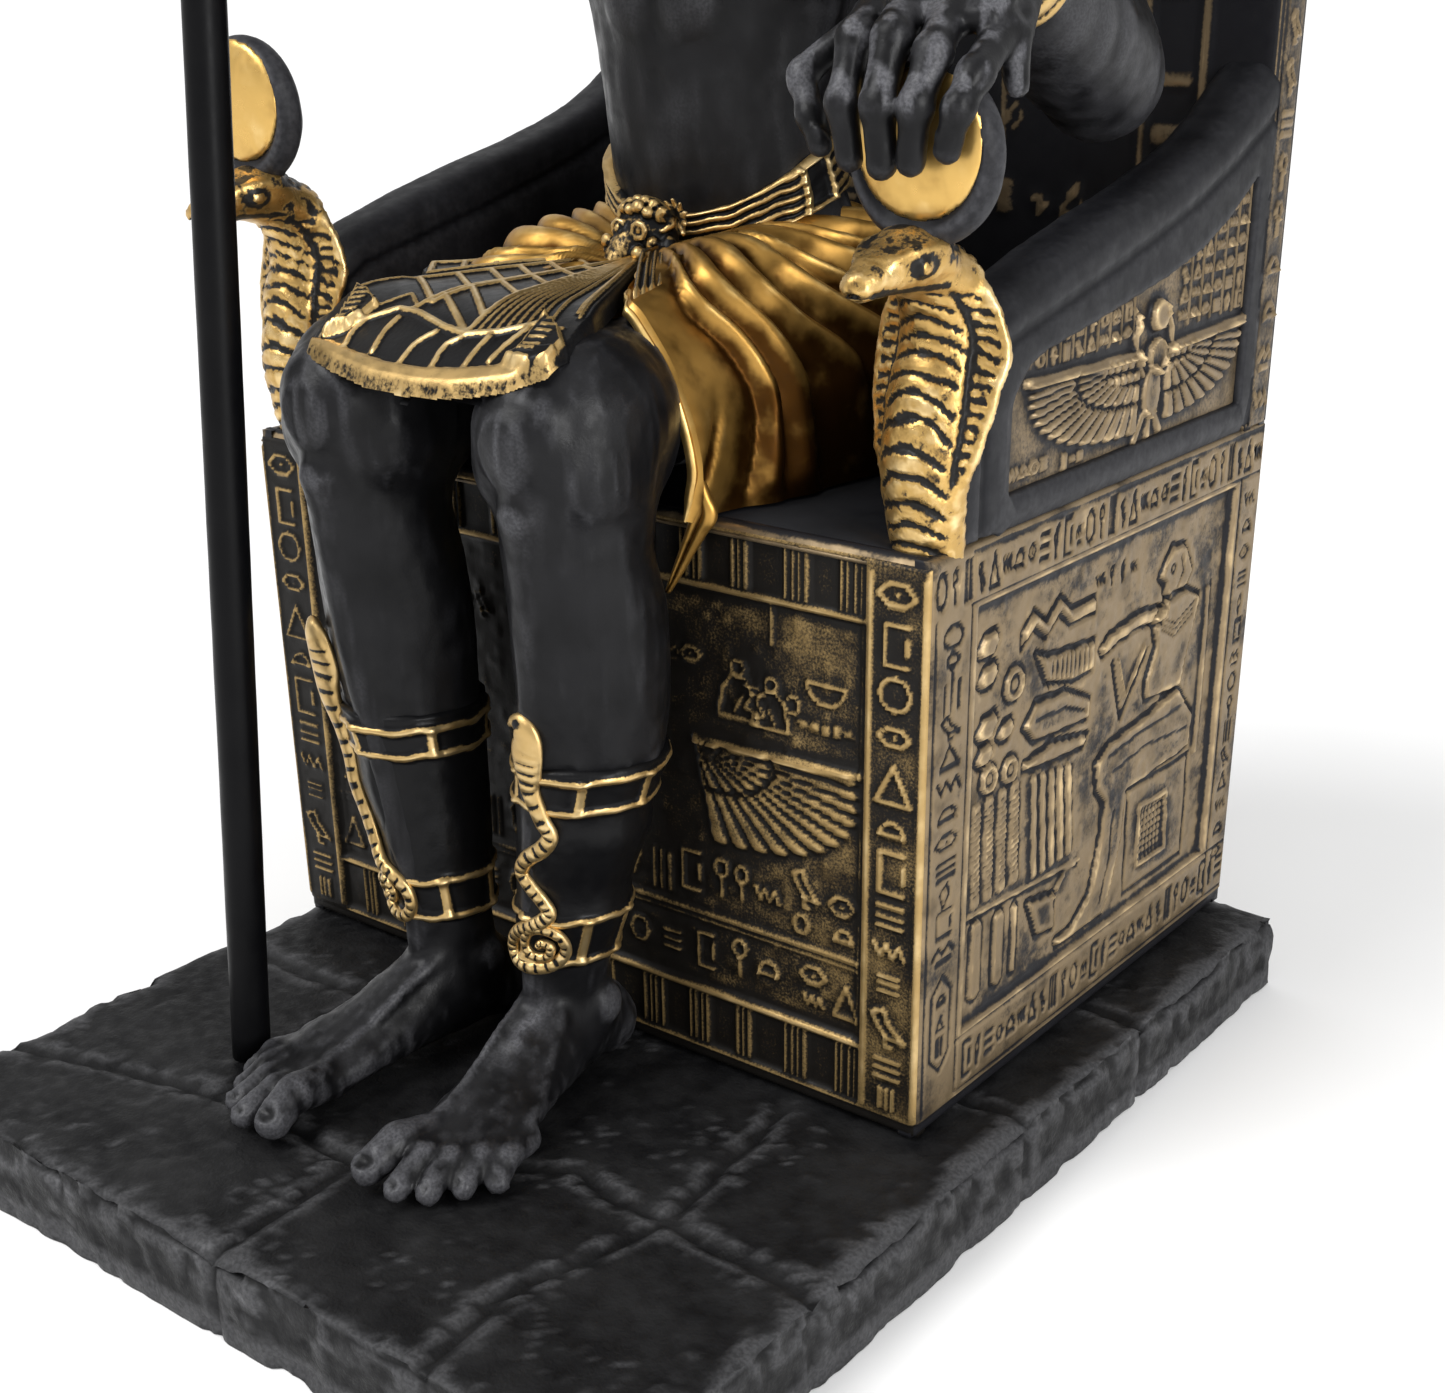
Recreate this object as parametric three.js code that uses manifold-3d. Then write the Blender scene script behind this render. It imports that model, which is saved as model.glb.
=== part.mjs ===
// A jackal-headed figure seated on a carved throne, holding a staff, on a flagstone plinth.
// Millimetres, +Z up. The front faces -Y, and the figure's left hand is on the +X side.
// Every place is measured from the middle of the throne's front edge, level with the top
// of the plinth. The last lines move the whole group over the middle of its own footprint.
import * as THREE from 'three';
import { mergeVertices } from 'three/addons/utils/BufferGeometryUtils.js';
import Module from 'manifold-3d';

const wasm = await Module();
wasm.setup();

// Driving dimensions
const GAP = 0.3;
const PLINTH = { left: -62, right: 70, front: -73, back: 94, thick: 13, chip: 1.4, joint: 0.9 };
const THRONE = { half: 60, depth: 85, slab: 8, seat: 80, kerb: 2.3, backTop: 188, cornice: 12, overhang: 4 };
const POST = { width: 9.5, low: 12, high: 70.5 };
const RELIEF = { sunk: 1.1, raised: 0.6, keyed: 0.3 };
const ARM = { inner: 50, front: 5, crest: 108.5, rear: 131, round: 3.6 };
const COBRA = { x: 55.4, disc: [56.4, 1.2, 125], discRadius: 9.9, discThick: 3.2 };
const STAFF = { radius: 2.75, foot: [-29.2, -38, GAP], lean: 12.4 / 140.3, top: 262 };
const SEAT_LEVEL = THRONE.seat + GAP;
const HEAD = { y: 36, z: 233, muzzle: 42, earTip: 287 };

// Colours, as painted
const BLACK = 0x151517;
const SLATE = 0x1b1b1d;
const GOLD = 0x8f6a2c;

// Geometry helpers
const vec = (x, y, z) => new THREE.Vector3(x, y, z);
const mix = (a, b, t) => a + (b - a) * t;
const range = (n) => Array.from({ length: n }, (_, i) => i);
const ease = (t) => t * t * (3 - 2 * t);

// Reads a value off a table of [position, value] pairs, smoothed between them.
function along(table, t) {
  const last = table.length - 1;
  if (t <= table[0][0]) return table[0][1];
  if (t >= table[last][0]) return table[last][1];
  const i = table.findIndex((row) => row[0] > t);
  const [low, high] = [table[i - 1], table[i]];
  return mix(low[1], high[1], ease((t - low[0]) / (high[0] - low[0])));
}

function signedVolume(positions, triangles) {
  const corner = (k) => vec(...positions.slice(triangles[k] * 3, triangles[k] * 3 + 3));
  let sum = 0;
  for (let k = 0; k < triangles.length; k += 3) {
    sum += corner(k).dot(corner(k + 1).cross(corner(k + 2)));
  }
  return sum;
}

// Turns a closed geometry into a solid with its faces pointing out.
function solid(geometry) {
  const bare = new THREE.BufferGeometry();
  bare.setAttribute('position', geometry.getAttribute('position'));
  if (geometry.index) bare.setIndex(geometry.index);
  const merged = mergeVertices(bare, 1e-4);
  const positions = Array.from(merged.getAttribute('position').array);
  const triangles = Array.from(merged.index.array);
  const inward = signedVolume(positions, triangles) < 0;
  const out = [];
  for (let k = 0; k < triangles.length; k += 3) {
    const [a, b, c] = triangles.slice(k, k + 3);
    if (a === b || b === c || a === c) continue;
    out.push(...(inward ? [a, c, b] : [a, b, c]));
  }
  const mesh = new wasm.Mesh({
    numProp: 3,
    vertProperties: new Float32Array(positions),
    triVerts: new Uint32Array(out),
  });
  return new wasm.Manifold(mesh);
}

const joined = (solids) => solids.reduce((whole, next) => whole.add(next));
const cut = (whole, tools) => tools.reduce((rest, tool) => rest.subtract(tool), whole);

// Skins a row of rings, each a list of points with the same count, and closes both ends.
function loft(rings) {
  const n = rings[0].length;
  const points = rings.flat();
  const index = [];
  for (let r = 0; r < rings.length - 1; r += 1) {
    for (let i = 0; i < n; i += 1) {
      const [a, b] = [r * n + i, r * n + ((i + 1) % n)];
      index.push(a, b, a + n, b, b + n, a + n);
    }
  }
  for (const [ring, start, turn] of [[rings[0], 0, 1], [rings.at(-1), (rings.length - 1) * n, 0]]) {
    const middle = ring.reduce((sum, p) => sum.add(p), vec(0, 0, 0)).divideScalar(n);
    const hub = points.push(middle) - 1;
    for (let i = 0; i < n; i += 1) {
      const [a, b] = [start + i, start + ((i + 1) % n)];
      index.push(...(turn ? [hub, b, a] : [hub, a, b]));
    }
  }
  const geometry = new THREE.BufferGeometry().setFromPoints(points);
  geometry.setIndex(index);
  return solid(geometry);
}

// A limb of elliptical sections. Each station is [x, y, z, half width, half depth].
function limb(stations, sides = 10, across = vec(1, 0, 0)) {
  const centres = stations.map(([x, y, z]) => vec(x, y, z));
  return loft(stations.map(([, , , a, b], k) => {
    const ahead = centres[Math.min(k + 1, centres.length - 1)];
    const behind = centres[Math.max(k - 1, 0)];
    const along3 = ahead.clone().sub(behind).normalize();
    const side = across.clone().addScaledVector(along3, -across.dot(along3)).normalize();
    const up = along3.clone().cross(side);
    return range(sides).map((i) => {
      const turn = (2 * Math.PI * (i + 0.5)) / sides;
      return centres[k].clone()
        .addScaledVector(side, a * Math.cos(turn))
        .addScaledVector(up, b * Math.sin(turn));
    });
  }));
}

// A stack of level sections. Each station is [z, centre y, half width, half depth].
function stack(stations, sides = 16) {
  return limb(stations.map(([z, y, a, b]) => [0, y, z, a, b]), sides);
}

// A ball, squeezed along the axes.
function ball([x, y, z], [a, b, c], sides = 12) {
  const geometry = new THREE.SphereGeometry(1, sides, Math.round(sides * 0.6));
  geometry.applyMatrix4(new THREE.Matrix4().makeScale(a, b, c));
  geometry.translate(x, y, z);
  return solid(geometry);
}

function box([x0, x1], [y0, y1], [z0, z1]) {
  const geometry = new THREE.BoxGeometry(x1 - x0, y1 - y0, z1 - z0);
  geometry.translate((x0 + x1) / 2, (y0 + y1) / 2, (z0 + z1) / 2);
  return solid(geometry);
}

const mirrored = (stations, s) => stations.map(([x, ...rest]) => [x * s, ...rest]);

// A face of the throne that carves are laid out on: where it is, its two axes, its way out.
const face = (origin, u, v, out) => ({ origin, u, v, out });
const FRONT = face(vec(0, 0, 0), vec(1, 0, 0), vec(0, 0, 1), vec(0, -1, 0));
const REAR = face(vec(0, THRONE.depth + THRONE.slab, 0), vec(1, 0, 0), vec(0, 0, 1), vec(0, 1, 0));
const BACKREST = face(vec(0, THRONE.depth, 0), vec(1, 0, 0), vec(0, 0, 1), vec(0, -1, 0));
const sideFace = (s) => face(vec(s * THRONE.half, 0, 0), vec(0, 1, 0), vec(0, 0, 1), vec(s, 0, 0));

// A prism of an outline drawn on a face, from one depth to another, plus along the way out.
function prism(on, outline, from, to) {
  const shape = new THREE.Shape(outline.map(([u, v]) => new THREE.Vector2(u, v)));
  const geometry = new THREE.ExtrudeGeometry(shape, { depth: to - from, bevelEnabled: false });
  geometry.translate(0, 0, from);
  const place = new THREE.Matrix4().makeBasis(on.u, on.v, on.out).setPosition(on.origin);
  geometry.applyMatrix4(place);
  return solid(geometry);
}

const rectangle = (u0, u1, v0, v1) => [[u0, v0], [u1, v0], [u1, v1], [u0, v1]];

// The outline of a stroke with a given width at each point of its path.
function ribbon(path, width, endWidth = width) {
  const points = path.map(([u, v]) => new THREE.Vector2(u, v));
  const edge = (way) => points.map((p, k) => {
    const ahead = points[Math.min(k + 1, points.length - 1)];
    const behind = points[Math.max(k - 1, 0)];
    const run = ahead.clone().sub(behind).normalize();
    const half = mix(width, endWidth, k / (points.length - 1)) / 2;
    return [p.x - way * run.y * half, p.y + way * run.x * half];
  });
  return [...edge(-1), ...edge(1).reverse()];
}

const raise = (on, outline, ground = 0, height = RELIEF.raised) =>
  prism(on, outline, ground - RELIEF.keyed, ground + height);

// Plain marks that stand for the rows of signs. None of them is a letter.
const MARKS = [
  (u, v, s) => rectangle(u - 0.16 * s, u + 0.16 * s, v - 0.5 * s, v + 0.5 * s),
  (u, v, s) => rectangle(u - 0.42 * s, u + 0.42 * s, v - 0.14 * s, v + 0.14 * s),
  (u, v, s) => range(6).map((i) => [
    u + 0.36 * s * Math.cos((i * Math.PI) / 3), v + 0.36 * s * Math.sin((i * Math.PI) / 3)]),
  (u, v, s) => [[u - 0.5 * s, v], [u, v - 0.28 * s], [u + 0.5 * s, v], [u, v + 0.28 * s]],
  (u, v, s) => [[u - 0.4 * s, v - 0.3 * s], [u + 0.4 * s, v - 0.3 * s], [u, v + 0.35 * s]],
];

function markRow(on, from, to, count, size, ground, first = 0) {
  return range(count).map((k) => {
    const t = (k + 0.5) / count;
    const mark = MARKS[(first + k * 2) % MARKS.length];
    return raise(on, mark(mix(from[0], to[0], t), mix(from[1], to[1], t), size), ground);
  });
}

// A spread wing: a straight upper rib, and feathers that fan out below it.
function wing(on, root, span, drop, way, ground, feathers = 6) {
  const rib = ribbon([[root[0], root[1]], [root[0] + way * span, root[1] + 0.1 * span]], 1.6);
  const fan = range(feathers).map((k) => {
    const turn = mix(0.03, 0.92, k / (feathers - 1)) * (Math.PI / 2);
    const reach = [span * Math.cos(turn), drop * Math.sin(turn)];
    const tip = [root[0] + way * reach[0], root[1] - reach[1] - 1 + 0.1 * reach[0]];
    const start = [mix(root[0], tip[0], 0.28), mix(root[1], tip[1], 0.28)];
    return ribbon([start, tip], 0.9, 2.2);
  });
  return [rib, ...fan].map((outline) => raise(on, outline, ground));
}

// Plinth
// A point on the plinth's worn edge: the side it is on, and how far along that side.
function plinthEdge(side, t, inset, z) {
  const run = (side + t) * 150;
  const chip = PLINTH.chip * (0.5 + 0.5 * Math.sin(run * 0.21) * Math.sin(run * 0.083 + 1));
  const grow = inset + (z < 0 && z > -PLINTH.thick ? chip : chip * 0.6) * (t > 0 ? 1 : 0.3);
  const [x0, x1] = [PLINTH.left + grow, PLINTH.right - grow];
  const [y0, y1] = [PLINTH.front + grow, PLINTH.back - grow];
  const corners = [[x0, y0], [x1, y0], [x1, y1], [x0, y1]];
  const [start, end] = [corners[side], corners[(side + 1) % 4]];
  return vec(mix(start[0], end[0], t), mix(start[1], end[1], t), z);
}

function groove([x0, y0], [x1, y1]) {
  const half = 0.8;
  const run = vec(x1 - x0, y1 - y0, 0).normalize();
  const side = vec(-run.y, run.x, 0);
  return loft([[x0, y0], [x1, y1]].map(([x, y]) => [
    vec(x, y, 0.5).addScaledVector(side, half),
    vec(x, y, -PLINTH.joint),
    vec(x, y, 0.5).addScaledVector(side, -half),
  ]));
}

// The joints between the flagstones, from junction to junction.
const JOINTS = [
  [[4, -74], [2, -48]], [[2, -48], [29, -30]], [[2, -48], [-24, -47]], [[-24, -47], [-43, -51]],
  [[-43, -51], [-63, -58]], [[29, -30], [44, -33]], [[44, -33], [38, -57]], [[38, -57], [41.5, -76]],
  [[44, -33], [71, -37]], [[44, -33], [40, -6]], [[71, 14], [60.5, 14]], [[71, 48], [60.5, 48]],
];

function plinth() {
  const perSide = 10;
  const levels = [[0, -PLINTH.thick], [0.3, -7], [0.5, -1.4], [1.8, 0]];
  const slab = loft(levels.map(([inset, z]) => range(4 * perSide).map((i) =>
    plinthEdge(Math.floor(i / perSide), (i % perSide) / perSide, inset, z))));
  return cut(slab, JOINTS.map(([a, b]) => groove(a, b)));
}

// Throne
function throneBlock() {
  const { half, depth, slab, seat, backTop, cornice, overhang } = THRONE;
  const seatBlock = box([-half, half], [0, depth + slab], [GAP, seat]);
  const back = box([-half, half], [depth, depth + slab], [seat - 1, backTop]);
  const crown = prism(REAR, rectangle(-half, half, backTop - 1, backTop + cornice), -slab, 0);
  const coveSteps = 4;
  const cove = range(coveSteps + 1).map((i) => {
    const t = i / coveSteps;
    return [depth - overhang * t * t, backTop + cornice * 0.72 * t];
  });
  const profile = [[depth + slab - 1, backTop - 1], [depth, backTop - 1], ...cove,
    [depth - overhang, backTop + cornice], [depth + slab - 1, backTop + cornice]];
  const cornicePiece = prism(sideFace(1), profile, -2 * half, 0);
  return joined([seatBlock, back, crown, cornicePiece]);
}

// The outline of an arm seen from the side, with its front and top moved inwards by an inset.
function armOutline(inset) {
  const { front, crest, rear } = ARM;
  const [low, back] = [THRONE.seat - 2, THRONE.depth + 1];
  const curve = new THREE.Path();
  curve.moveTo(front, 93);
  curve.quadraticCurveTo(front, crest - 2, 17, crest);
  curve.splineThru([[42, 115], [62, 119.6], [75, 124.6], [back, rear]].map(([y, z]) => new THREE.Vector2(y, z)));
  const points = curve.getPoints(2).filter((p, k, all) => k === 0 || p.distanceTo(all[k - 1]) > 0.5);
  const top = points.map((p, k) => {
    const [ahead, behind] = [points[Math.min(k + 1, points.length - 1)], points[Math.max(k - 1, 0)]];
    const run = ahead.clone().sub(behind).normalize();
    return [Math.min(p.x + run.y * inset, back), p.y - run.x * inset];
  });
  top[top.length - 1][0] = back;
  return [[front + inset, low], ...top, [back, low]];
}

// The sunk panel in an arm's outer face follows the arm's top.
const ARM_PANEL = [[17.3, 84.4], [82, 84.4], [82, 116], [74, 111.2], [66, 107.8], [49, 104.2],
  [37, 102.3], [25, 100.6], [19.5, 98], [17.3, 94.5]];

function arm(s) {
  const side = sideFace(s);
  const { inner, round } = ARM;
  const sections = [[inner, round * 0.7], [inner + round * 0.8, 0], [THRONE.half - round * 0.8, 0],
    [THRONE.half, round * 0.7]];
  const wall = loft(sections.map(([x, inset]) => armOutline(inset).map(([y, z]) => vec(s * x, y, z))));
  const recess = prism(side, ARM_PANEL, -RELIEF.sunk, 2);
  const sun = [49, 94];
  const carves = [
    ...wing(side, [sun[0] + 3, sun[1] + 2], 27, 11, 1, -RELIEF.sunk, 4),
    ...wing(side, [sun[0] - 3, sun[1] + 2], 26, 11, -1, -RELIEF.sunk, 4),
    raise(side, MARKS[2](sun[0], sun[1] + 3.5, 8), -RELIEF.sunk, 1),
    raise(side, MARKS[3](sun[0], sun[1] - 3, 7), -RELIEF.sunk, 0.8),
  ];
  return joined([wall.subtract(recess), ...carves]);
}

// The disc behind a cobra's head, a lens that stands on edge.
function cobraDisc(s, spare = 0) {
  const [x, y, z] = COBRA.disc;
  const [radius, thick] = [COBRA.discRadius + spare, COBRA.discThick + spare];
  return ball([x * s, y, z], [radius, thick, radius], 10);
}

// A reared cobra with a flat hood that carries a disc on its head.
function cobra(s) {
  const { x } = COBRA;
  const scales = 7;
  const belly = range(scales).map((k) => {
    const z = mix(79, 112, k / (scales - 1));
    const wide = along([[80, 5.2], [88, 6], [96, 7.6], [105, 9.3], [112, 6.6]], z);
    const lean = along([[80, 5.6], [90, 3.8], [98, 5.2], [106, 7.4], [112, 6.4]], z);
    const deep = along([[80, 3.6], [92, 4], [104, 3], [112, 3.2]], z) + (k % 2 ? 0.35 : -0.1);
    return [x, lean, z, wide, deep];
  });
  const head = [[x, 7, 115.2, 3.8, 3], [x, 0, 116, 4.6, 3.6], [x, -7, 115, 3, 2.3], [x, -12.4, 114, 1, 0.9]];
  return joined([
    limb(mirrored([...belly, [x, 5, 115.4, 4.6, 3.6]], s), 7),
    limb(mirrored(head, s), 6),
    cobraDisc(s),
  ]);
}

// Rows of upright bars between the pilasters, at the top and the bottom of the front.
function barStrip(low, high) {
  const count = 8;
  const step = (2 * (THRONE.half - POST.width)) / count;
  const start = -THRONE.half + POST.width;
  return range(count).map((k) => {
    const u = start + (k + 0.72) * step;
    return raise(FRONT, rectangle(u - step * 0.2, u + step * 0.2, low, high), -0.7);
  });
}

function frontCarving() {
  const edge = THRONE.half - POST.width;
  const ground = -RELIEF.sunk;
  const cuts = [
    prism(FRONT, rectangle(-edge, edge, POST.low, POST.high), ground, 2),
    prism(FRONT, rectangle(-edge, edge, POST.high + 0.8, 78.4), -0.7, 2),
    prism(FRONT, rectangle(-edge, edge, THRONE.kerb + 0.6, POST.low - 0.8), -0.7, 2),
  ];
  const carves = [
    ...barStrip(POST.high + 1.2, 78),
    ...barStrip(THRONE.kerb + 1, POST.low - 1.2),
    ...wing(FRONT, [20, 50.5], 29, 12, 1, ground),
    ...wing(FRONT, [-20, 50.5], 29, 12, -1, ground),
    ...[1, -1].flatMap((s) => [
      raise(FRONT, ribbon([[s * 22, 24.4], [s * 49, 24.4]], 0.8), ground),
      raise(FRONT, ribbon([[s * 22, 56.6], [s * 49, 56.6]], 0.8), ground),
      ...markRow(FRONT, [s * 24, 31], [s * 49, 31], 4, 5, ground, 1),
      ...markRow(FRONT, [s * 24, 18.4], [s * 49, 18.4], 4, 5, ground, 2),
      ...markRow(FRONT, [s * 28, 62], [s * 44, 62], 2, 6, ground, 4),
      ...markRow(FRONT, [s * 55.3, 4], [s * 55.3, 78], 5, 5.4, 0, 0),
    ]),
  ];
  return { cuts, carves };
}

// The seated figure in profile on a stool, its arm held out, at the rear of the side panel.
function seatedProfile(side, ground) {
  const outlines = [
    rectangle(61, 74, 15.5, 17),
    rectangle(62, 63.6, 17, 30), rectangle(72.2, 73.8, 17, 30),
    rectangle(61, 75, 30, 32),
    rectangle(65, 71, 19.5, 27.5),
    [[52.5, 14.5], [56.5, 14.5], [57, 34], [73, 33], [73, 39], [54, 40]],
    [[65, 38], [73.5, 38], [74.5, 54], [63.5, 55]],
    ribbon([[66, 52], [57, 47], [52, 57]], 2.2),
    [[66, 55], [71.5, 55], [73.5, 62], [70, 67], [66, 66], [63.8, 62.5], [65.5, 59]],
  ];
  return outlines.map((outline) => raise(side, outline, ground));
}

function sideCarving(s) {
  const side = sideFace(s);
  const ground = -RELIEF.sunk;
  const cuts = [prism(side, rectangle(11.2, 84, POST.low, 71.6), ground, 2)];
  const columns = [16, 33].flatMap((start) => range(3).map((k) =>
    raise(side, rectangle(start + k * 4.8, start + k * 4.8 + 2.6, 29, 43), ground)));
  const carves = [
    ...seatedProfile(side, ground),
    ...columns,
    raise(side, ribbon([[15, 66], [25, 62], [35, 67], [46, 63]], 2), ground),
    raise(side, ribbon([[14, 46.5], [49, 46.5]], 1), ground),
    raise(side, ribbon([[14, 26.5], [49, 26.5]], 1), ground),
    ...markRow(side, [14, 54], [48, 54], 4, 6.5, ground, 3),
    ...markRow(side, [14, 20], [49, 20], 4, 6.5, ground, 2),
    ...markRow(side, [4, 76], [82, 76], 6, 5, 0, 1),
    ...markRow(side, [12, 7], [82, 7], 5, 5, 0, 2),
    ...markRow(side, [5.6, 12], [5.6, 72], 4, 5.4, 0, 0),
  ];
  return { cuts, carves };
}

// The backrest's ladder strips and cross band, and the plainer panel behind.
function backCarving() {
  const { backTop } = THRONE;
  const strips = [-1, 1].flatMap((s) => [40, 48].map((x) =>
    raise(BACKREST, rectangle(s * x - 0.6, s * x + 0.6, 115.7, backTop - 9.5))));
  const rungs = [-1, 1].flatMap((s) => range(3).map((k) =>
    raise(BACKREST, rectangle(s * 44 - 2.6, s * 44 + 2.6, 122 + k * 18, 128 + k * 18))));
  const bands = [104, 115, backTop - 10].map((z) =>
    raise(BACKREST, rectangle(-49.2, 49.2, z, z + 1.2), 0, RELIEF.raised + 0.25));
  const cuts = [prism(REAR, rectangle(-48, 48, 14, backTop - 12), -RELIEF.sunk, 2)];
  const rear = [
    ...wing(REAR, [7, 142], 36, 20, 1, -RELIEF.sunk, 5),
    ...wing(REAR, [-7, 142], 36, 20, -1, -RELIEF.sunk, 5),
    raise(REAR, MARKS[2](0, 143, 17), -RELIEF.sunk, 0.9),
    raise(REAR, rectangle(-6, -4.8, 20, 118), -RELIEF.sunk),
    raise(REAR, rectangle(4.8, 6, 20, 118), -RELIEF.sunk),
    ...markRow(REAR, [0, 22], [0, 116], 5, 7, -RELIEF.sunk, 0),
  ];
  return { cuts, carves: [...strips, ...rungs, ...bands, ...rear] };
}

function throne() {
  const carvings = [frontCarving(), sideCarving(1), sideCarving(-1), backCarving()];
  const block = cut(throneBlock(), carvings.flatMap((c) => c.cuts));
  const lip = box([-ARM.inner, ARM.inner], [-0.1, 2.2], [THRONE.seat - 1, THRONE.seat]);
  return joined([block, lip, arm(1), arm(-1), cobra(1), cobra(-1), ...carvings.flatMap((c) => c.carves)]);
}

// Staff: a plain leaning rod with a lotus-bud top, one solid of turned sections.
function staffAt(z) {
  const [x, y] = STAFF.foot;
  return [x, y + z * STAFF.lean, z];
}

function staffBody(spare = 0) {
  const r = STAFF.radius + spare;
  const sections = [[GAP, r], [STAFF.top - 26, r], [STAFF.top - 25.6, r + 1], [STAFF.top - 23, r + 1],
    [STAFF.top - 22.6, r], [STAFF.top - 13, r + 2.4], [STAFF.top - 6, r + 3.2], [STAFF.top, 0.8]];
  return limb(sections.map(([z, radius]) => [...staffAt(z), radius, radius]), 12);
}

// Figure
const TORSO = [[86, 44, 21, 15], [104, 41.5, 19.8, 14.6], [114, 38.5, 17.8, 13.4], [122, 36.6, 17.2, 12.9],
  [132, 36, 18.2, 12.9], [150, 37.4, 23, 14.7], [165, 38.6, 28, 16.2], [178, 40.3, 32, 16.6],
  [188, 42, 36, 14.4], [196, 43, 29, 11.5], [202, 43, 13, 10.5], [228, 37, 9.4, 9.4]];
const KNOT = [3, 20, 106];

// The lower leg by height: centre x and y, half width and half depth.
const SHIN = {
  x: [[11, 10.8], [20, 11.6], [30, 13.1], [42, 15.2], [54, 17], [66, 17.8], [78, 17.6], [92, 17.2]],
  y: [[11, -13.5], [20, -14], [42, -13.2], [54, -12.8], [66, -13.2], [78, -15], [92, -14]],
  a: [[11, 5.8], [20, 6.3], [30, 7.3], [42, 8.6], [54, 9.9], [66, 10.4], [78, 9.8], [92, 11.3]],
  b: [[11, 7.2], [20, 6.7], [30, 7.7], [42, 8.9], [54, 10.2], [66, 10.9], [78, 10.2], [92, 11]],
};
const GREAVE = { low: 21, ankle: 28.6, shin: 44.6, top: 50.4, proud: 0.9, shell: 0.4 };

// Each small cobra's height, offset outwards from the shin's middle, and half width, by its side.
const SNAKES = {
  1: [[22, 0.6, 2.6], [25, 0.8, 2.6], [28.5, 2, 1.3], [32, 1.4, 1.3], [36, -1.6, 1.3], [42, 2.2, 1.3],
    [48, -0.5, 1.4], [53.6, -1.3, 2.5], [57, -1.4, 1.3]],
  [-1]: [[22, 3.2, 2.4], [25, 2.4, 2.4], [27.6, 0, 1.3], [31, 3.4, 1.3], [38, 5.6, 1.3], [46, 6.4, 1.4],
    [56, 6.6, 2.4], [61, 6, 1.3]],
};

// A section of the lower leg, made thicker by what it wears.
function shinAt(z, grow = 0) {
  return [along(SHIN.x, z), along(SHIN.y, z), z, along(SHIN.a, z) + grow, along(SHIN.b, z) + grow];
}

// The lower leg with its greave: a close shell between two raised bands.
function shank(s) {
  const { low, ankle, shin, top, proud, shell } = GREAVE;
  const steps = [[94, -2], [84, 0], [76, 0], [64, 0], [top + 0.5, 0], [top, proud], [shin, proud],
    [shin - 0.5, shell], [ankle + 0.5, shell], [ankle, proud], [low, proud], [low - 0.5, 0], [8, -0.6]];
  return limb(mirrored(steps.map(([z, grow]) => shinAt(z, grow)), s), 7);
}

// A small cobra that winds up the front of the shin and rears its hood above the greave.
function shinSnake(s) {
  const thick = 0.9;
  return limb(mirrored(SNAKES[s].map(([z, offset, half]) => {
    const [x, y, , a, b] = shinAt(z, GREAVE.shell);
    return [x + offset, y - b * Math.sqrt(1 - (offset / a) ** 2) - 0.2, z, half, thick];
  }), s), 4);
}

// One leg, from the hip over the knee to the foot on the plinth.
function leg(s) {
  const thigh = limb(mirrored([[14, 50, 95, 15, 14.4], [14.8, 15, 93.8, 12.2, 12.6], [15.8, -4, 93, 10.6, 11.8],
    [17, -16, 92, 10, 10.4], [17.4, -25.6, 91, 4.2, 4.6]], s), 7);
  const foot = limb(mirrored([[9.4, -3.4, 4.6, 3.4, 3.8], [10, -8, 7, 5.4, 6.8], [11.4, -17, 8.4, 6.2, 8],
    [14, -31, 5.2, 7.8, 5], [16, -44, 2.8, 7.6, 2.5]], s), 7);
  const tips = [[10.6, -52.6, 2.9], [15.2, -53.2, 2.2], [18.8, -51.4, 2.1], [21.6, -48.2, 2], [23.9, -44, 1.9]];
  const toes = tips.map(([x, y, r], k) => {
    const [bx, by] = [mix(11.4, 21.2, k / 4), mix(-41, -35, k / 4)];
    return limb(mirrored([[bx, by, 3.4, r, r + 0.4], [x, y, r * 0.95, r * 0.8, r * 0.75]], s), 4);
  });
  return joined([thigh, shank(s), shinSnake(s), foot, ...toes]);
}

// Half of the skirt: folds that run from the knot over the thigh and down to the seat.
function skirt(s) {
  const planes = 8;
  const outer = [[-5, 27.2], [10, 28], [20, 29.4], [30, 31.6], [42, 32.5], [54, 30], [60, 22]];
  const crest = [[-5, 105.5], [5, 108.4], [17, 110.8], [35, 111.5], [50, 111.5]];
  const lift = s < 0 ? 1.6 : 0;
  const rings = range(planes).map((k) => {
    const y = mix(-4.5, 58, k / (planes - 1));
    const fold = k % 2 ? 0.9 : -0.5;
    const [x, top] = [along(outer, y) + fold, along(crest, y) + fold + lift];
    const bottom = y < 0.5 ? 86 : SEAT_LEVEL;
    const place = (t, z) => vec(s * mix(KNOT[0], x, t), mix(mix(y, KNOT[1], 0.7), y, t), z);
    return [place(0.03, KNOT[2] - 2), place(0.4, top - 0.6), place(0.66, top - 1), place(0.9, top - 8),
      place(1, top - 18), place(0.9, bottom), place(0.03, bottom)];
  });
  return loft(rings);
}

// The corner of the skirt that falls in a point in front of the seat.
function skirtTip() {
  return limb([[25.6, -3.2, 88, 2.6, 1.1], [25.2, -3, 80, 3.4, 1.1], [22.6, -2.6, 74, 2.2, 0.9],
    [20.2, -2.2, 68.5, 0.4, 0.5]], 6);
}

// The pleated belt dips to the buckle in front.
const BELT = { level: 120, dip: 9.9 };

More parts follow.
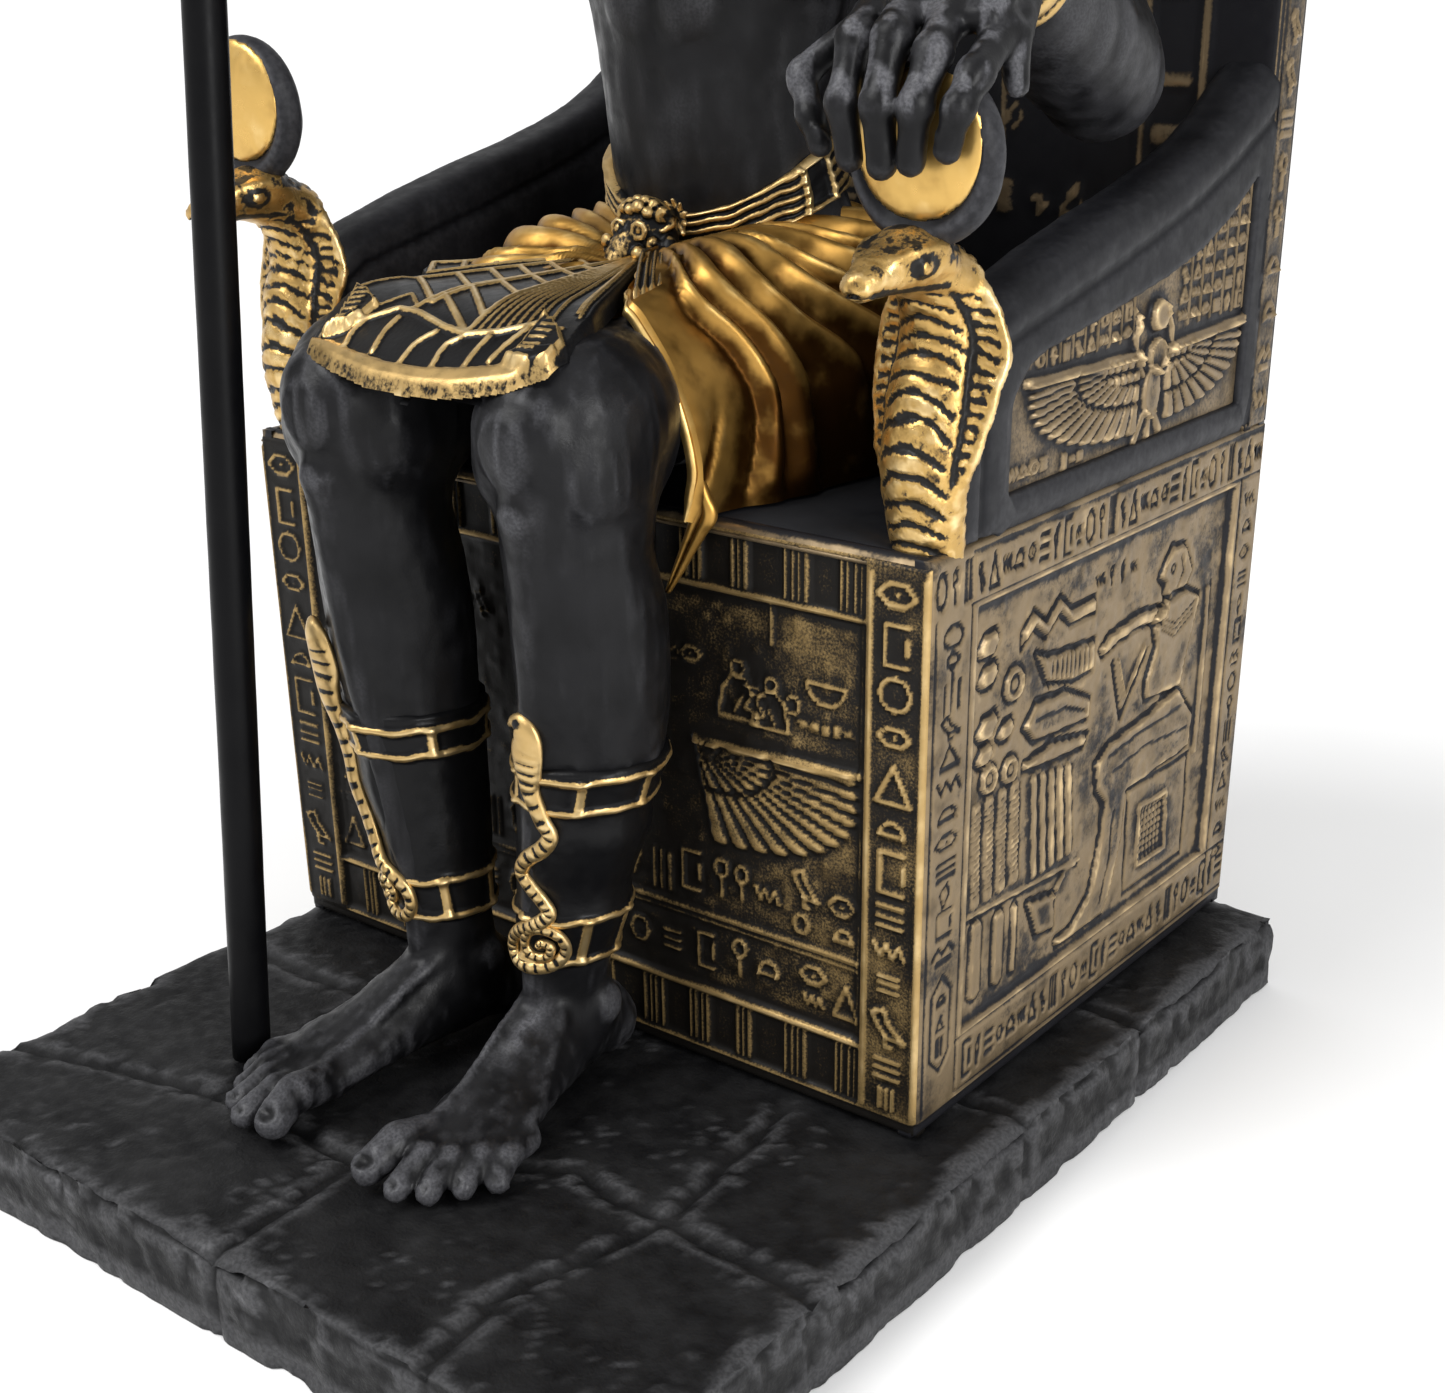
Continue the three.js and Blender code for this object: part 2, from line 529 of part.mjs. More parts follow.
function belt() {
  const sides = 10;
  const { level, dip } = BELT;
  const rows = [[0.2, -3.8], [1.8, -3], [1.2, -0.6], [1.9, 2.2], [0.2, 2.9]];
  return loft(rows.map(([grow, rise]) => range(sides).map((i) => {
    const turn = (2 * Math.PI * (i + 0.5)) / sides;
    const z = level - dip * Math.pow(0.5 - 0.5 * Math.sin(turn), 2.2);
    const y = along([[106, 40.5], [114, 38.5], [122, 36.6]], z);
    const a = along([[106, 19.5], [114, 17.8], [122, 17.2]], z) + grow;
    const b = along([[106, 14.5], [114, 13.4], [122, 12.9]], z) + grow;
    return vec(a * Math.cos(turn), y + b * Math.sin(turn), z + rise);
  })));
}

// An animal's head in a rough mane for the buckle.
function buckle() {
  return joined([
    ball([0, 22, 110.5], [5.2, 3.8, 5], 8),
    limb([[0.2, 21, 110, 3, 2.6], [0, 17.6, 108.6, 2.2, 1.8], [0, 16.2, 108, 1.2, 1]], 6),
  ]);
}

// The apron hangs from the knot over both thighs and ends in a crescent with two cobra heads.
const APRON = { middle: 1.8, half: 19.4, front: -27.4, curve: 5.9, skew: 1.5, low: 98, thick: 3.4, strips: 4 };

function apronPoint(u, v, rise = 0) {
  const { middle, half, front, curve, skew, low } = APRON;
  const end = vec(middle + half * u, front + curve * u * u + skew * u, low + 3.3 * u * u + 1.3 * u);
  const point = vec(2.4 * u, 18.5, 106).lerp(end, v);
  point.z += rise + 2.4 * Math.sin(Math.PI * v) * (1 - 0.4 * u * u);
  return point;
}

function apron() {
  const cells = [0.02, 0.22, 0.4, 0.6, 0.8, 0.82, 0.94, 0.96, 1];
  const across = 2 * APRON.strips + 1;
  const rings = cells.map((v, k) => {
    const narrow = v < 0.81 ? 0.9 : 1;
    const top = range(across).map((i) => {
      const u = (i / (across - 1)) * 2 - 1;
      const rib = v < 0.81 ? (i % 2 ? 0 : 0.5) + (k % 2 ? 0.3 : 0) : (v > 0.95 ? 1.6 : 0.9);
      return apronPoint(u * narrow, v, rib);
    });
    const under = range(3).map((i) => apronPoint((1 - i) * narrow, v, -APRON.thick));
    return [...top, ...under];
  });
  const head = (s) => {
    const p = apronPoint(s, 1, 0);
    return limb([[p.x - s, p.y - 1, p.z, 1.4, 1.2], [p.x, p.y + 1.4, p.z + 2, 2.1, 1.1],
      [p.x - s * 1.4, p.y + 4.8, p.z + 4.4, 0.9, 0.8]], 5);
  };
  return joined([loft(rings), head(1), head(-1)]);
}

// A finger thins to its tip.
function finger(points, radius) {
  return limb(points.map((p, k) => [...p, radius * (1 - 0.1 * k), radius * (1 - 0.1 * k)]), 4);
}

const SHOULDER = [34, 43.5, 187];
const LEFT_ARM = { elbow: [47, 57, 131], wrist: [52.5, 19, 146] };
const RIGHT_ARM = { elbow: [-63, 10, 158], wrist: [-37, -14, 186] };

// Half widths and half depths down each bone, with the raised armlet and bracelet.
const UPPER_ARM = [[-0.14, 7, 8], [-0.04, 10.4, 11.4], [0.12, 11.2, 12], [0.44, 9.8, 10.6],
  [0.56, 8.8, 9.4], [0.86, 7.6, 8.2], [1.06, 7, 7.4]];
const FOREARM = [[-0.2, 5, 5], [-0.08, 8, 8], [0.14, 9, 9], [0.42, 8.2, 8], [0.72, 6.4, 5.8],
  [0.73, 6.9, 6.3], [0.88, 6.3, 5.5], [0.9, 5.2, 4.5], [1, 4.9, 3.9]];

function bone(start, end, profile, across = vec(1, 0, 0)) {
  return limb(profile.map(([t, a, b]) => [...start.map((value, i) => mix(value, end[i], t)), a, b]), 7, across);
}

// Each finger's thickness and the places of its joints: four fingers and the thumb.
const FINGERS = [
  [1.8, [46.6, 7, 140.4], [48.4, -0.6, 136.4], [48.7, -3.6, 129.4], [49.9, -3, 123.9]],
  [2, [50.9, 7, 141], [53.7, -1.2, 136.6], [54, -4.2, 129.1], [54.2, -3.4, 123.1]],
  [1.9, [56.2, 7, 140], [59, -1.2, 135], [59, -4, 129.3], [57.8, -3.3, 123.6]],
  [1.7, [62, 7.5, 137.4], [64.4, -0.4, 132.9], [64.4, -3.2, 129.5], [62.5, -3, 125.2]],
  [1.7, [47.4, 9.6, 141], [39.8, 1.6, 132.8], [42, 0.2, 128.7], [43.7, -0.4, 126.2]],
];

// The left hand lies on the cobra's disc with its fingers hanging in front of it.
function leftHand() {
  const [wx, wy, wz] = LEFT_ARM.wrist;
  const palm = limb([[wx, wy, wz, 5, 3.8], [53.6, 13, 143.6, 6.8, 3.6], [54.6, 7.5, 140.4, 9, 3.2],
    [54.8, 4.6, 138.8, 8.6, 2.4]], 8);
  const fingers = FINGERS.map(([radius, ...points]) => finger(points, radius));
  const heel = limb([[58, 16, 141, 4, 3], [62.6, 9, 136.5, 2.4, 2.4], [64, 8, 131.6, 1.4, 1.6]], 6);
  return joined([palm, heel, ...fingers]);
}

// The right hand closes round the staff.
function rightHand() {
  const grip = 191;
  const [sx, sy] = staffAt(grip);
  const palm = limb([[...RIGHT_ARM.wrist, 4.6, 3.6], [sx - 4.6, sy + 2.2, grip - 1, 4.4, 7],
    [sx - 1.2, sy + 4.6, grip + 0.5, 4, 7.6], [sx + 2.2, sy + 4, grip + 1, 2.6, 7]], 8, vec(0, 1, 0));
  const fingers = range(4).map((k) => {
    const [x, y, z] = staffAt(grip - 5.6 + k * 4.1);
    const turn = (angle) => [x + 4.8 * Math.cos(angle), y + 4.8 * Math.sin(angle), z];
    return finger([turn(0.9), turn(-0.6), turn(-2.1), turn(-3.6)], 2.15);
  });
  const thumb = finger([[sx - 5.6, sy + 1, grip + 6], [sx - 4.4, sy - 3, grip + 9.4],
    [sx + 0.6, sy - 4.6, grip + 11.4]], 2.3);
  return joined([palm, ...fingers, thumb]);
}

// The jackal's head with its long muzzle, tall ears and a head cloth with two lappets.
function head() {
  const { y, z, muzzle, earTip } = HEAD;
  const skull = limb([[0, y + 10, z + 2, 9, 9], [0, y, z + 3, 11, 11.5], [0, y - 8, z + 1, 9.6, 10.2],
    [0, y - 17, z - 2.2, 6.2, 7.2], [0, y - muzzle + 4, z - 6.4, 3.9, 4.3],
    [0, y - muzzle, z - 6.6, 2.2, 2.6]], 9);
  const ears = [1, -1].map((s) => limb(mirrored([[7, y + 3, z + 8, 4.6, 4], [8.8, y + 2.6, z + 22, 5.2, 3.2],
    [10.2, y + 3, z + 40, 3, 2], [11, y + 4, earTip, 0.7, 0.6]], s), 5));
  const cloth = stack([[184, 49, 21, 9.4], [196, 48.4, 22, 10.8], [208, 46.6, 20, 12.8],
    [226, 43.4, 15.8, 13.6], [241, 41.2, 12, 11.6], [248.6, 40.4, 6, 6.4]], 10);
  const lappets = [1, -1].map((s) => limb(mirrored([[11, 22.4, 168, 5, 2.6], [12.4, 24.4, 183, 6.6, 3.6],
    [13, 38, 216, 6, 8]], s), 6));
  return joined([skull, ...ears, cloth, ...lappets]);
}

// A broad collar of stepped bands over the chest and shoulders.
function collar() {
  return stack([[176, 40, 31, 17.2], [176.4, 40, 32, 18.4], [187, 41.6, 34, 16.9],
    [197.5, 42.6, 27, 13.8], [203.6, 43, 13.5, 11.2]], 10);
}

function figure() {
  const body = joined([
    stack(TORSO, 10), collar(), belt(), buckle(), apron(),
    leg(1), leg(-1), skirt(1), skirt(-1), skirtTip(), head(),
    bone([SHOULDER[0], SHOULDER[1], SHOULDER[2]], LEFT_ARM.elbow, UPPER_ARM),
    bone([-SHOULDER[0], SHOULDER[1], SHOULDER[2]], RIGHT_ARM.elbow, UPPER_ARM),
    bone(LEFT_ARM.elbow, LEFT_ARM.wrist, FOREARM),
    bone(RIGHT_ARM.elbow, RIGHT_ARM.wrist, FOREARM, vec(0, 0, 1)),
    leftHand(), rightHand(),
  ]);
  const room = [
    box([-200, 200], [-GAP, 200], [-10, SEAT_LEVEL]),
    box([-200, 200], [-200, 1], [-10, GAP]),
    cobraDisc(1, GAP),
    staffBody(GAP),
  ];
  return cut(body, room);
}

// Assembly
function piece(name, shape, color, roughness, metalness) {
  const mesh = shape.getMesh();
  const geometry = new THREE.BufferGeometry();
  geometry.setAttribute('position', new THREE.BufferAttribute(new Float32Array(mesh.vertProperties), 3));
  geometry.setIndex(Array.from(mesh.triVerts));
  const finish = new THREE.MeshStandardMaterial({ color, roughness, metalness });
  const part = new THREE.Mesh(geometry, finish);
  part.name = name;
  return part;
}

const statue = new THREE.Group();
statue.add(piece('plinth', plinth(), SLATE, 0.7, 0));
statue.add(piece('throne', throne(), GOLD, 0.5, 0.4));
statue.add(piece('figure', figure(), BLACK, 0.5, 0));
statue.add(piece('staff', staffBody(), BLACK, 0.4, 0));

// The origin goes under the middle of the footprint box, at the plinth's underside.
const extent = new THREE.Box3().setFromObject(statue);
const middle = extent.getCenter(new THREE.Vector3());
statue.position.set(-middle.x, -middle.y, -extent.min.z);

export default statue;
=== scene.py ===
# A jackal-headed figure on a carved throne with its staff and flagstone plinth, dressed for rendering.
# Shapes are laid out in the figure's own work millimetres: x to the figure's left, y back, z up,
# measured from the middle of the throne's front edge, level with the top of the plinth.
import itertools
import math

import bpy
import mathutils
import numpy as np
import openvdb
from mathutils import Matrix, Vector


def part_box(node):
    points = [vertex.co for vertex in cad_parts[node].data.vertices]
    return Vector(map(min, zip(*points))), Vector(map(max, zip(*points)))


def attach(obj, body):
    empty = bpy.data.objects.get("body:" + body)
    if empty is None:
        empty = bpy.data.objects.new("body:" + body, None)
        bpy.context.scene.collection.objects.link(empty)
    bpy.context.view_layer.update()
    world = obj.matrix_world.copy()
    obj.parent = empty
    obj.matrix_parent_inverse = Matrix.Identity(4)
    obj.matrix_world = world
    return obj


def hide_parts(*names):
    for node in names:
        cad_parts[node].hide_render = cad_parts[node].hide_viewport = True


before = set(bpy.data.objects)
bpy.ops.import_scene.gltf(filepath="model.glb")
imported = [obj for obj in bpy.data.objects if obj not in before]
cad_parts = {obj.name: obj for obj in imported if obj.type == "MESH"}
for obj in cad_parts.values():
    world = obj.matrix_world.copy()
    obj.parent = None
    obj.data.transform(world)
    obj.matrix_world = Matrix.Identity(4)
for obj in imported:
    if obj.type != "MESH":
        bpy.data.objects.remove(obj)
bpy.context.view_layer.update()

# Where the work frame lies in the object's frame, read off the throne
THRONE_DEPTH = 93.0
GAP = 0.3
throne_low, throne_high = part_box("throne")
ORIGIN = np.array([
    500 * (throne_low[0] + throne_high[0]),
    1000 * throne_high[1] - THRONE_DEPTH,
    1000 * throne_low[2] - GAP,
])

# Driving sizes
PLINTH = dict(left=-62.0, right=70.0, front=-73.0, back=94.0, thick=13.0)
HALF = 60.0
SEAT = 80.0
BACK = 85.0
BACK_TOP = 188.0
CORNICE = 12.0
ARM_INNER = 50.0
ARM_FRONT = 5.0
POST = 9.5
PANEL_LOW = 12.0
PANEL_HIGH = 70.5
SUNK = 1.1
COBRA_X = 55.4
DISC = (56.4, 1.4, 125.0)
KNOT = (3.0, 20.0, 106.0)
STAFF_FOOT = (-29.2, -38.0)
STAFF_LEAN = 12.4 / 140.3
STAFF_TOP = 262.0
STAFF_RADIUS = 2.75
HEAD = dict(y=36.0, z=233.0, muzzle=42.0, ear=287.0)
FAR = 1000.0


# Numbers and noise
def mix(a, b, t):
    return a + (b - a) * t


def smooth(low, high, value):
    t = np.clip((value - low) / (high - low), 0, 1)
    return t * t * (3 - 2 * t)


def along(table, t):
    """Reads a value off rows of (position, value), smoothed between them."""
    places = np.array([row[0] for row in table], float)
    values = np.array([row[1] for row in table], float)
    t = np.clip(t, places[0], places[-1])
    i = np.clip(np.searchsorted(places, t, side="right") - 1, 0, len(places) - 2)
    part = (t - places[i]) / (places[i + 1] - places[i])
    return mix(values[i], values[i + 1], part * part * (3 - 2 * part))


def noise(points, scale, seed=0):
    """Smooth value noise between -1 and 1, one value for each point."""
    p = np.asarray(points, float) / scale + 17.31 * seed + 501.7
    base = np.floor(p).astype(np.int64)
    part = p - base
    part = part * part * (3 - 2 * part)
    total = np.zeros(len(p))
    for corner in itertools.product((0, 1), repeat=p.shape[1]):
        cell = base + np.array(corner)
        mixed = np.zeros(len(p), np.int64)
        for axis, prime in zip(range(p.shape[1]), (73856093, 19349663, 83492791)):
            mixed ^= cell[:, axis] * prime
        mixed = (mixed ^ (mixed >> 13)) * 1274126177 & 0x7FFFFFFF
        mixed = (mixed ^ (mixed >> 16)) & 0xFFFF
        weight = np.prod(np.where(np.array(corner) > 0, part, 1 - part), axis=1)
        total += weight * (mixed / 32767.5 - 1)
    return total


def rough_noise(points, scale, octaves=3, seed=0):
    return sum(noise(points, scale / 2 ** k, seed + k) / 2 ** k for k in range(octaves))


def curve_through(rows, turns=4):
    """Adds smooth stations between the given ones with a Catmull-Rom spline."""
    rows = np.array(rows, float)
    padded = np.vstack([2 * rows[0] - rows[1], rows, 2 * rows[-1] - rows[-2]])
    out = []
    for k in range(1, len(padded) - 2):
        a, b, c, d = padded[k - 1:k + 3]
        for t in np.arange(turns) / turns:
            out.append(0.5 * (2 * b + (c - a) * t + (2 * a - 5 * b + 4 * c - d) * t ** 2
                              + (3 * b - a - 3 * c + d) * t ** 3))
    out.append(padded[-2])
    return np.array(out)


def unit(v):
    v = np.asarray(v, float)
    return v / np.linalg.norm(v)


def mirrored(rows, s):
    return [(row[0] * s, *row[1:]) for row in rows]


# Making mesh pieces
def mesh_piece(name, points, faces, node, material, **attributes):
    """A piece in work millimetres that stands for part of a CAD node."""
    mesh = bpy.data.meshes.new(name)
    mesh.from_pydata(((np.asarray(points) + ORIGIN) / 1000).tolist(), [], [list(map(int, f)) for f in faces])
    mesh.validate()
    mesh.shade_smooth()
    for label, values in attributes.items():
        layer = mesh.attributes.new(label, "FLOAT", "POINT")
        layer.data.foreach_set("value", np.clip(values, 0, 1).astype(np.float32))
    piece = bpy.data.objects.new(name, mesh)
    bpy.context.scene.collection.objects.link(piece)
    mesh.materials.append(material)
    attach(piece, "root")
    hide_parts(node)
    return piece


def grid_faces(rows, columns, closed=False):
    """Quads over a grid of points, row by row, closed round each row if asked."""
    i, j = np.meshgrid(np.arange(rows - 1), np.arange(columns - (0 if closed else 1)), indexing="ij")
    a = i * columns + j
    b = i * columns + (j + 1) % columns
    return np.stack([a, b, b + columns, a + columns], -1).reshape(-1, 4)


def tri_parts(faces):
    """Splits every face into triangle corner rows."""
    quads = np.array([f for f in faces if len(f) == 4], int).reshape(-1, 4)
    tris = np.array([f for f in faces if len(f) == 3], int).reshape(-1, 3)
    return np.vstack([quads[:, [0, 1, 2]], quads[:, [0, 2, 3]], tris])


def normals_of(points, faces):
    corners = tri_parts(faces)
    cross = np.cross(points[corners[:, 1]] - points[corners[:, 0]], points[corners[:, 2]] - points[corners[:, 0]])
    out = np.zeros_like(points)
    for k in range(3):
        for axis in range(3):
            out[:, axis] += np.bincount(corners[:, k], cross[:, axis], len(points))
    return out / np.maximum(np.linalg.norm(out, axis=1), 1e-12)[:, None]


def relaxed(points, faces, rounds):
    """Points after a few rounds of moving each to the middle of its neighbours."""
    corners = tri_parts(faces)
    ends = np.vstack([corners[:, [0, 1]], corners[:, [1, 2]], corners[:, [2, 0]]])
    ends = np.vstack([ends, ends[:, ::-1]])
    count = np.maximum(np.bincount(ends[:, 0], minlength=len(points)), 1)
    out = points.copy()
    for _ in range(rounds):
        out = np.stack([np.bincount(ends[:, 0], out[ends[:, 1], axis], len(points)) / count
                        for axis in range(3)], 1)
    return out


def ridges_of(points, faces, rounds, reach):
    """How far each point stands out of its smoothed surroundings, from 0 to 1."""
    out = points - relaxed(points, faces, rounds)
    return np.clip((out * normals_of(points, faces)).sum(1) / reach, -1, 1)


class Clay:
    """A block of signed distances in work millimetres. Forms are blended into it and skinned."""

    def __init__(self, low, high, step):
        self.low = np.array(low, float)
        self.step = step
        self.size = np.ceil((np.array(high) - self.low) / step).astype(int) + 1
        self.field = np.full(self.size, FAR, np.float32)

    def window(self, low, high):
        first = np.clip(np.floor((np.asarray(low) - self.low) / self.step).astype(int), 0, self.size)
        last = np.clip(np.ceil((np.asarray(high) - self.low) / self.step).astype(int) + 1, 0, self.size)
        axes = [self.low[k] + self.step * np.arange(first[k], last[k]) for k in range(3)]
        place = tuple(slice(first[k], last[k]) for k in range(3))
        return place, np.meshgrid(*axes, indexing="ij", sparse=True)

    def blend(self, place, distance, soft):
        """Joins a form with a fillet, or cuts it out where soft is negative."""
        here = self.field[place]
        if soft < 0:
            near = np.maximum(-soft - np.abs(here + distance), 0) / -soft
            self.field[place] = np.maximum(here, -distance) + near * near * -soft / 4
            return
        near = np.maximum(soft - np.abs(here - distance), 0) / soft
        self.field[place] = np.minimum(here, distance) - near * near * soft / 4

    def tube(self, stations, soft=1.0, across=(1, 0, 0), turns=3):
        """A limb through stations of x, y, z, half width along across, and half depth."""
        rows = curve_through(stations, turns) if turns > 1 else np.array(stations, float)
        reach = rows[:, 3:].max() + abs(soft) + 2 * self.step
        place, (x, y, z) = self.window(rows[:, :3].min(0) - reach, rows[:, :3].max(0) + reach)
        best = np.full(self.field[place].shape, FAR, np.float32)
        for start, end in zip(rows, rows[1:]):
            pad = max(start[3:].max(), end[3:].max()) + abs(soft) + 2 * self.step
            low = np.minimum(start[:3], end[:3]) - pad
            high = np.maximum(start[:3], end[:3]) + pad
            part, (px, py, pz) = self.window(low, high)
            local = tuple(slice(p.start - q.start, p.stop - q.start) for p, q in zip(part, place))
            run = end[:3] - start[:3]
            length = np.linalg.norm(run)
            way = run / length
            side = unit(np.array(across) - way * np.dot(across, way))
            up = np.cross(way, side)
            dx, dy, dz = px - start[0], py - start[1], pz - start[2]
            s = dx * way[0] + dy * way[1] + dz * way[2]
            t = np.clip(s / length, 0, 1)
            a = mix(start[3], end[3], t)
            b = mix(start[4], end[4], t)
            u = dx * side[0] + dy * side[1] + dz * side[2]
            v = dx * up[0] + dy * up[1] + dz * up[2]
            over = (s - t * length) / np.minimum(a, b)
            k0 = np.sqrt((u / a) ** 2 + (v / b) ** 2 + over ** 2) + 1e-6
            k1 = np.sqrt((u / a ** 2) ** 2 + (v / b ** 2) ** 2 + (over / np.minimum(a, b)) ** 2) + 1e-6
            best[local] = np.minimum(best[local], k0 * (k0 - 1) / k1)
        self.blend(place, best, soft)

    def ball(self, centre, radii, soft=1.0, along_axis=None):
        """An ellipsoid. With along_axis given, its first radius lies along that direction."""
        radii = np.array(radii, float)
        pad = radii.max() + abs(soft) + 2 * self.step
        place, (x, y, z) = self.window(np.array(centre) - pad, np.array(centre) + pad)
        dx, dy, dz = x - centre[0], y - centre[1], z - centre[2]
        if along_axis is None:
            axes = np.eye(3)
        else:
            first = unit(along_axis)
            second = unit(np.cross((0, 0, 1), first)) if abs(first[2]) < 0.9 else np.array([1.0, 0, 0])
            axes = np.array([first, second, np.cross(first, second)])
        parts = [(dx * a[0] + dy * a[1] + dz * a[2]) for a in axes]
        k0 = np.sqrt(sum((p / r) ** 2 for p, r in zip(parts, radii))) + 1e-6
        k1 = np.sqrt(sum((p / r ** 2) ** 2 for p, r in zip(parts, radii))) + 1e-6
        self.blend(place, k0 * (k0 - 1) / k1, soft)

    def keep(self, axis, level, way):
        """Keeps what lies past a level along an axis, upwards or downwards."""
        place = self.low[axis] + self.step * np.arange(self.size[axis])
        shape = [1, 1, 1]
        shape[axis] = -1
        self.field = np.maximum(self.field, (way * (level - place)).reshape(shape).astype(np.float32))

    def skin(self, adapt=0.0):
        band = 3 * self.step
        grid = openvdb.FloatGrid(band)
        grid.copyFromArray(np.ascontiguousarray(np.clip(self.field, -band, band)))
        grid.transform = openvdb.createLinearTransform(self.step)
        if adapt > 0:
            points, tris, quads = grid.convertToPolygons(0.0, adapt)
            faces = [list(f[::-1]) for f in quads.tolist()] + [list(f[::-1]) for f in tris.tolist()]
        else:
            points, quads = grid.convertToQuads(0.0)
            faces = quads[:, ::-1].tolist()
        points = np.asarray(points, float) + self.low
        if signed_volume(points, faces) < 0:
            faces = [f[::-1] for f in faces]
        return points, faces


def signed_volume(points, faces):
    corners = tri_parts(faces)
    a, b, c = points[corners[:, 0]], points[corners[:, 1]], points[corners[:, 2]]
    return (a * np.cross(b, c)).sum() / 6


# Finishes, all made of nodes. Sizes of their textures are in millimetres.
class Finish:
    """A material whose nodes are added one by one."""

    def __init__(self, name):
        self.material = bpy.data.materials.new(name)
        self.material.use_nodes = True
        self.tree = self.material.node_tree
        self.shader = self.tree.nodes["Principled BSDF"]
        self.place = self.tree.nodes.new("ShaderNodeTexCoord").outputs["Object"]

    def link(self, source, target):
        self.tree.links.new(source, target)

    def noise(self, size, detail=3.0, rough=0.55, stretch=None):
        node = self.tree.nodes.new("ShaderNodeTexNoise")
        node.inputs["Scale"].default_value = 1000 / size
        node.inputs["Detail"].default_value = detail
        node.inputs["Roughness"].default_value = rough
        place = self.place
        if stretch:
            mapping = self.tree.nodes.new("ShaderNodeMapping")
            mapping.inputs["Scale"].default_value = stretch
            self.link(place, mapping.inputs["Vector"])
            place = mapping.outputs["Vector"]
        self.link(place, node.inputs["Vector"])
        return node.outputs["Fac"]

    def attribute(self, name):
        node = self.tree.nodes.new("ShaderNodeAttribute")
        node.attribute_name = name
        return node.outputs["Fac"]

    def math(self, operation, a, b=0.5, c=0.5):
        node = self.tree.nodes.new("ShaderNodeMath")
        node.operation = operation
        for socket, value in zip(node.inputs, (a, b, c)):
            if isinstance(value, (int, float)):
                socket.default_value = value
            else:
                self.link(value, socket)
        return node.outputs["Value"]

    def steps(self, value, low, high, out_low=0.0, out_high=1.0):
        node = self.tree.nodes.new("ShaderNodeMapRange")
        node.interpolation_type = "SMOOTHSTEP"
        for label, number in (("From Min", low), ("From Max", high), ("To Min", out_low), ("To Max", out_high)):
            node.inputs[label].default_value = number
        self.link(value, node.inputs["Value"])
        return node.outputs["Result"]

    def blend(self, amount, first, second):
        node = self.tree.nodes.new("ShaderNodeMix")
        node.data_type = "RGBA"
        self.link(amount, node.inputs["Factor"])
        for socket, value in ((node.inputs["A"], first), (node.inputs["B"], second)):
            if isinstance(value, tuple):
                socket.default_value = (*value, 1)
            else:
                self.link(value, socket)
        return node.outputs["Result"]

    def bump(self, height, distance, strength=1.0):
        node = self.tree.nodes.new("ShaderNodeBump")
        node.inputs["Distance"].default_value = distance / 1000
        node.inputs["Strength"].default_value = strength
        self.link(height, node.inputs["Height"])
        self.link(node.outputs["Normal"], self.shader.inputs["Normal"])

    def finish(self, colour, metal, roughness):
        for socket, value in (("Base Color", colour), ("Metallic", metal), ("Roughness", roughness)):
            if isinstance(value, (int, float)):
                self.shader.inputs[socket].default_value = value
            else:
                self.link(value, self.shader.inputs[socket])
        return self.material


def black_paint(name, dark=(0.004, 0.004, 0.0045), light=(0.008, 0.008, 0.009), dust_and_highlight=(0.17, 0.17, 0.185),
                grain=0.4, rough=(0.3, 0.48), depth=0.05, grey_mix=0.55, gloss=0.16):
    """Satin black paint, mixed towards grey where its attribute is high: dry-brushed wear, and on the left hand a
    painted highlight.
    """
    f = Finish(name)
    cloud = f.noise(9)
    fine = f.noise(grain, 4)
    worn = f.math("MULTIPLY", f.attribute("wear"), f.steps(fine, 0.3, 0.7, 0.45, 1.0))
    base = f.blend(f.steps(cloud, 0.3, 0.7), dark, light)
    colour = f.blend(f.math("MULTIPLY", worn, grey_mix), base, dust_and_highlight)
    f.bump(fine, depth, 0.5)
    f.shader.inputs["Specular IOR Level"].default_value = gloss
    return f.finish(colour, 0.0, f.steps(f.noise(2.5), 0.3, 0.7, *rough))


def gilding(name, shadow=(0.13, 0.08, 0.03), gold=(0.44, 0.29, 0.1), bright=(0.8, 0.62, 0.3),
            black=(0.012, 0.011, 0.01), speck=0.55, cover=(0.3, 0.62), rough=(0.3, 0.5), depth=0.06,
            metal=0.9, patchy=0.9):
    """Antique gold brushed over black. The gold attribute says how much of it lies there."""
    f = Finish(name)
    there = f.attribute("gold")
    fine = f.noise(speck, 4, 0.6)
    cloud = f.noise(5, 3)
    held = f.math("ADD", there, f.math("MULTIPLY_ADD", fine, patchy, -patchy / 2))
    amount = f.steps(held, *cover)
    tone = f.math("ADD", f.math("MULTIPLY", there, 0.55), f.math("MULTIPLY", cloud, 0.6))
    colour = f.blend(f.steps(tone, 0.3, 0.62), shadow, gold)
    colour = f.blend(f.steps(tone, 0.66, 1.0), colour, bright)
    colour = f.blend(amount, black, colour)
    f.bump(fine, depth, 0.5)
    f.shader.inputs["Specular IOR Level"].default_value = 0.15
    return f.finish(colour, f.math("MULTIPLY", amount, metal), f.steps(f.noise(2.2), 0.3, 0.7, *rough))


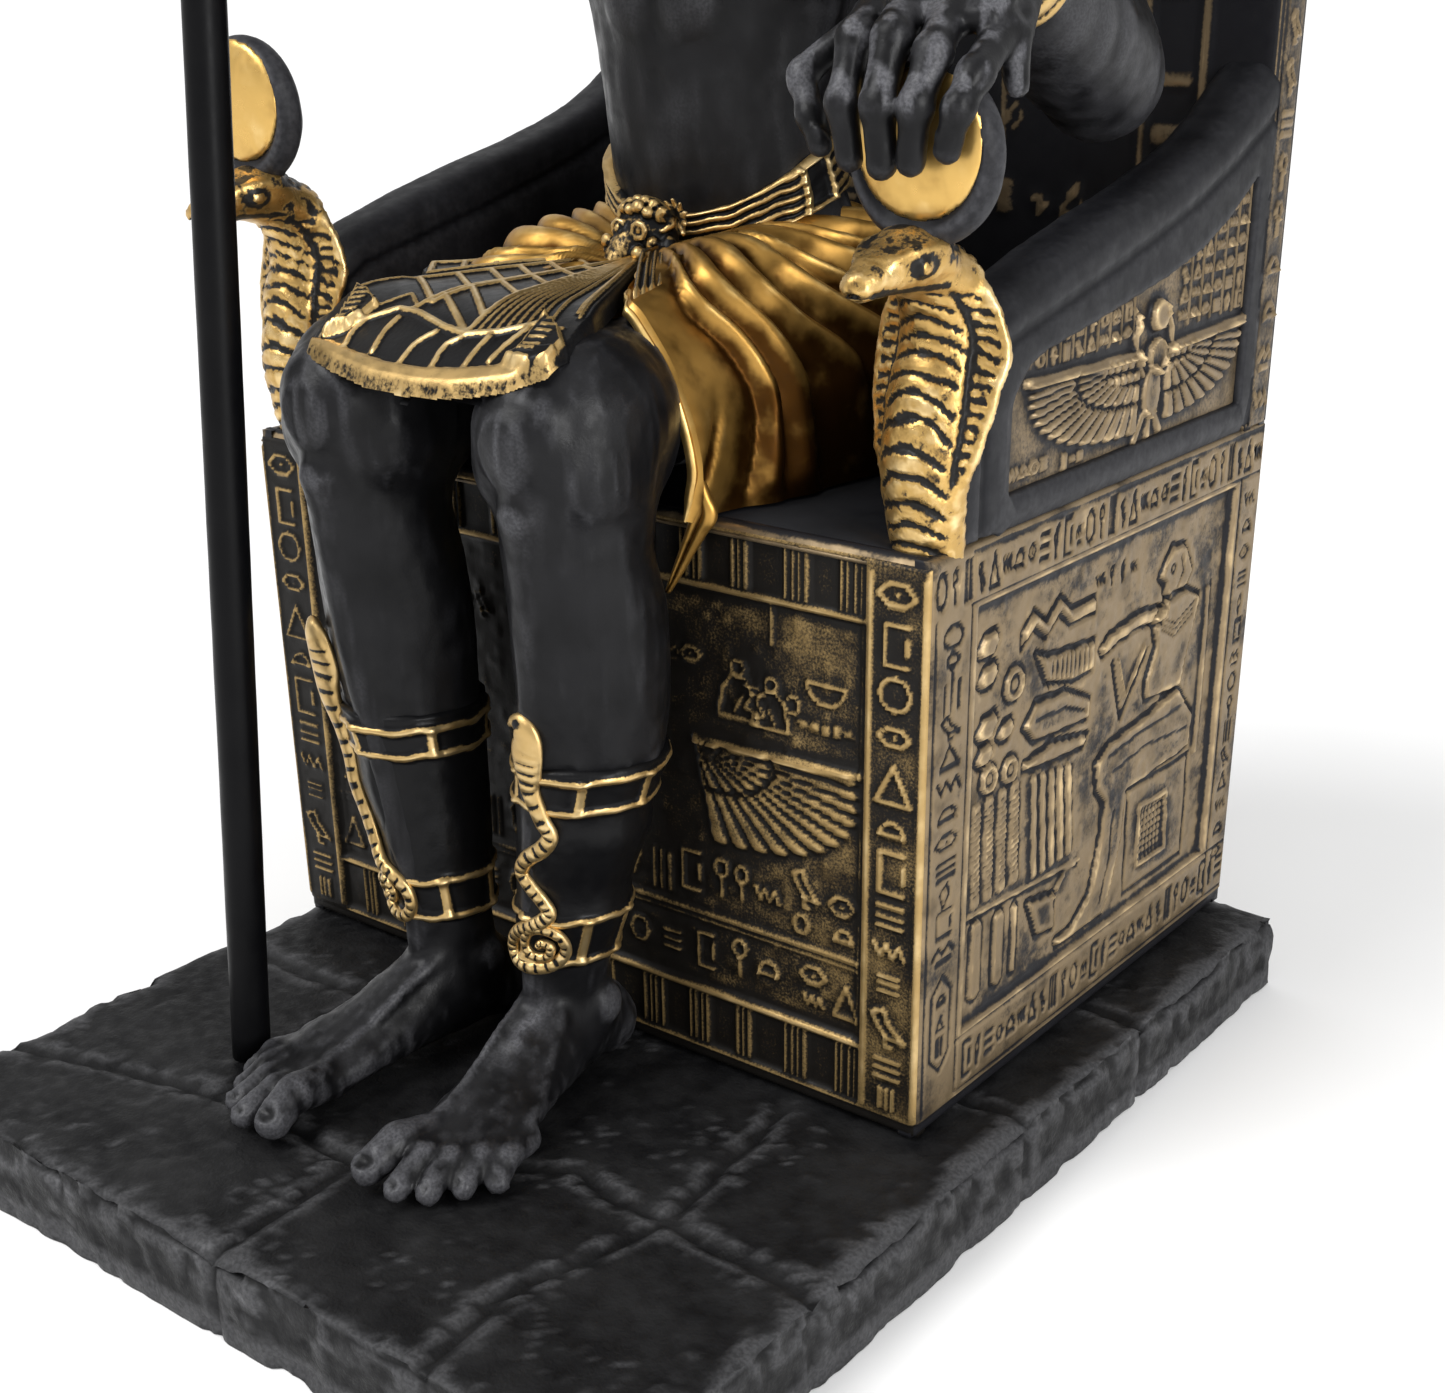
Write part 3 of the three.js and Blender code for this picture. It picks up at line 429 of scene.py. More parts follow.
SKIN = black_paint("skin_black_paint")
STONE = black_paint("plinth_rough_black", (0.004, 0.004, 0.0045), (0.012, 0.012, 0.0125), (0.2, 0.2, 0.21), 0.6,
                    (0.42, 0.7), 0.25, 0.6)
SATIN = black_paint("staff_satin_black", (0.002, 0.002, 0.0025), (0.003, 0.003, 0.0035), (0.05, 0.05, 0.05), 0.6,
                    (0.34, 0.42), 0.02, 0.2, 0.1)
THRONE_BLACK = black_paint("throne_black_paint", (0.004, 0.0042, 0.0055), (0.007, 0.0072, 0.009), grain=0.9,
                           rough=(0.42, 0.55), depth=0.04)
CLOTH_GOLD = gilding("cloth_antique_gold", (0.06, 0.024, 0.004), (0.43, 0.24, 0.058), (0.88, 0.62, 0.24),
                     black=(0.004, 0.003, 0.002), speck=1.1, cover=(-0.4, 0.05), rough=(0.34, 0.44), depth=0.02,
                     patchy=0.3)
TRIM_GOLD = gilding("trim_gold", (0.1, 0.06, 0.02), (0.52, 0.35, 0.14), (0.85, 0.65, 0.34),
                    black=(0.004, 0.004, 0.0045), rough=(0.28, 0.42))
CARVED_GOLD = gilding("carved_bronze_gold", (0.045, 0.033, 0.02), (0.23, 0.17, 0.1), (0.66, 0.49, 0.27),
                      black=(0.01, 0.01, 0.012), speck=0.6, cover=(0.18, 0.48), rough=(0.36, 0.52), metal=0.7,
                      patchy=0.5)
FRONT_GOLD = gilding("carved_dark_gold", (0.08, 0.05, 0.02), (0.4, 0.27, 0.11), (0.78, 0.58, 0.3),
                     black=(0.007, 0.006, 0.005), speck=0.35, cover=(0.3, 0.72), rough=(0.36, 0.55), metal=0.8,
                     patchy=0.6)
COBRA_GOLD = gilding("cobra_gold", (0.14, 0.075, 0.02), (0.52, 0.33, 0.11), (0.92, 0.7, 0.36), speck=0.45,
                     cover=(0.22, 0.56), rough=(0.26, 0.42), depth=0.12)
DISC_GOLD = gilding("disc_gold", (0.3, 0.16, 0.04), (0.68, 0.43, 0.13), (0.95, 0.72, 0.34), speck=2.2,
                    cover=(0.0, 0.2), rough=(0.26, 0.4))


# Shallow relief, drawn on a grid that stands on a face of the throne
def face(origin, u, v, out):
    return [np.array(part, float) for part in (origin, u, v, out)]


FRONT = face((0, 0, 0), (1, 0, 0), (0, 0, 1), (0, -1, 0))
REAR = face((0, THRONE_DEPTH, 0), (-1, 0, 0), (0, 0, 1), (0, 1, 0))
BACKREST = face((0, BACK, 0), (1, 0, 0), (0, 0, 1), (0, -1, 0))


def side_face(s):
    return face((s * HALF, 0, 0), (0, 1, 0), (0, 0, 1), (s, 0, 0))


class Relief:
    """A grid of heights in millimetres that strokes and filled outlines raise or cut."""

    def __init__(self, u0, u1, v0, v1, step):
        columns = int(round((u1 - u0) / step)) + 1
        rows = int(round((v1 - v0) / step)) + 1
        self.us = np.linspace(u0, u1, columns)
        self.vs = np.linspace(v0, v1, rows)
        self.step = step
        self.u, self.v = np.meshgrid(self.us, self.vs)
        self.height = np.zeros_like(self.u)
        self.tone = np.zeros_like(self.u)

    def window(self, u0, u1, v0, v1):
        i = np.clip(np.searchsorted(self.vs, (v0, v1)), 0, len(self.vs))
        j = np.clip(np.searchsorted(self.us, (u0, u1)), 0, len(self.us))
        return slice(i[0], i[1]), slice(j[0], j[1])

    def near_path(self, path, pad, closed=False):
        """The window round a path, and the distance of each grid point in it from the path."""
        path = np.array(path, float)
        (u0, v0), (u1, v1) = path.min(0) - pad, path.max(0) + pad
        place = self.window(u0, u1, v0, v1)
        u, v = self.u[place], self.v[place]
        best = np.full(u.shape, FAR)
        ends = list(zip(path, np.roll(path, -1, 0))) if closed else list(zip(path, path[1:]))
        inside = np.zeros(u.shape, bool)
        for (au, av), (bu, bv) in ends:
            du, dv = bu - au, bv - av
            t = np.clip(((u - au) * du + (v - av) * dv) / max(du * du + dv * dv, 1e-9), 0, 1)
            best = np.minimum(best, np.hypot(u - au - t * du, v - av - t * dv))
            if closed and av != bv:
                inside ^= ((av > v) != (bv > v)) & (u < au + (v - av) * du / dv)
        return place, best, inside

    def line(self, path, width, height=0.5, edge=0.3, closed=False, paint=0.0):
        """A rounded stroke, raised, or cut where its height is below zero."""
        place, distance, _ = self.near_path(path, width / 2 + edge + self.step, closed)
        amount = smooth(width / 2 + edge / 2, width / 2 - edge / 2, distance)
        self.lay(place, amount, height, paint)

    def fill(self, path, height=0.5, edge=0.4, paint=0.0):
        place, distance, inside = self.near_path(path, edge + self.step, True)
        amount = smooth(edge / 2, -edge / 2, np.where(inside, -distance, distance))
        self.lay(place, amount, height, paint)

    def lay(self, place, amount, height, paint=0.0):
        """Adds a form to the heights, and its paint where that is more than lies there."""
        here = self.height[place]
        if not paint:
            self.height[place] = here + amount * height
            return
        self.height[place] = np.where(here > 0.6, here + amount * height, np.maximum(here, amount * height))
        self.tone[place] = np.maximum(self.tone[place], amount * paint)

    def level(self, path, height, edge=0.4, closed=True):
        """Brings the ground inside an outline to one height."""
        place, distance, inside = self.near_path(path, edge + self.step, closed)
        amount = smooth(edge / 2, -edge / 2, np.where(inside, -distance, distance))
        self.height[place] = mix(self.height[place], height, amount)

    def ring(self, centre, radius, width=0.5, height=0.5, squeeze=1.0):
        self.line(arc(centre, radius, 0, 360, squeeze), width, height, closed=True)

    def dot(self, centre, radius, height=0.6, squeeze=1.0):
        self.fill(arc(centre, radius, 0, 345, squeeze, 14), height, 0.5)

    def blurred(self, size):
        """The heights after a box blur, run twice."""
        reach = max(1, int(round(size / self.step / 2)))
        out = self.height
        for _ in range(2):
            for axis in (0, 1):
                pad = [(reach + 1, reach) if k == axis else (0, 0) for k in range(2)]
                total = np.cumsum(np.pad(out, pad, mode="edge"), axis)
                count = 2 * reach + 1
                out = (np.take(total, range(count, total.shape[axis]), axis)
                       - np.take(total, range(total.shape[axis] - count), axis)) / count
        return out

    def gold(self, ground=0.42, gain=1.0, size=1.6):
        return np.clip(ground + gain * (self.height - self.blurred(size)) + 0.12 * (self.height > 0.2) + self.tone, 0, 1)

    def piece(self, name, on, node, material, keep=None, round_edge=0.7, gold=None, sink=2.0):
        """Builds the grid as a plate that stands on a face, with its border turned inwards."""
        border = np.minimum.reduce([self.u - self.us[0], self.us[-1] - self.u, self.v - self.vs[0],
                                    self.vs[-1] - self.v])
        fall = np.clip(1 - border / max(round_edge, 1e-6), 0, 1) ** 2 * round_edge if round_edge else 0
        height = self.height - fall
        origin, u_way, v_way, out = on
        flat = self.u[..., None] * u_way + self.v[..., None] * v_way + origin
        points = (flat + height[..., None] * out).reshape(-1, 3)
        rows, columns = self.u.shape
        faces = grid_faces(rows, columns)
        if keep is not None:
            kept = keep(self.u, self.v).reshape(-1)
            faces = faces[kept[faces].all(1)]
        else:
            rim = np.concatenate([np.arange(columns), np.arange(1, rows) * columns + columns - 1,
                                  (rows - 1) * columns + np.arange(columns - 2, -1, -1),
                                  np.arange(rows - 2, 0, -1) * columns])
            sunk = points[rim] - sink * out
            start = len(points)
            points = np.vstack([points, sunk])
            k = np.arange(len(rim))
            nxt = (k + 1) % len(rim)
            faces = np.vstack([faces, np.stack([rim[nxt], rim[k], start + k, start + nxt], 1)])
        turned = np.dot(np.cross(u_way, v_way), out) < 0
        faces = faces[:, ::-1] if turned else faces
        amount = (self.gold() if gold is None else gold).reshape(-1)
        amount = np.concatenate([amount, np.zeros(len(points) - len(amount))])
        used = np.unique(faces)
        order = np.full(len(points), -1)
        order[used] = np.arange(len(used))
        return mesh_piece(name, points[used], order[faces], node, material, gold=amount[used])


def arc(centre, radius, start, end, squeeze=1.0, count=18):
    turn = np.radians(np.linspace(start, end, count))
    return np.stack([centre[0] + radius * np.cos(turn), centre[1] + radius * squeeze * np.sin(turn)], 1)


def rectangle(u0, u1, v0, v1):
    return [(u0, v0), (u1, v0), (u1, v1), (u0, v1)]


# Plain marks for the rows of signs, each in a unit square. None of them is a letter.
MARKS = (
    [[(-0.3, -0.5), (-0.3, 0.5)], [(0.0, -0.5), (0.0, 0.5)], [(0.3, -0.5), (0.3, 0.5)]],
    [[(-0.5, 0), (-0.2, 0.25), (0.2, 0.25), (0.5, 0), (0.2, -0.25), (-0.2, -0.25), (-0.5, 0)], [(0, 0), (0.02, 0)]],
    [arc((0, 0), 0.4, 0, 360, 1, 13)],
    [[(-0.5, 0.2), (-0.3, -0.2), (-0.1, 0.2), (0.1, -0.2), (0.3, 0.2), (0.5, -0.2)]],
    [[(0.3, 0.5), (-0.3, 0.5), (-0.3, -0.5), (0.3, -0.5)], [(0.3, 0.2), (0.3, -0.2)]],
    [[(-0.4, 0.3), (-0.1, 0.4), (0.0, 0.1), (0.4, -0.3), (0.0, -0.25), (-0.25, 0.0), (-0.4, 0.3)],
     [(-0.05, -0.25), (-0.05, -0.5), (0.1, -0.5)]],
    [[(-0.4, 0.3), (0.4, 0.3)], [(-0.4, 0), (0.4, 0)], [(-0.4, -0.3), (0.4, -0.3)]],
    [[(0, -0.5), (0, 0)], arc((0, 0.25), 0.24, 0, 360, 1, 11)],
    [[(-0.4, -0.2), (0.4, -0.2)], arc((0, -0.2), 0.4, 0, 180, 1, 9)],
    [[(-0.45, -0.1), (-0.2, 0.2), (0.0, -0.1), (0.25, 0.2), (0.45, -0.1)], [(-0.3, -0.4), (0.3, -0.4)]],
    [[(-0.4, -0.4), (0.0, 0.4), (0.4, -0.4), (-0.4, -0.4)]],
    [[(-0.05, -0.5), (-0.2, 0.2), (0.1, 0.5), (0.2, 0.1), (-0.05, -0.5)]],
)


def mark(relief, kind, u, v, size, height=0.5, turn=0.0, width=0.13, wide=0.85):
    """One mark, in raised strokes."""
    for stroke in MARKS[kind % len(MARKS)]:
        path = [(u + size * wide * (a * math.cos(turn) - b * math.sin(turn)),
                 v + size * (a * math.sin(turn) + b * math.cos(turn))) for a, b in stroke]
        relief.line(path, max(width * size, 0.5), height, 0.3)


def mark_row(relief, start, end, count, size, first=0, stride=5, height=0.5, wide=0.85):
    for k in range(count):
        t = (k + 0.5) / count
        tall = size * (1.0, 0.8, 0.92, 0.7)[k % 4]
        mark(relief, first + k * stride, mix(start[0], end[0], t), mix(start[1], end[1], t), tall, height, wide=wide)


def wing(relief, root, span, drop, way, feathers=13, height=0.55, inner=0.46, lean=0.0, lace=0.0):
    """A wing in two tiers of feathers that hangs from a straight rib, with scales by the body if asked."""
    ru, rv = root
    place = relief.window(min(ru, ru + way * span) - 2, max(ru, ru + way * span) + 2, rv - drop - 3, rv + 3)
    down = (rv + 0.03 * way * (relief.u[place] - ru) - relief.v[place]) / drop
    across = way * (relief.u[place] - ru) / span - lean * np.clip(down, 0, 1)
    a, b = np.clip(across, 0, 2), np.clip(down, 0, 2)
    reach = (a ** 2.6 + b ** 2.6) ** (1 / 2.6)
    turn = np.arctan2(b, a) / (math.pi / 2)
    edge = np.abs(np.sin(turn * np.where(reach > inner, feathers, feathers * 0.7) * math.pi))
    scallop = 0.05 * (1 - edge)
    feather = 0.1 + 0.9 * smooth(0.1, 0.65, edge)
    if lace:
        cell = np.abs(np.sin(across * span * 1.7) * np.sin(down * drop * 1.7))
        feather = np.where(reach < lace, smooth(0.1, 0.5, cell), feather)
    tier = 1 - 0.9 * np.exp(-((reach + scallop - inner) / 0.022) ** 2)
    inside = smooth(0.0, 0.04, 1 - scallop - reach) * smooth(-0.02, 0.02, down) * smooth(-0.02, 0.02, across)
    relief.lay(place, inside * feather * tier, height)
    relief.line([root, (ru + way * span, rv + 0.03 * span)], 1.1, height, 0.4)


# Plinth
JOINTS = [
    [(4, -76), (3, -60), (2, -48)], [(2, -48), (14, -40), (29, -30)], [(2, -48), (-12, -46), (-24, -47)],
    [(-24, -47), (-43, -51), (-65, -58)], [(29, -30), (36, -34), (44, -33)], [(44, -33), (38, -57), (41, -76)],
    [(44, -33), (58, -34), (73, -37)], [(44, -33), (43, -20), (40, -3)], [(73, 14), (58, 14)], [(73, 48), (58, 48)],
    [(-24, -47), (-30, -25), (-27, -2)], [(-62, -14), (-44, -16), (-29, -14)],
]


def joint_distance(x, y):
    """The distance of each point from the nearest joint between flagstones."""
    wobble = noise(np.stack([x, y], 1), 7, 3) * 0.9
    best = np.full(len(x), FAR)
    for path in JOINTS:
        for (ax, ay), (bx, by) in zip(path, path[1:]):
            dx, dy = bx - ax, by - ay
            t = np.clip(((x - ax) * dx + (y - ay) * dy) / (dx * dx + dy * dy), 0, 1)
            best = np.minimum(best, np.hypot(x - ax - t * dx + wobble, y - ay - t * dy + wobble))
    return best


def weather(points):
    """Chips, joints and pits of the rough slab, as an offset for each of its points."""
    x, y, z = points.T
    out = np.zeros_like(points)
    border = np.minimum.reduce([x - PLINTH["left"], PLINTH["right"] - x, y - PLINTH["front"], PLINTH["back"] - y])
    flat = np.stack([x, y], 1)
    edge_top = np.maximum(np.clip(border, 0, None), -z)
    chip = 0.45 + 1.5 * smooth(0.05, 0.6, noise(flat, 8, 5)) + 0.7 * smooth(0, 0.6, noise(points, 3.2, 8))
    worn = chip * np.exp(-(edge_top / 1.6) ** 2)
    depth = 1.15 * np.exp(-(joint_distance(x, y) / 0.85) ** 2)
    on_top = smooth(-2.5, -0.4, z)
    pits = 0.24 * smooth(0.25, 0.7, noise(points, 1.5, 11)) + 0.16 * rough_noise(points, 3.4, 3, 21)
    swell = 0.35 * noise(flat, 17, 9)
    out[:, 2] -= (worn * 0.8 + on_top * (depth + pits - 0.25 * swell + 0.3))
    inward = np.stack([np.where(x - PLINTH["left"] < 1e-6, 1.0, 0) - np.where(PLINTH["right"] - x < 1e-6, 1.0, 0),
                       np.where(y - PLINTH["front"] < 1e-6, 1.0, 0) - np.where(PLINTH["back"] - y < 1e-6, 1.0, 0)], 1)
    push = 0.35 + worn + 0.7 * depth + 0.5 * np.clip(rough_noise(points, 5, 4, 31), -1, 1) ** 2
    push += 0.9 * smooth(0.2, 0.7, noise(points, 9, 37)) + 0.5 * smooth(0.1, 0.6, noise(points, 2.6, 41))
    out[:, :2] += inward * push[:, None]
    bottom = z < -PLINTH["thick"] + 1e-6
    out[bottom, 2] = 0
    return out


def plinth():
    step = 1.0
    xs = np.linspace(PLINTH["left"], PLINTH["right"], int(132 / step))
    ys = np.linspace(PLINTH["front"], PLINTH["back"], int(167 / step))
    gx, gy = np.meshgrid(xs, ys)
    top = np.stack([gx.ravel(), gy.ravel(), np.zeros(gx.size)], 1)
    rows, columns = gx.shape
    rim = np.concatenate([np.arange(columns), np.arange(1, rows) * columns + columns - 1,
                          (rows - 1) * columns + np.arange(columns - 2, -1, -1),
                          np.arange(rows - 2, 0, -1) * columns])
    levels = -np.array([0.9, 1.9, 3, 4.2, 5.4, 6.6, 7.8, 9, 10.2, 11.4, 12.3, PLINTH["thick"]])
    skirt = np.concatenate([top[rim] + (0, 0, level) for level in levels])
    points = np.vstack([top, skirt, [[4, 10, -PLINTH["thick"]]]])
    count = len(rim)
    loops = [rim] + [len(top) + k * count + np.arange(count) for k in range(len(levels))]
    walls = [np.stack([a, b, np.roll(b, -1), np.roll(a, -1)], 1) for a, b in zip(loops, loops[1:])]
    base = [[int(a), len(points) - 1, int(b)] for a, b in zip(loops[-1], np.roll(loops[-1], -1))]
    faces = grid_faces(rows, columns).tolist() + np.vstack(walls).tolist() + base
    moved = points + weather(points)
    grit = smooth(0.3, 0.75, noise(points, 1.1, 51)) * smooth(-0.1, 0.5, noise(points, 14, 53))
    wear = 0.4 * smooth(0.3, 1.0, ridges_of(moved, faces, 4, 0.25)) + 0.45 * grit
    mesh_piece("plinth_slab", moved, faces, "plinth", STONE, wear=wear)


# Throne
def core_block():
    """The black body of the throne behind its carved faces."""
    inset = 1.7
    boxes = [((-HALF + inset, inset, 0.31), (HALF - inset, THRONE_DEPTH - inset, SEAT - 0.05)),
             ((-HALF + inset, BACK + inset, SEAT - 1), (HALF - inset, THRONE_DEPTH - inset, BACK_TOP + 1))]
    for k, (low, high) in enumerate(boxes):
        corners = np.array(list(itertools.product(*zip(low, high))))
        faces = [[0, 1, 3, 2], [4, 6, 7, 5], [0, 4, 5, 1], [2, 3, 7, 6], [0, 2, 6, 4], [1, 5, 7, 3]]
        mesh_piece(f"throne_core_{k}", corners, faces, "throne", THRONE_BLACK, wear=np.zeros(8))


def seat_top():
    """The black seat with its rounded gold lip in front."""
    step = 1.3
    us = np.arange(-HALF + 0.5, HALF - 0.4, step)
    profile = [(2.4, -1.2), (1.4, -0.1), (0.9, 0), (1.6, 0), (2.4, -0.05)]
    depths = np.concatenate([[0.1, 0.0, 0.15, 0.6, 1.2, 2.0, 2.6, 3.0], np.arange(4.5, 86, 1.6)])
    heights = along([(0, 78.2), (0.01, 78.2), (1, 80), (2.2, 80), (3.0, 79.3), (5, 79.4), (90, 79.4)], depths)
    heights[0] = 78.5
    grid = np.array([[(u, d, h) for u in us] for d, h in zip(depths, heights)])
    points = grid.reshape(-1, 3)
    points[:, 2] -= 0.06 * (1 + noise(points, 4, 2)) * (points[:, 1] > 3)
    gold = np.where(points[:, 1] < 0.9, 0.52 + 0.3 * noise(points, 2.2, 4), 0.0)
    faces = grid_faces(len(depths), len(us))
    mesh_piece("seat_top", points, faces, "throne", CARVED_GOLD, gold=gold)


def bar_cells(relief, u0, u1, v0, v1, groups):
    """A strip of upright bars in groups of three or four, with wide black cells between."""
    relief.level(rectangle(u0, u1, v0, v1), -0.75)
    pitch = (u1 - u0) / groups
    for k in range(groups):
        bars = 4 if k % 3 else 3
        start = u0 + k * pitch + 0.55 * pitch
        for j in range(bars):
            u = start + j * 1.05
            relief.line([(u, v0 + 0.5), (u, v1 - 0.5)], 0.55, 0.62, 0.3)


# The signs of a corner column from the top down: kind, height and size
COLUMN_SIGNS = ((1, 75.2, 5.4), (4, 68.8, 5.2), (2, 62.6, 5.4), (1, 57.0, 4.6), (10, 50.6, 6.2), (8, 44.6, 4.4), (4, 38.6, 5.6),
                (6, 32.4, 4.6), (3, 27.4, 4.6), (6, 22.6, 3.6), (5, 16.2, 6.0), (6, 9.8, 4.6), (0, 5.4, 3.0))


def pilaster(relief, u):
    """A column of signs between two fine lines, beside the bright corner."""
    for side in (-1, 1):
        relief.line([(u + side * 3.9, 3.5), (u + side * 3.9, 77.5)], 0.5, 0.35, 0.3)
    for kind, v, size in COLUMN_SIGNS:
        mark(relief, kind, u, v, size, 0.45, 0, 0.1, 1.05)
    corner = u + math.copysign(4.4, u)
    relief.line([(corner, 3), (corner, 78.5)], 0.7, 0.2, 0.3, paint=0.3)


def seated_outline(relief, u, v, size, way):
    """A small generic kneeling figure in outline."""
    body = [(-0.42, -0.5), (0.42, -0.5), (0.38, -0.3), (0.12, -0.28), (0.3, -0.02), (0.16, 0.2), (-0.12, 0.26),
            (-0.34, 0.0), (-0.42, -0.5)]
    relief.line([(u + way * size * a, v + size * b) for a, b in body], 0.5, 0.45)
    relief.ring((u - way * 0.02 * size, v + 0.38 * size), 0.13 * size, 0.45, 0.45)
    relief.line([(u + way * 0.1 * size, v + 0.1 * size), (u + way * 0.4 * size, v + 0.12 * size)], 0.45, 0.4)
    relief.line([(u - way * 0.1 * size, v - 0.4 * size), (u + way * 0.06 * size, v - 0.1 * size)], 0.4, 0.35)


def front_signs(relief, s):
    """Two kneeling figures and a bowl over a wing, then rows of signs, on one half of the front."""
    seated_outline(relief, s * 30.3, 57.6, 8.0, s)
    seated_outline(relief, s * 35.4, 56.8, 7.0, -s)
    relief.ring((s * 39.0, 57.4), 1.1, 0.45, 0.45)
    relief.line([(s * (44.2 + 3.0 * math.cos(a)), 61.2 + 2.8 * math.sin(a)) for a in np.linspace(math.pi, 2 * math.pi, 9)]
                + [(s * 41.2, 61.2)], 0.45, 0.45)
    mark_row(relief, (s * 40, 55.2), (s * 48.5, 55.4), 5, 1.6, 3, 3, 0.35)
    relief.line([(s * 35.6, 65), (s * 35.6, 70)], 0.5, 0.35)
    mark_row(relief, (s * 14, 61), (s * 24, 61), 3, 4.2, 5, 4, 0.35)
    wing(relief, (s * 22.9, 49.4), 26.8, 15.0, s, 12, 0.7, 0.48, 0.1)
    for kind, u, v, size in ((0, 16.4, 28, 5.6), (4, 21.6, 29.4, 5.8), (7, 27, 29.8, 5.4), (7, 30.4, 29.8, 5.0),
                             (3, 34.8, 29.2, 4.6), (5, 41.2, 32.2, 5.8), (1, 47.0, 31.0, 4.8), (2, 40.4, 26.6, 3.4),
                             (8, 47.4, 26.8, 4.0), (11, 11.4, 29, 5.6), (10, 6.4, 29, 5.0)):
        mark(relief, kind, s * u, v, size, 0.45, 0, 0.1)
    relief.line([(s * 3, 23.4), (s * 49.8, 23.4)], 0.5, 0.5)
    relief.line([(s * 3, 22.2), (s * 49.8, 22.2)], 0.4, 0.3)
    for kind, u, v, size in ((2, 12, 17.6, 4.6), (6, 18, 17.6, 4.2), (4, 24, 17.6, 5.2), (7, 30, 18.4, 5.4),
                             (8, 35, 18.2, 4.6), (1, 42.4, 19.4, 4.8), (3, 42.6, 15.6, 3.6), (10, 47.9, 17.0, 5.8),
                             (5, 6.4, 17.6, 4.6)):
        mark(relief, kind, s * u, v, size, 0.45, 0, 0.1)
    relief.line([(s * 50, 12.6), (s * 50, 69.8)], 0.5, 0.4)


def front_face():
    relief = Relief(-HALF + 0.3, HALF - 0.3, GAP + 0.05, 79.2, 0.43)
    edge = HALF - POST
    relief.level(rectangle(-edge, edge, PANEL_LOW, PANEL_HIGH), -SUNK, 0.7)
    flat = np.stack([relief.u.ravel(), relief.v.ravel()], 1)
    shape = relief.u.shape
    relief.height += 0.16 * np.clip(noise(flat, 1.6, 5), 0, 1).reshape(shape) * (relief.height < -0.9)
    bar_cells(relief, -edge, edge, PANEL_HIGH + 0.9, 78.6, 12)
    bar_cells(relief, -edge, edge, 2.9, PANEL_LOW - 0.9, 12)
    for s in (-1, 1):
        pilaster(relief, s * (HALF - POST / 2))
        front_signs(relief, s)
    kerb = relief.v < 2.5
    relief.height[kerb] = -0.25
    cells = (relief.v > PANEL_HIGH + 0.5) | (relief.v < PANEL_LOW - 0.5)
    cells &= np.abs(relief.u) < edge
    blotch = rough_noise(flat, 7, 3, 15).reshape(shape)
    # The sunk ground's gold is a painted shade: dark over the middle and the figure's right half, lighter towards the
    # figure's left corner.
    ground = mix(0.22, 0.42, smooth(6, 50, relief.u)) + 0.08 * blotch
    gold = relief.gold(np.where(cells, 0.3, ground), 0.95)
    gold[kerb] = 0
    relief.piece("front_face", FRONT, "throne", FRONT_GOLD, gold=gold)


def rimmed(relief, path, height=0.4):
    """A low raised shape with a dark groove round it."""
    relief.fill(path, height)
    relief.line(path, 0.75, -0.65, 0.35, closed=True)


def moved(shape, u, v, size):
    return [(u + a * size, v + b * size) for a, b in shape]


LEAF = [(-0.5, -0.1), (-0.2, 0.3), (0.35, 0.35), (0.5, 0.05), (0.2, -0.3), (-0.25, -0.32)]
VESSELS = [
    [(27.5, 61.2), (31, 59.8), (44, 58.6), (43.8, 54.2), (38, 54.2), (30.7, 56)],
    [(25.1, 51.2), (28.2, 54.2), (36.6, 53.4), (43.6, 50.2), (43.3, 47.1), (33.1, 47.9), (28, 48.4)],
    [(25.7, 46.1), (33.2, 46.9), (43.6, 44.9), (42.3, 43.2), (33.5, 43.9), (25.8, 44.7)],
    [(28.5, 24.4), (36.4, 23), (36.9, 17), (31.8, 17.6)],
]


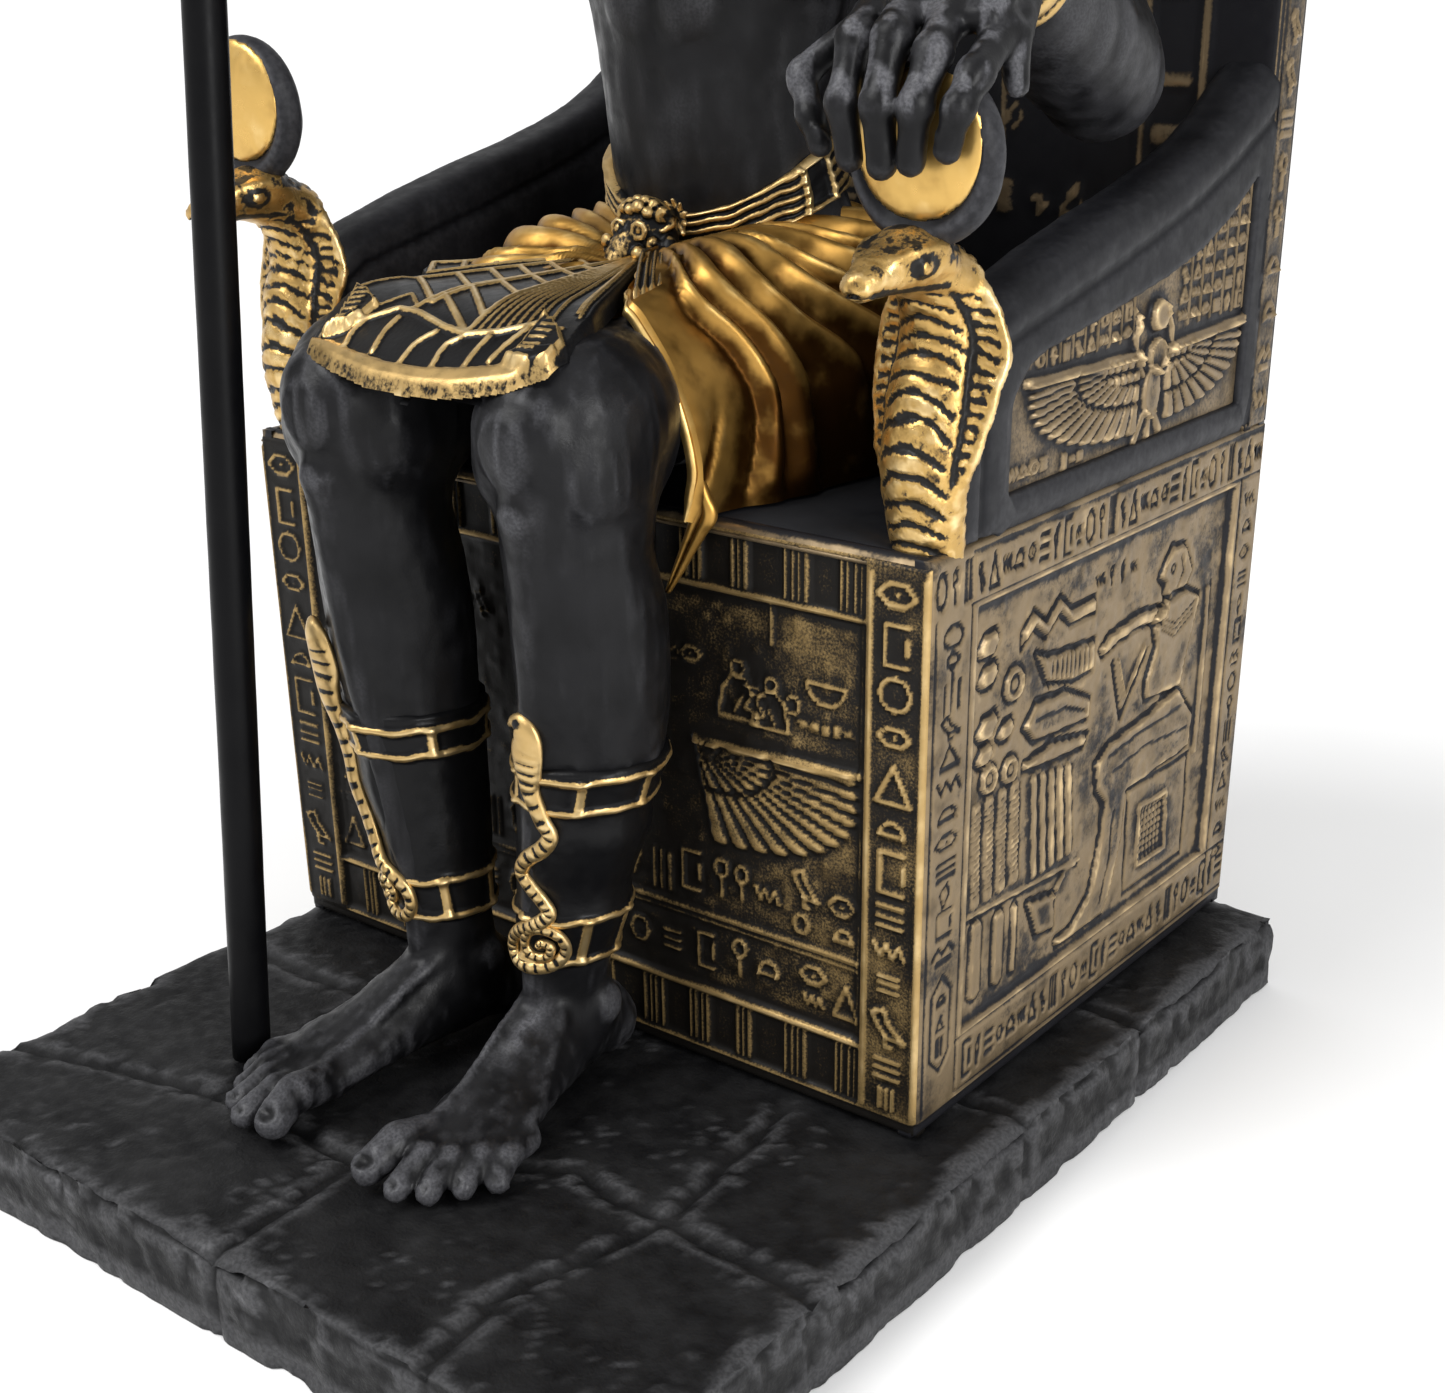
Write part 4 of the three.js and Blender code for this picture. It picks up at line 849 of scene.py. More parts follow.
def offering_signs(relief):
    """The heap of signs before the seated figure: a zigzag, vessels, rings, striped columns and jars."""
    top = [(23.8, 64.9), (26.6, 67.2), (29.9, 64.9), (33.4, 67.4), (36.8, 64.8), (43.3, 64.9)]
    rimmed(relief, top + [(u, v - 2.3) for u, v in top[::-1]], 0.45)
    for path in VESSELS:
        rimmed(relief, path, 0.45)
    for k in range(9):
        u = 32 + 1.25 * k
        relief.line([(u, 58.9 - 0.1 * k), (u, 55.0)], 0.45, -0.4, 0.25)
    relief.line([(28, 51.6), (36, 51), (42, 48.8)], 0.4, -0.35, 0.25)
    for u, v, size in ((15.4, 65.4, 5.4), (15.6, 61.2, 5.0), (15.8, 54.2, 5.6), (15.4, 50.4, 4.6), (20.6, 52.4, 4.4)):
        rimmed(relief, moved(LEAF, u, v, size), 0.4)
    for u, v, r in ((22.2, 58.4, 1.9), (16.8, 46.8, 1.6), (22.1, 46.4, 1.5)):
        relief.ring((u, v), r, 0.7, 0.5)
        relief.ring((u, v), r + 0.75, 0.45, -0.4)
        relief.dot((u, v), r * 0.42, 0.45)
    for k in range(4):
        high, low = 13.9 + 3.25 * k, 14.4 + 3.35 * k
        relief.line([(high, 43.4), (low, 29.8)], 1.9, 0.45, 0.4)
        for j in range(14):
            u, v = mix(high, low, j / 13), mix(42.6, 30.6, j / 13)
            relief.line([(u - 0.8, v), (u + 0.8, v + 0.5)], 0.35, -0.3, 0.25)
        relief.line([(high + 1.6, 43.2), (low + 1.6, 29.2)], 0.5, -0.45, 0.3)
    for k in range(5):
        high, low = 28.6 + 2.4 * k, 29.9 + 2.5 * k
        relief.line([(high, 42.8 - 0.3 * k), (low, 28.2)], 1.2, 0.5, 0.35)
        relief.line([(high + 1.2, 42.6 - 0.3 * k), (low + 1.2, 28.2)], 0.5, -0.45, 0.3)
    relief.line([(13, 28.2), (43, 25.6)], 0.6, 0.4, 0.3)
    relief.line([(13, 27.4), (43, 24.8)], 0.5, -0.4, 0.3)
    relief.line([(36, 22.6), (39, 25.0), (41.4, 25.2)], 0.8, 0.45)
    for u, high, low, width in ((15.2, 25.6, 16.2, 2.6), (21.2, 24.8, 15.8, 2.4), (25.4, 24.8, 15.4, 1.1)):
        relief.line([(u, high), (u, low)], width + 1.1, -0.4, 0.4)
        relief.line([(u, high), (u, low)], width, 0.75, 0.4)
    mark_row(relief, (43, 67), (56, 66.4), 4, 2.8, 3, 4, -0.45)


FIGURE_PARTS = [
    [(63.7, 65), (62.3, 62.8), (64, 61.4), (64.4, 59.6), (66.3, 58.8), (70.5, 59.1), (72.9, 61.7), (70.1, 66.2), (65.8, 66.8)],
    [(66.3, 59.4), (61.1, 56.9), (62.6, 52.6), (60.1, 47.7), (60.5, 44.6), (71.5, 43.6), (73.4, 49.7), (76.2, 57.0),
     (71.4, 59.2)],
    [(71.6, 43.6), (61.1, 42.2), (50, 41.4), (46.2, 39.4), (47, 35), (49.6, 32), (49.0, 26.2), (46.9, 18.7), (41.8, 15.2),
     (37.4, 14.8), (38, 13.4), (51.4, 13.4), (53.6, 17), (55.7, 23.8), (56.3, 31.6), (76.4, 32.4), (77, 38)],
    [(65, 58.2), (56.8, 59.2), (48, 58.2), (45.6, 56.6), (46.6, 55.2), (50.2, 56.2), (57, 56.8), (64, 55.8)],
]


def enthroned(relief):
    """The seated figure in profile that faces the signs, on a block with a hatched square."""
    for path in FIGURE_PARTS:
        rimmed(relief, path, 0.5)
    relief.line([(49.9, 53.4), (53.4, 44.2), (60.6, 52.4)], 0.9, -0.6, 0.4)
    relief.line([(51.4, 53.4), (54.0, 47.2), (59.4, 53.6)], 0.5, 0.4, 0.3)
    for k in range(3):
        relief.line([(62.6 + 0.5 * k, 56.8 - k), (68, 54.6 - k), (74.4 - 0.4 * k, 56.6 - k)], 0.35, -0.3, 0.25)
    relief.line([(50, 39.4), (60, 40.2), (75, 40.4)], 0.4, -0.3, 0.25)
    relief.line([(51.6, 36.6), (62, 37.4), (76, 36)], 0.4, -0.3, 0.25)
    relief.line([(52.4, 30), (52, 22), (50, 16)], 0.4, -0.3, 0.25)
    relief.ring((66.0, 63.4), 0.6, 0.35, -0.3)
    relief.line([(67.6, 60.2), (69.4, 62.2), (68.6, 64.6)], 0.4, -0.35, 0.25)
    block = [(57.6, 31.2), (77.3, 31.0), (77.9, 13.9), (58.5, 13.9)]
    relief.line(block, 0.6, -0.5, 0.3, closed=True)
    square = [(61.5, 27.4), (70.3, 27.0), (71.1, 17.3), (62.0, 17.5)]
    relief.line(square, 0.7, 0.45, 0.3, closed=True)
    for k in range(7):
        relief.line([(62.6 + 1.2 * k, 26.6), (62.4 + 1.25 * k, 18.0)], 0.35, -0.3, 0.25)
        relief.line([(62.0, 25.9 - 1.2 * k), (70.6, 25.7 - 1.2 * k)], 0.3, -0.25, 0.25)
    relief.line([(79, 31), (79.2, 43), (78.8, 57)], 1.2, 0.45, 0.4)
    relief.line([(80.2, 31), (80.4, 43), (80, 58)], 0.5, -0.4, 0.3)


def side_carving(s):
    relief = Relief(0.3, THRONE_DEPTH - 0.3, GAP + 0.05, SEAT - 0.05, 0.39 if s > 0 else 0.8)
    relief.level(rectangle(11.2, 84, PANEL_LOW, 71.6), -SUNK, 0.9)
    flat = np.stack([relief.u.ravel(), relief.v.ravel()], 1)
    blotch = rough_noise(flat, 6, 3, 7 if s > 0 else 9).reshape(relief.u.shape)
    relief.height += 0.12 * np.clip(noise(flat, 1.3, 6), 0, 1).reshape(relief.u.shape) * (relief.height < -0.9)
    offering_signs(relief)
    enthroned(relief)
    for v in (72.5, 79.0, 11.2, 3.2):
        relief.line([(9.5, v), (THRONE_DEPTH - 1, v)], 0.45, -0.35, 0.3)
    mark_row(relief, (1, 75.8), (92, 75.8), 30, 5.4, 2, 5, -0.5, 0.5)
    mark_row(relief, (11, 7.2), (92, 7.2), 27, 5.2, 4, 7, -0.45, 0.5)
    for u in (9.6, 85.6):
        relief.line([(u, 3), (u, 72)], 0.45, -0.35, 0.3)
    relief.line([(1.4, 3), (1.4, 72)], 0.45, -0.3, 0.3)
    for k in range(12):
        mark(relief, 2 + 5 * k, 5.5, 69.5 - 3.9 * k, 3.6, -0.45, 0, 0.12, 1.5)
    capsule = [(3.2, 20.5), (3.2, 11), (5.5, 8.6), (7.8, 11), (7.8, 20.5), (5.5, 22.9)]
    relief.line(capsule, 0.5, -0.45, 0.3, closed=True)
    for k in range(3):
        mark(relief, 8 + 2 * k, 5.5, 19.4 - 3.6 * k, 2.6, -0.4)
    for k in range(15):
        mark(relief, 3 + 5 * k, 89, 69 - 4.2 * k, 3.4, -0.35, 0, 0.12, 0.9)
    kerb = relief.v < 2.5
    relief.height[kerb] = -0.25
    gold = relief.gold(0.4, 1.6) + 0.16 * blotch
    gold[kerb] = 0
    relief.piece(f"side_face_{'left' if s > 0 else 'right'}", side_face(s), "throne", CARVED_GOLD, gold=gold)


def backrest_face():
    relief = Relief(-HALF + 0.3, HALF - 0.3, SEAT - 0.5, BACK_TOP + 0.5, 1.0)
    for s in (-1, 1):
        for u in (40, 48.6):
            relief.line([(s * u, 82), (s * u, BACK_TOP - 6)], 0.8, 0.5)
        for k in range(11):
            v = 90 + 9.4 * k
            for j in range(4):
                relief.line([(s * 41.8, v + 1.15 * j), (s * 46.9, v + 1.15 * j)], 0.55, 0.45, 0.3)
        pilaster_low = 118
        for u in (16.4, 21):
            relief.line([(s * u, pilaster_low), (s * u, BACK_TOP - 12)], 0.5, 0.4)
        for k in range(8):
            mark(relief, k * 5 + 2, s * 18.7, pilaster_low + 4 + 6.8 * k, 3.6, 0.4)
        mark_row(relief, (s * 3, 110.5), (s * 38, 110.5), 6, 5.6, 3 - s)
    for v in (106, 115, BACK_TOP - 8):
        relief.line([(-48.6, v), (48.6, v)], 0.7, 0.5)
    gold = relief.gold(0.12, 1.5)
    relief.piece("backrest_face", BACKREST, "throne", CARVED_GOLD, gold=gold, round_edge=0.4)


def rear_face():
    relief = Relief(-HALF + 0.3, HALF - 0.3, GAP + 0.05, BACK_TOP + CORNICE - 0.3, 1.25)
    relief.level(rectangle(-48, 48, 14, BACK_TOP - 12), -SUNK, 0.9)
    for s in (-1, 1):
        wing(relief, (s * 7, 142), 37, 22, s, 15)
        relief.line([(s * 5.4, 20), (s * 5.4, 118)], 0.8, 0.55)
        for k in range(15):
            mark(relief, 4 + 5 * k, s * 54, 22 + 10.4 * k, 6.0, 0.4)
        for row, v in enumerate((98, 82, 66, 50, 34)):
            mark_row(relief, (s * 10, v), (s * 45, v), 4, 7.5, 2 + row + s, 5, 0.45)
            relief.line([(s * 9, v - 8), (s * 46, v - 8)], 0.5, 0.35)
    relief.ring((0, 143), 7.5, 1.4, 0.6)
    relief.dot((0, 143), 5, 0.7)
    for k in range(9):
        mark(relief, k * 7 + 1, 0, 26 + 10.6 * k, 6.6, 0.45)
    for v in (BACK_TOP, BACK_TOP + CORNICE - 2):
        relief.line([(-58, v), (58, v)], 0.6, -0.4)
    kerb = relief.v < 2.5
    gold = relief.gold(0.36, 0.95)
    gold[kerb] = 0
    relief.piece("rear_face", REAR, "throne", CARVED_GOLD, gold=gold)


def cornice():
    """The hollow moulding that crowns the backrest, with upright leaves and plain ends."""
    along_x = np.linspace(-HALF + 0.2, HALF - 0.2, 241)
    profile = [(BACK + 0.8, BACK_TOP - 2), (BACK - 0.9, BACK_TOP - 1.6), (BACK - 1.0, BACK_TOP - 0.4), (BACK - 0.1, BACK_TOP)]
    for t in np.linspace(0, 1, 10):
        profile.append((BACK - 4 * t * t, BACK_TOP + CORNICE * 0.72 * t))
    profile += [(BACK - 3.9, BACK_TOP + CORNICE - 0.4), (BACK - 3.4, BACK_TOP + CORNICE)]
    profile += [(mix(BACK - 3, THRONE_DEPTH - 0.6, t), BACK_TOP + CORNICE) for t in np.linspace(0, 1, 6)]
    profile += [(THRONE_DEPTH - 0.2, BACK_TOP + CORNICE - 0.5), (THRONE_DEPTH - 1.6, BACK_TOP + CORNICE - 2)]
    points, gold = [], []
    for k, (y, z) in enumerate(profile):
        leaf = 0.35 * np.abs(np.sin(along_x * math.pi / 4)) if 4 <= k <= 13 else 0 * along_x
        points += [(x, y - d + 0.35 * (4 <= k <= 13), z) for x, d in zip(along_x, leaf)]
        gold += list(0.25 + 1.6 * leaf if 4 <= k <= 13 else 0.2 + 0 * along_x)
    faces = [f[::-1] for f in grid_faces(len(profile), len(along_x)).tolist()]
    for end in (0, len(along_x) - 1):
        ring = [k * len(along_x) + end for k in range(len(profile))]
        faces.append(ring if end else ring[::-1])
    mesh_piece("cornice", np.array(points), faces, "throne", CARVED_GOLD, gold=np.array(gold))


ARM_TOP = [(ARM_FRONT, 93), (5.9, 98.8), (8.6, 103.4), (12.4, 106.6), (17, 108.5), (29, 111.9), (42, 115),
           (52, 117), (62, 119.6), (69, 121.8), (75, 124.6), (81, 128.2), (86, 131)]
ARM_PANEL = [(17.3, 84.4), (82, 84.4), (82, 116), (74, 111.2), (66, 107.8), (57, 105.6), (49, 104.2), (37, 102.3),
             (25, 100.6), (21.4, 99.6), (19.5, 98), (17.8, 96.4), (17.3, 94.5)]
ARM_LINE = [(11, 79), (11, 98), (12.2, 101), (15.7, 102.9), (19.9, 103.9), (41.6, 108.6), (53, 111.4), (64.5, 114.6),
            (75, 118.6), (86, 123.8)]


def arm_wall(s):
    """An arm of the throne with a half-round top and a sunk panel on its outer face."""
    step = 0.62
    clay = Clay((ARM_INNER - 2, 2, 74), (HALF + 1.5, 88, 134), step)
    plan = Relief(2, 2 + step * (clay.size[1] - 1), 74, 74 + step * (clay.size[2] - 1), step)
    outline = [(ARM_FRONT, 72)] + ARM_TOP + [(95, 136), (95, 72)]

    def signed(path):
        place, distance, inside = plan.near_path(path, 200, True)
        full = np.full(plan.u.shape, FAR)
        full[place] = np.where(inside, -distance, distance)
        return full.T

    x = (clay.low[0] + step * np.arange(clay.size[0]))[:, None, None]
    edge = signed(outline)[None]
    round_off = 3.4
    a = edge + round_off
    b = np.abs(x - (ARM_INNER + HALF) / 2) - (HALF - ARM_INNER) / 2 + round_off
    clay.field = (np.minimum(np.maximum(a, b), 0) + np.hypot(np.maximum(a, 0), np.maximum(b, 0)) - round_off)
    clay.field = clay.field.astype(np.float32)
    whole = tuple(slice(None) for _ in range(3))
    clay.blend(whole, np.maximum(signed(ARM_PANEL)[None], HALF - 1.7 - x).astype(np.float32), -0.7)
    for x_face in (HALF + 0.1, ARM_INNER - 0.1):
        clay.tube([(x_face, y, z, 0.62, 0.62) for y, z in ARM_LINE], -0.5, turns=1)
    points, faces = clay.skin(0.004)
    outer = np.where(points[:, 2] < SEAT - 0.1, HALF - 1.6, HALF)
    points[:, 0] = np.clip(points[:, 0], ARM_INNER, outer) * s
    points[:, 1] = np.minimum(points[:, 1], BACK + 1)
    faces = faces if s > 0 else [f[::-1] for f in faces]
    points += normals_of(points, faces) * (0.05 * rough_noise(points, 2.4, 2, 3))[:, None]
    wear = 0.2 * np.clip(ridges_of(points, faces, 3, 0.16), 0, 1)
    mesh_piece(f"arm_{'left' if s > 0 else 'right'}", points, faces, "throne", THRONE_BLACK, wear=wear)


def arm_relief(s):
    """Feathered wings that spread from a beetle-like body with raised arms, with columns of signs above."""
    relief = Relief(15, 84, 82, 118, 0.3 if s > 0 else 0.65)
    relief.height -= SUNK
    wing(relief, (50.8, 96.3), 29.4, 10.8, -1, 14, 0.8, 0.6, 0, 0.36)
    wing(relief, (58.6, 96.0), 23.6, 10.0, 1, 11, 0.8, 0.6, 0, 0.3)
    relief.dot((54.2, 90.8), 2.4, 0.9, 1.5)
    relief.dot((55.4, 95.4), 2.4, 0.7)
    relief.ring((55.4, 95.4), 2.2, 0.45, 0.4)
    relief.dot((55.2, 100.8), 2.1, 1.2)
    for path in ([(51.8, 93.4), (49.7, 95.7), (49.2, 98.6), (49.8, 101.2)], [(57.4, 94), (59.6, 96.4), (59.4, 98.8), (57.8, 101)]):
        relief.line(path, 0.9, 0.7, 0.4)
        for k in range(3):
            u, v = path[-1]
            relief.line([(u, v - 1.1 * k), (u - 1.2 + 0.4 * k, v + 1.0 - 1.1 * k)], 0.4, 0.5, 0.3)
    for path in ([(52.6, 88), (50.6, 84.8)], [(55.8, 87.6), (57.8, 85.2)], [(54.2, 87), (54.4, 85)]):
        relief.line(path, 1.2, 0.6, 0.5)
    for k, u in enumerate((24.6, 27.8, 31.0, 34.2, 37.4, 40.6, 43.8, 47.0)):
        relief.line([(u + 1.6, 98.6), (u + 1.6, 104)], 0.35, 0.35, 0.3)
        mark(relief, 2 + 5 * k, u, 99.6, 1.9, 0.42, 0, 0.16, 1.0)
        mark(relief, 3 + 7 * k, u, 102.2, 1.9, 0.42, 0, 0.16, 1.0)
    for k, u in enumerate((63.0, 66.4, 69.8, 73.2, 76.6, 80.0)):
        relief.line([(u + 1.7, 98.2), (u + 1.7, 116)], 0.35, 0.35, 0.3)
        for j in range(6):
            mark(relief, 3 + 5 * k + 7 * j, u, 99.6 + 2.7 * j, 2.1, 0.42, 0, 0.16, 1.0)
    mark_row(relief, (18, 86.4), (28, 86.4), 4, 3.0, 3, 5, 0.4)
    mark_row(relief, (31, 85.6), (37, 85.6), 3, 1.8, 0, 3, 0.4)

    def keep(u, v):
        top = np.interp(u, [p[0] for p in ARM_TOP], [p[1] for p in ARM_TOP])
        return v < top - 3.5

    relief.piece(f"arm_relief_{'left' if s > 0 else 'right'}", side_face(s), "throne", CARVED_GOLD, keep,
                 gold=relief.gold(0.38, 1.2))


def post_face(s):
    """The carved edge of the backrest slab above the seat block."""
    relief = Relief(BACK + 0.2, THRONE_DEPTH - 0.3, SEAT - 0.2, BACK_TOP + 0.4, 0.45)
    for v in np.arange(84, BACK_TOP - 2, 6.4):
        mark(relief, int(v) % 7 + 3, 89, v, 4.6, 0.4)
    for u in (BACK + 0.9, THRONE_DEPTH - 1):
        relief.line([(u, SEAT), (u, BACK_TOP)], 0.4, -0.35)
    relief.piece(f"post_face_{'left' if s > 0 else 'right'}", side_face(s), "throne", CARVED_GOLD,
                 gold=relief.gold(0.34, 1.0))


# Cobras of the throne
COBRA_SPINE = dict(
    lean=[(79, 5.8), (84, 4.6), (90, 3.8), (97, 5.2), (104, 7.2), (110, 6.8)],
    hood=[(79, 4.2), (86, 5.2), (93, 7.6), (98.5, 8.7), (103.5, 9.3), (107.5, 8.2), (111, 5.2)],
    belly=[(79, 4.2), (88, 4.9), (97, 5.2), (104, 4.8), (111, 3.8)],
)
EYE = (-2.6, 113.9)


def cobra_forms(clay, x):
    hood, belly = [], []
    for z in np.linspace(79.5, 111.5, 12):
        lean = float(along(COBRA_SPINE["lean"], z))
        hood.append((x, lean + 1.2, z, float(along(COBRA_SPINE["hood"], z)), 1.9))
        belly.append((x, lean, z, float(along(COBRA_SPINE["belly"], z)), 3.7))
    clay.tube(hood, turns=2)
    clay.tube(belly, 2.2, turns=2)
    clay.tube([(x, 6.4, 109.5, 4.4, 3.8), (x, 3.2, 112.8, 4.7, 3.9), (x, -1.5, 113.9, 4.3, 3.4),
               (x, -6.4, 113.1, 3.0, 2.4), (x, -9.6, 112.3, 2.2, 1.7)], 2.0)
    clay.ball((x, 1, 114.8), (4.6, 4.4, 3.0), 1.5)
    for side in (-1, 1):
        clay.tube([(x + side * 3.9, 1.2, 115.6, 0.9, 0.8), (x + side * 3.6, -2.6, 115.6, 0.9, 0.8),
                   (x + side * 2.3, -6.4, 114.6, 0.6, 0.6)], 0.8)
        clay.ball((x + side * 4.0, EYE[0], EYE[1]), (0.9, 1.5, 1.1), 0.3)
        clay.tube([(x + side * 4.9, 3.0, 112.2, 0.35, 0.45), (x + side * 4.3, -1.5, 111.6, 0.35, 0.45),
                   (x + side * 2.6, -7.6, 111.4, 0.35, 0.4), (x, -10.8, 111.4, 0.35, 0.35)], -0.35)
        clay.ball((x + side * 1.2, -11.0, 113.0), (0.5, 0.5, 0.4), -0.2)


def cobra(s):
    clay = Clay((44, -15, 78), (66.5, 15, 119), 0.44 if s > 0 else 0.62)
    x = COBRA_X
    cobra_forms(clay, x)
    points, faces = clay.skin()
    normals = normals_of(points, faces)
    px, py, pz = points.T
    across = (px - x) / along(COBRA_SPINE["hood"], pz)
    front = smooth(0.15, 0.45, -normals[:, 1]) * smooth(111.2, 109.6, pz)
    wide = along(COBRA_SPINE["belly"], pz) / along(COBRA_SPINE["hood"], pz) * 1.02
    inner = smooth(wide + 0.04, wide - 0.04, np.abs(across))
    ragged = 0.16 * noise(points, 2.0, 15)
    pitch = mix(2.5, 1.9, smooth(84, 104, pz))
    phase = (111 - pz - 0.075 * (px - x) ** 2) / pitch + ragged
    gap = 1 - np.abs((phase % 1) * 2 - 1)
    groove = smooth(0.42, 0.1, gap) * smooth(1.02, 0.7, np.abs(across) / wide)
    band = 1 - groove
    fine = (pz + 0.02 * (px - x) ** 2) / 1.6 + ragged
    edge_line = smooth(0.0, 0.07, np.abs(np.abs(across) - wide - 0.03))
    squares = smooth(0.1, 0.55, 1 - np.abs((fine % 1) * 2 - 1)) * edge_line
    smooth_rim = smooth(0.84, 0.9, np.abs(across))
    scale = inner * band + (1 - inner) * np.maximum(squares, smooth_rim)
    behind = smooth(0.1, 0.4, normals[:, 1])
    cell = (1 - np.abs(((pz / 2.1 + px / 3.0) % 1) * 2 - 1)) * (1 - np.abs(((pz / 2.1 - px / 3.0) % 1) * 2 - 1))
    depth = 0.45 * front * (1 - scale) + 0.2 * behind * smooth(0.35, 0.1, cell)
    rim = front * smooth(0.9, 0.97, np.abs(across))
    points -= normals * (depth - 0.14 * rim)[:, None]
    points += normals * (0.1 * rough_noise(points, 1.4, 3, 5))[:, None]
    out = np.hypot((py - EYE[0]) / 1.9, (pz - EYE[1]) / 1.3)
    eye = smooth(1.15, 0.9, out) * smooth(0.5, 0.62, out) * (np.abs(px - x) > 2.5)
    mouth = smooth(111.9, 111.5, pz) * smooth(110.8, 111.2, pz) * (py < 2.6)
    speck = smooth(0.15, 0.6, rough_noise(points, 1.5, 3, 65))
    wash = smooth(113.6, 116, pz) * 0.32 + 0.3 * speck * smooth(109, 112, pz)
    gold = 0.66 + 0.4 * ridges_of(points, faces, 4, 0.25) - 1.2 * front * (1 - scale) + 0.2 * rim
    dirt = smooth(-0.1, 0.7, rough_noise(points, 1.1, 3, 67)) * smooth(109, 104, pz)
    gold -= 0.9 * eye + 0.7 * mouth + 0.3 * behind + wash + 0.18 * speck + 0.34 * dirt
    points[:, 0] *= s
    faces = faces if s > 0 else [f[::-1] for f in faces]
    mesh_piece(f"cobra_{'left' if s > 0 else 'right'}", points, faces, "throne", COBRA_GOLD, gold=gold)


def disc(s):
    """The disc on a cobra's head: a deep black bowl round a mottled gold face."""
    x, y, z = DISC
    for name, centre, radii, material in (
            ("cup", (x, y + 0.4, z), (9.8, 4.4, 9.9), THRONE_BLACK),
            ("face", (x + 0.2, y - 1.3, z + 1.3), (8.3, 1.2, 8.1), DISC_GOLD)):
        clay = Clay(np.array(centre) - 11.5, np.array(centre) + 11.5, 0.5)
        clay.ball(centre, radii, 1.0)
        if name == "cup":
            clay.keep(1, y - 1.9, 1)
            clay.ball((x, y - 2.6, z + 0.6), (8.8, 2.6, 8.8), -0.4)
            clay.tube([(COBRA_X, 3.0, 113.4, 3, 2), (COBRA_X + 0.4, 2.6, 117.6, 2.6, 1.8)], 2.0)
        points, faces = clay.skin(0.003)
        points += normals_of(points, faces) * (0.06 * rough_noise(points, 2.6, 2, 9))[:, None]
        points[:, 0] *= s
        faces = faces if s > 0 else [f[::-1] for f in faces]
        ridge = np.clip(ridges_of(points, faces, 4, 0.2), 0, 1)
        mesh_piece(f"disc_{name}_{'left' if s > 0 else 'right'}", points, faces, "throne", material,
                   wear=0.5 * ridge, gold=0.62 + 0.3 * noise(points, 2.6, 4))


# Swept forms
def sweep(rows, sides=24, across=(1, 0, 0), turns=6):
    """A closed tube of elliptical sections, with each point's station, turn and outward way."""
    rows = curve_through(rows, turns) if turns > 1 else np.array(rows, float)
    centres = rows[:, :3]
    ahead = np.vstack([centres[1:], centres[-1:]])
    behind = np.vstack([centres[:1], centres[:-1]])
    way = ahead - behind
    way /= np.linalg.norm(way, axis=1)[:, None]
    side = np.array(across, float) - way * (way @ np.array(across, float))[:, None]
    side /= np.linalg.norm(side, axis=1)[:, None]
    up = np.cross(way, side)
    turn = 2 * math.pi * np.arange(sides) / sides
    ring = (side[:, None] * (rows[:, 3:4, None] * np.cos(turn)[None, :, None])
            + up[:, None] * (rows[:, 4:5, None] * np.sin(turn)[None, :, None]))
    points = (centres[:, None] + ring).reshape(-1, 3)
    outward = (ring / np.maximum(np.linalg.norm(ring, axis=2), 1e-6)[..., None]).reshape(-1, 3)
    count = len(rows)
    faces = grid_faces(count, sides, True).tolist()
    faces += [list(range(sides))[::-1], list(range((count - 1) * sides, count * sides))]
    if signed_volume(points, [f for f in faces if len(f) == 4]) < 0:
        faces = [f[::-1] for f in faces]
    station = np.repeat(np.arange(count) / (count - 1), sides)
    return points, faces, station, np.tile(turn, count), outward


def staff():
    def at(z, r):
        return (STAFF_FOOT[0], STAFF_FOOT[1] + z * STAFF_LEAN, z, r, r)

    r = STAFF_RADIUS - 0.03
    top = STAFF_TOP
    rows = [at(0.32, r)] + [at(z, r) for z in np.linspace(8, top - 27, 24)]
    rows += [at(top - d, r + more) for d, more in (
        (26, 0), (25.7, 0.9), (23.2, 0.9), (22.8, 0), (20, 0.4), (16, 1.7), (13, 2.3), (9, 2.9), (6, 3.1), (3, 2.0),
        (1.2, 0.2), (0.2, -1.9))]
    points, faces, station, turn, outward = sweep(rows, 28, turns=2)
    bud = smooth(top - 22, top - 14, points[:, 2]) * smooth(top - 1, top - 6, points[:, 2])
    petal = np.abs(np.sin(turn * 4))
    points -= outward * (0.35 * bud * (1 - smooth(0, 0.5, petal)))[:, None]
    band = smooth(top - 26.2, top - 25.6, points[:, 2]) * smooth(top - 22.6, top - 23.2, points[:, 2])
    points += outward * (0.03 * noise(points, 3, 2))[:, None]
    points[:, 2] = np.maximum(points[:, 2], 0.31)
    mesh_piece("staff_rod", points, faces, "staff", SATIN, wear=0.2 * band + 0.3 * (1 - bud) * bud)


# Figure
SHIN = dict(
    x=[(11, 10.8), (20, 11.6), (30, 13.1), (42, 15.2), (54, 17), (66, 17.8), (78, 17.6), (92, 17.2)],
    y=[(11, -13.5), (20, -14), (42, -13.2), (54, -12.8), (66, -13.2), (78, -15), (92, -14)],
    a=[(11, 5.8), (20, 6.3), (30, 7.3), (42, 8.6), (54, 9.9), (66, 10.4), (78, 9.8), (92, 11.3)],
    b=[(11, 7.2), (20, 6.7), (30, 7.7), (42, 8.9), (54, 10.2), (66, 10.9), (78, 10.2), (92, 11)],
)
GREAVE = dict(low=21.0, ankle=28.6, shin=44.6, top=50.4)
TOES = [(9.3, -51.8, 3.0), (14.8, -52.2, 2.2), (18.6, -50.2, 2.1), (21.3, -46.8, 2.0), (23.8, -43.0, 1.9)]


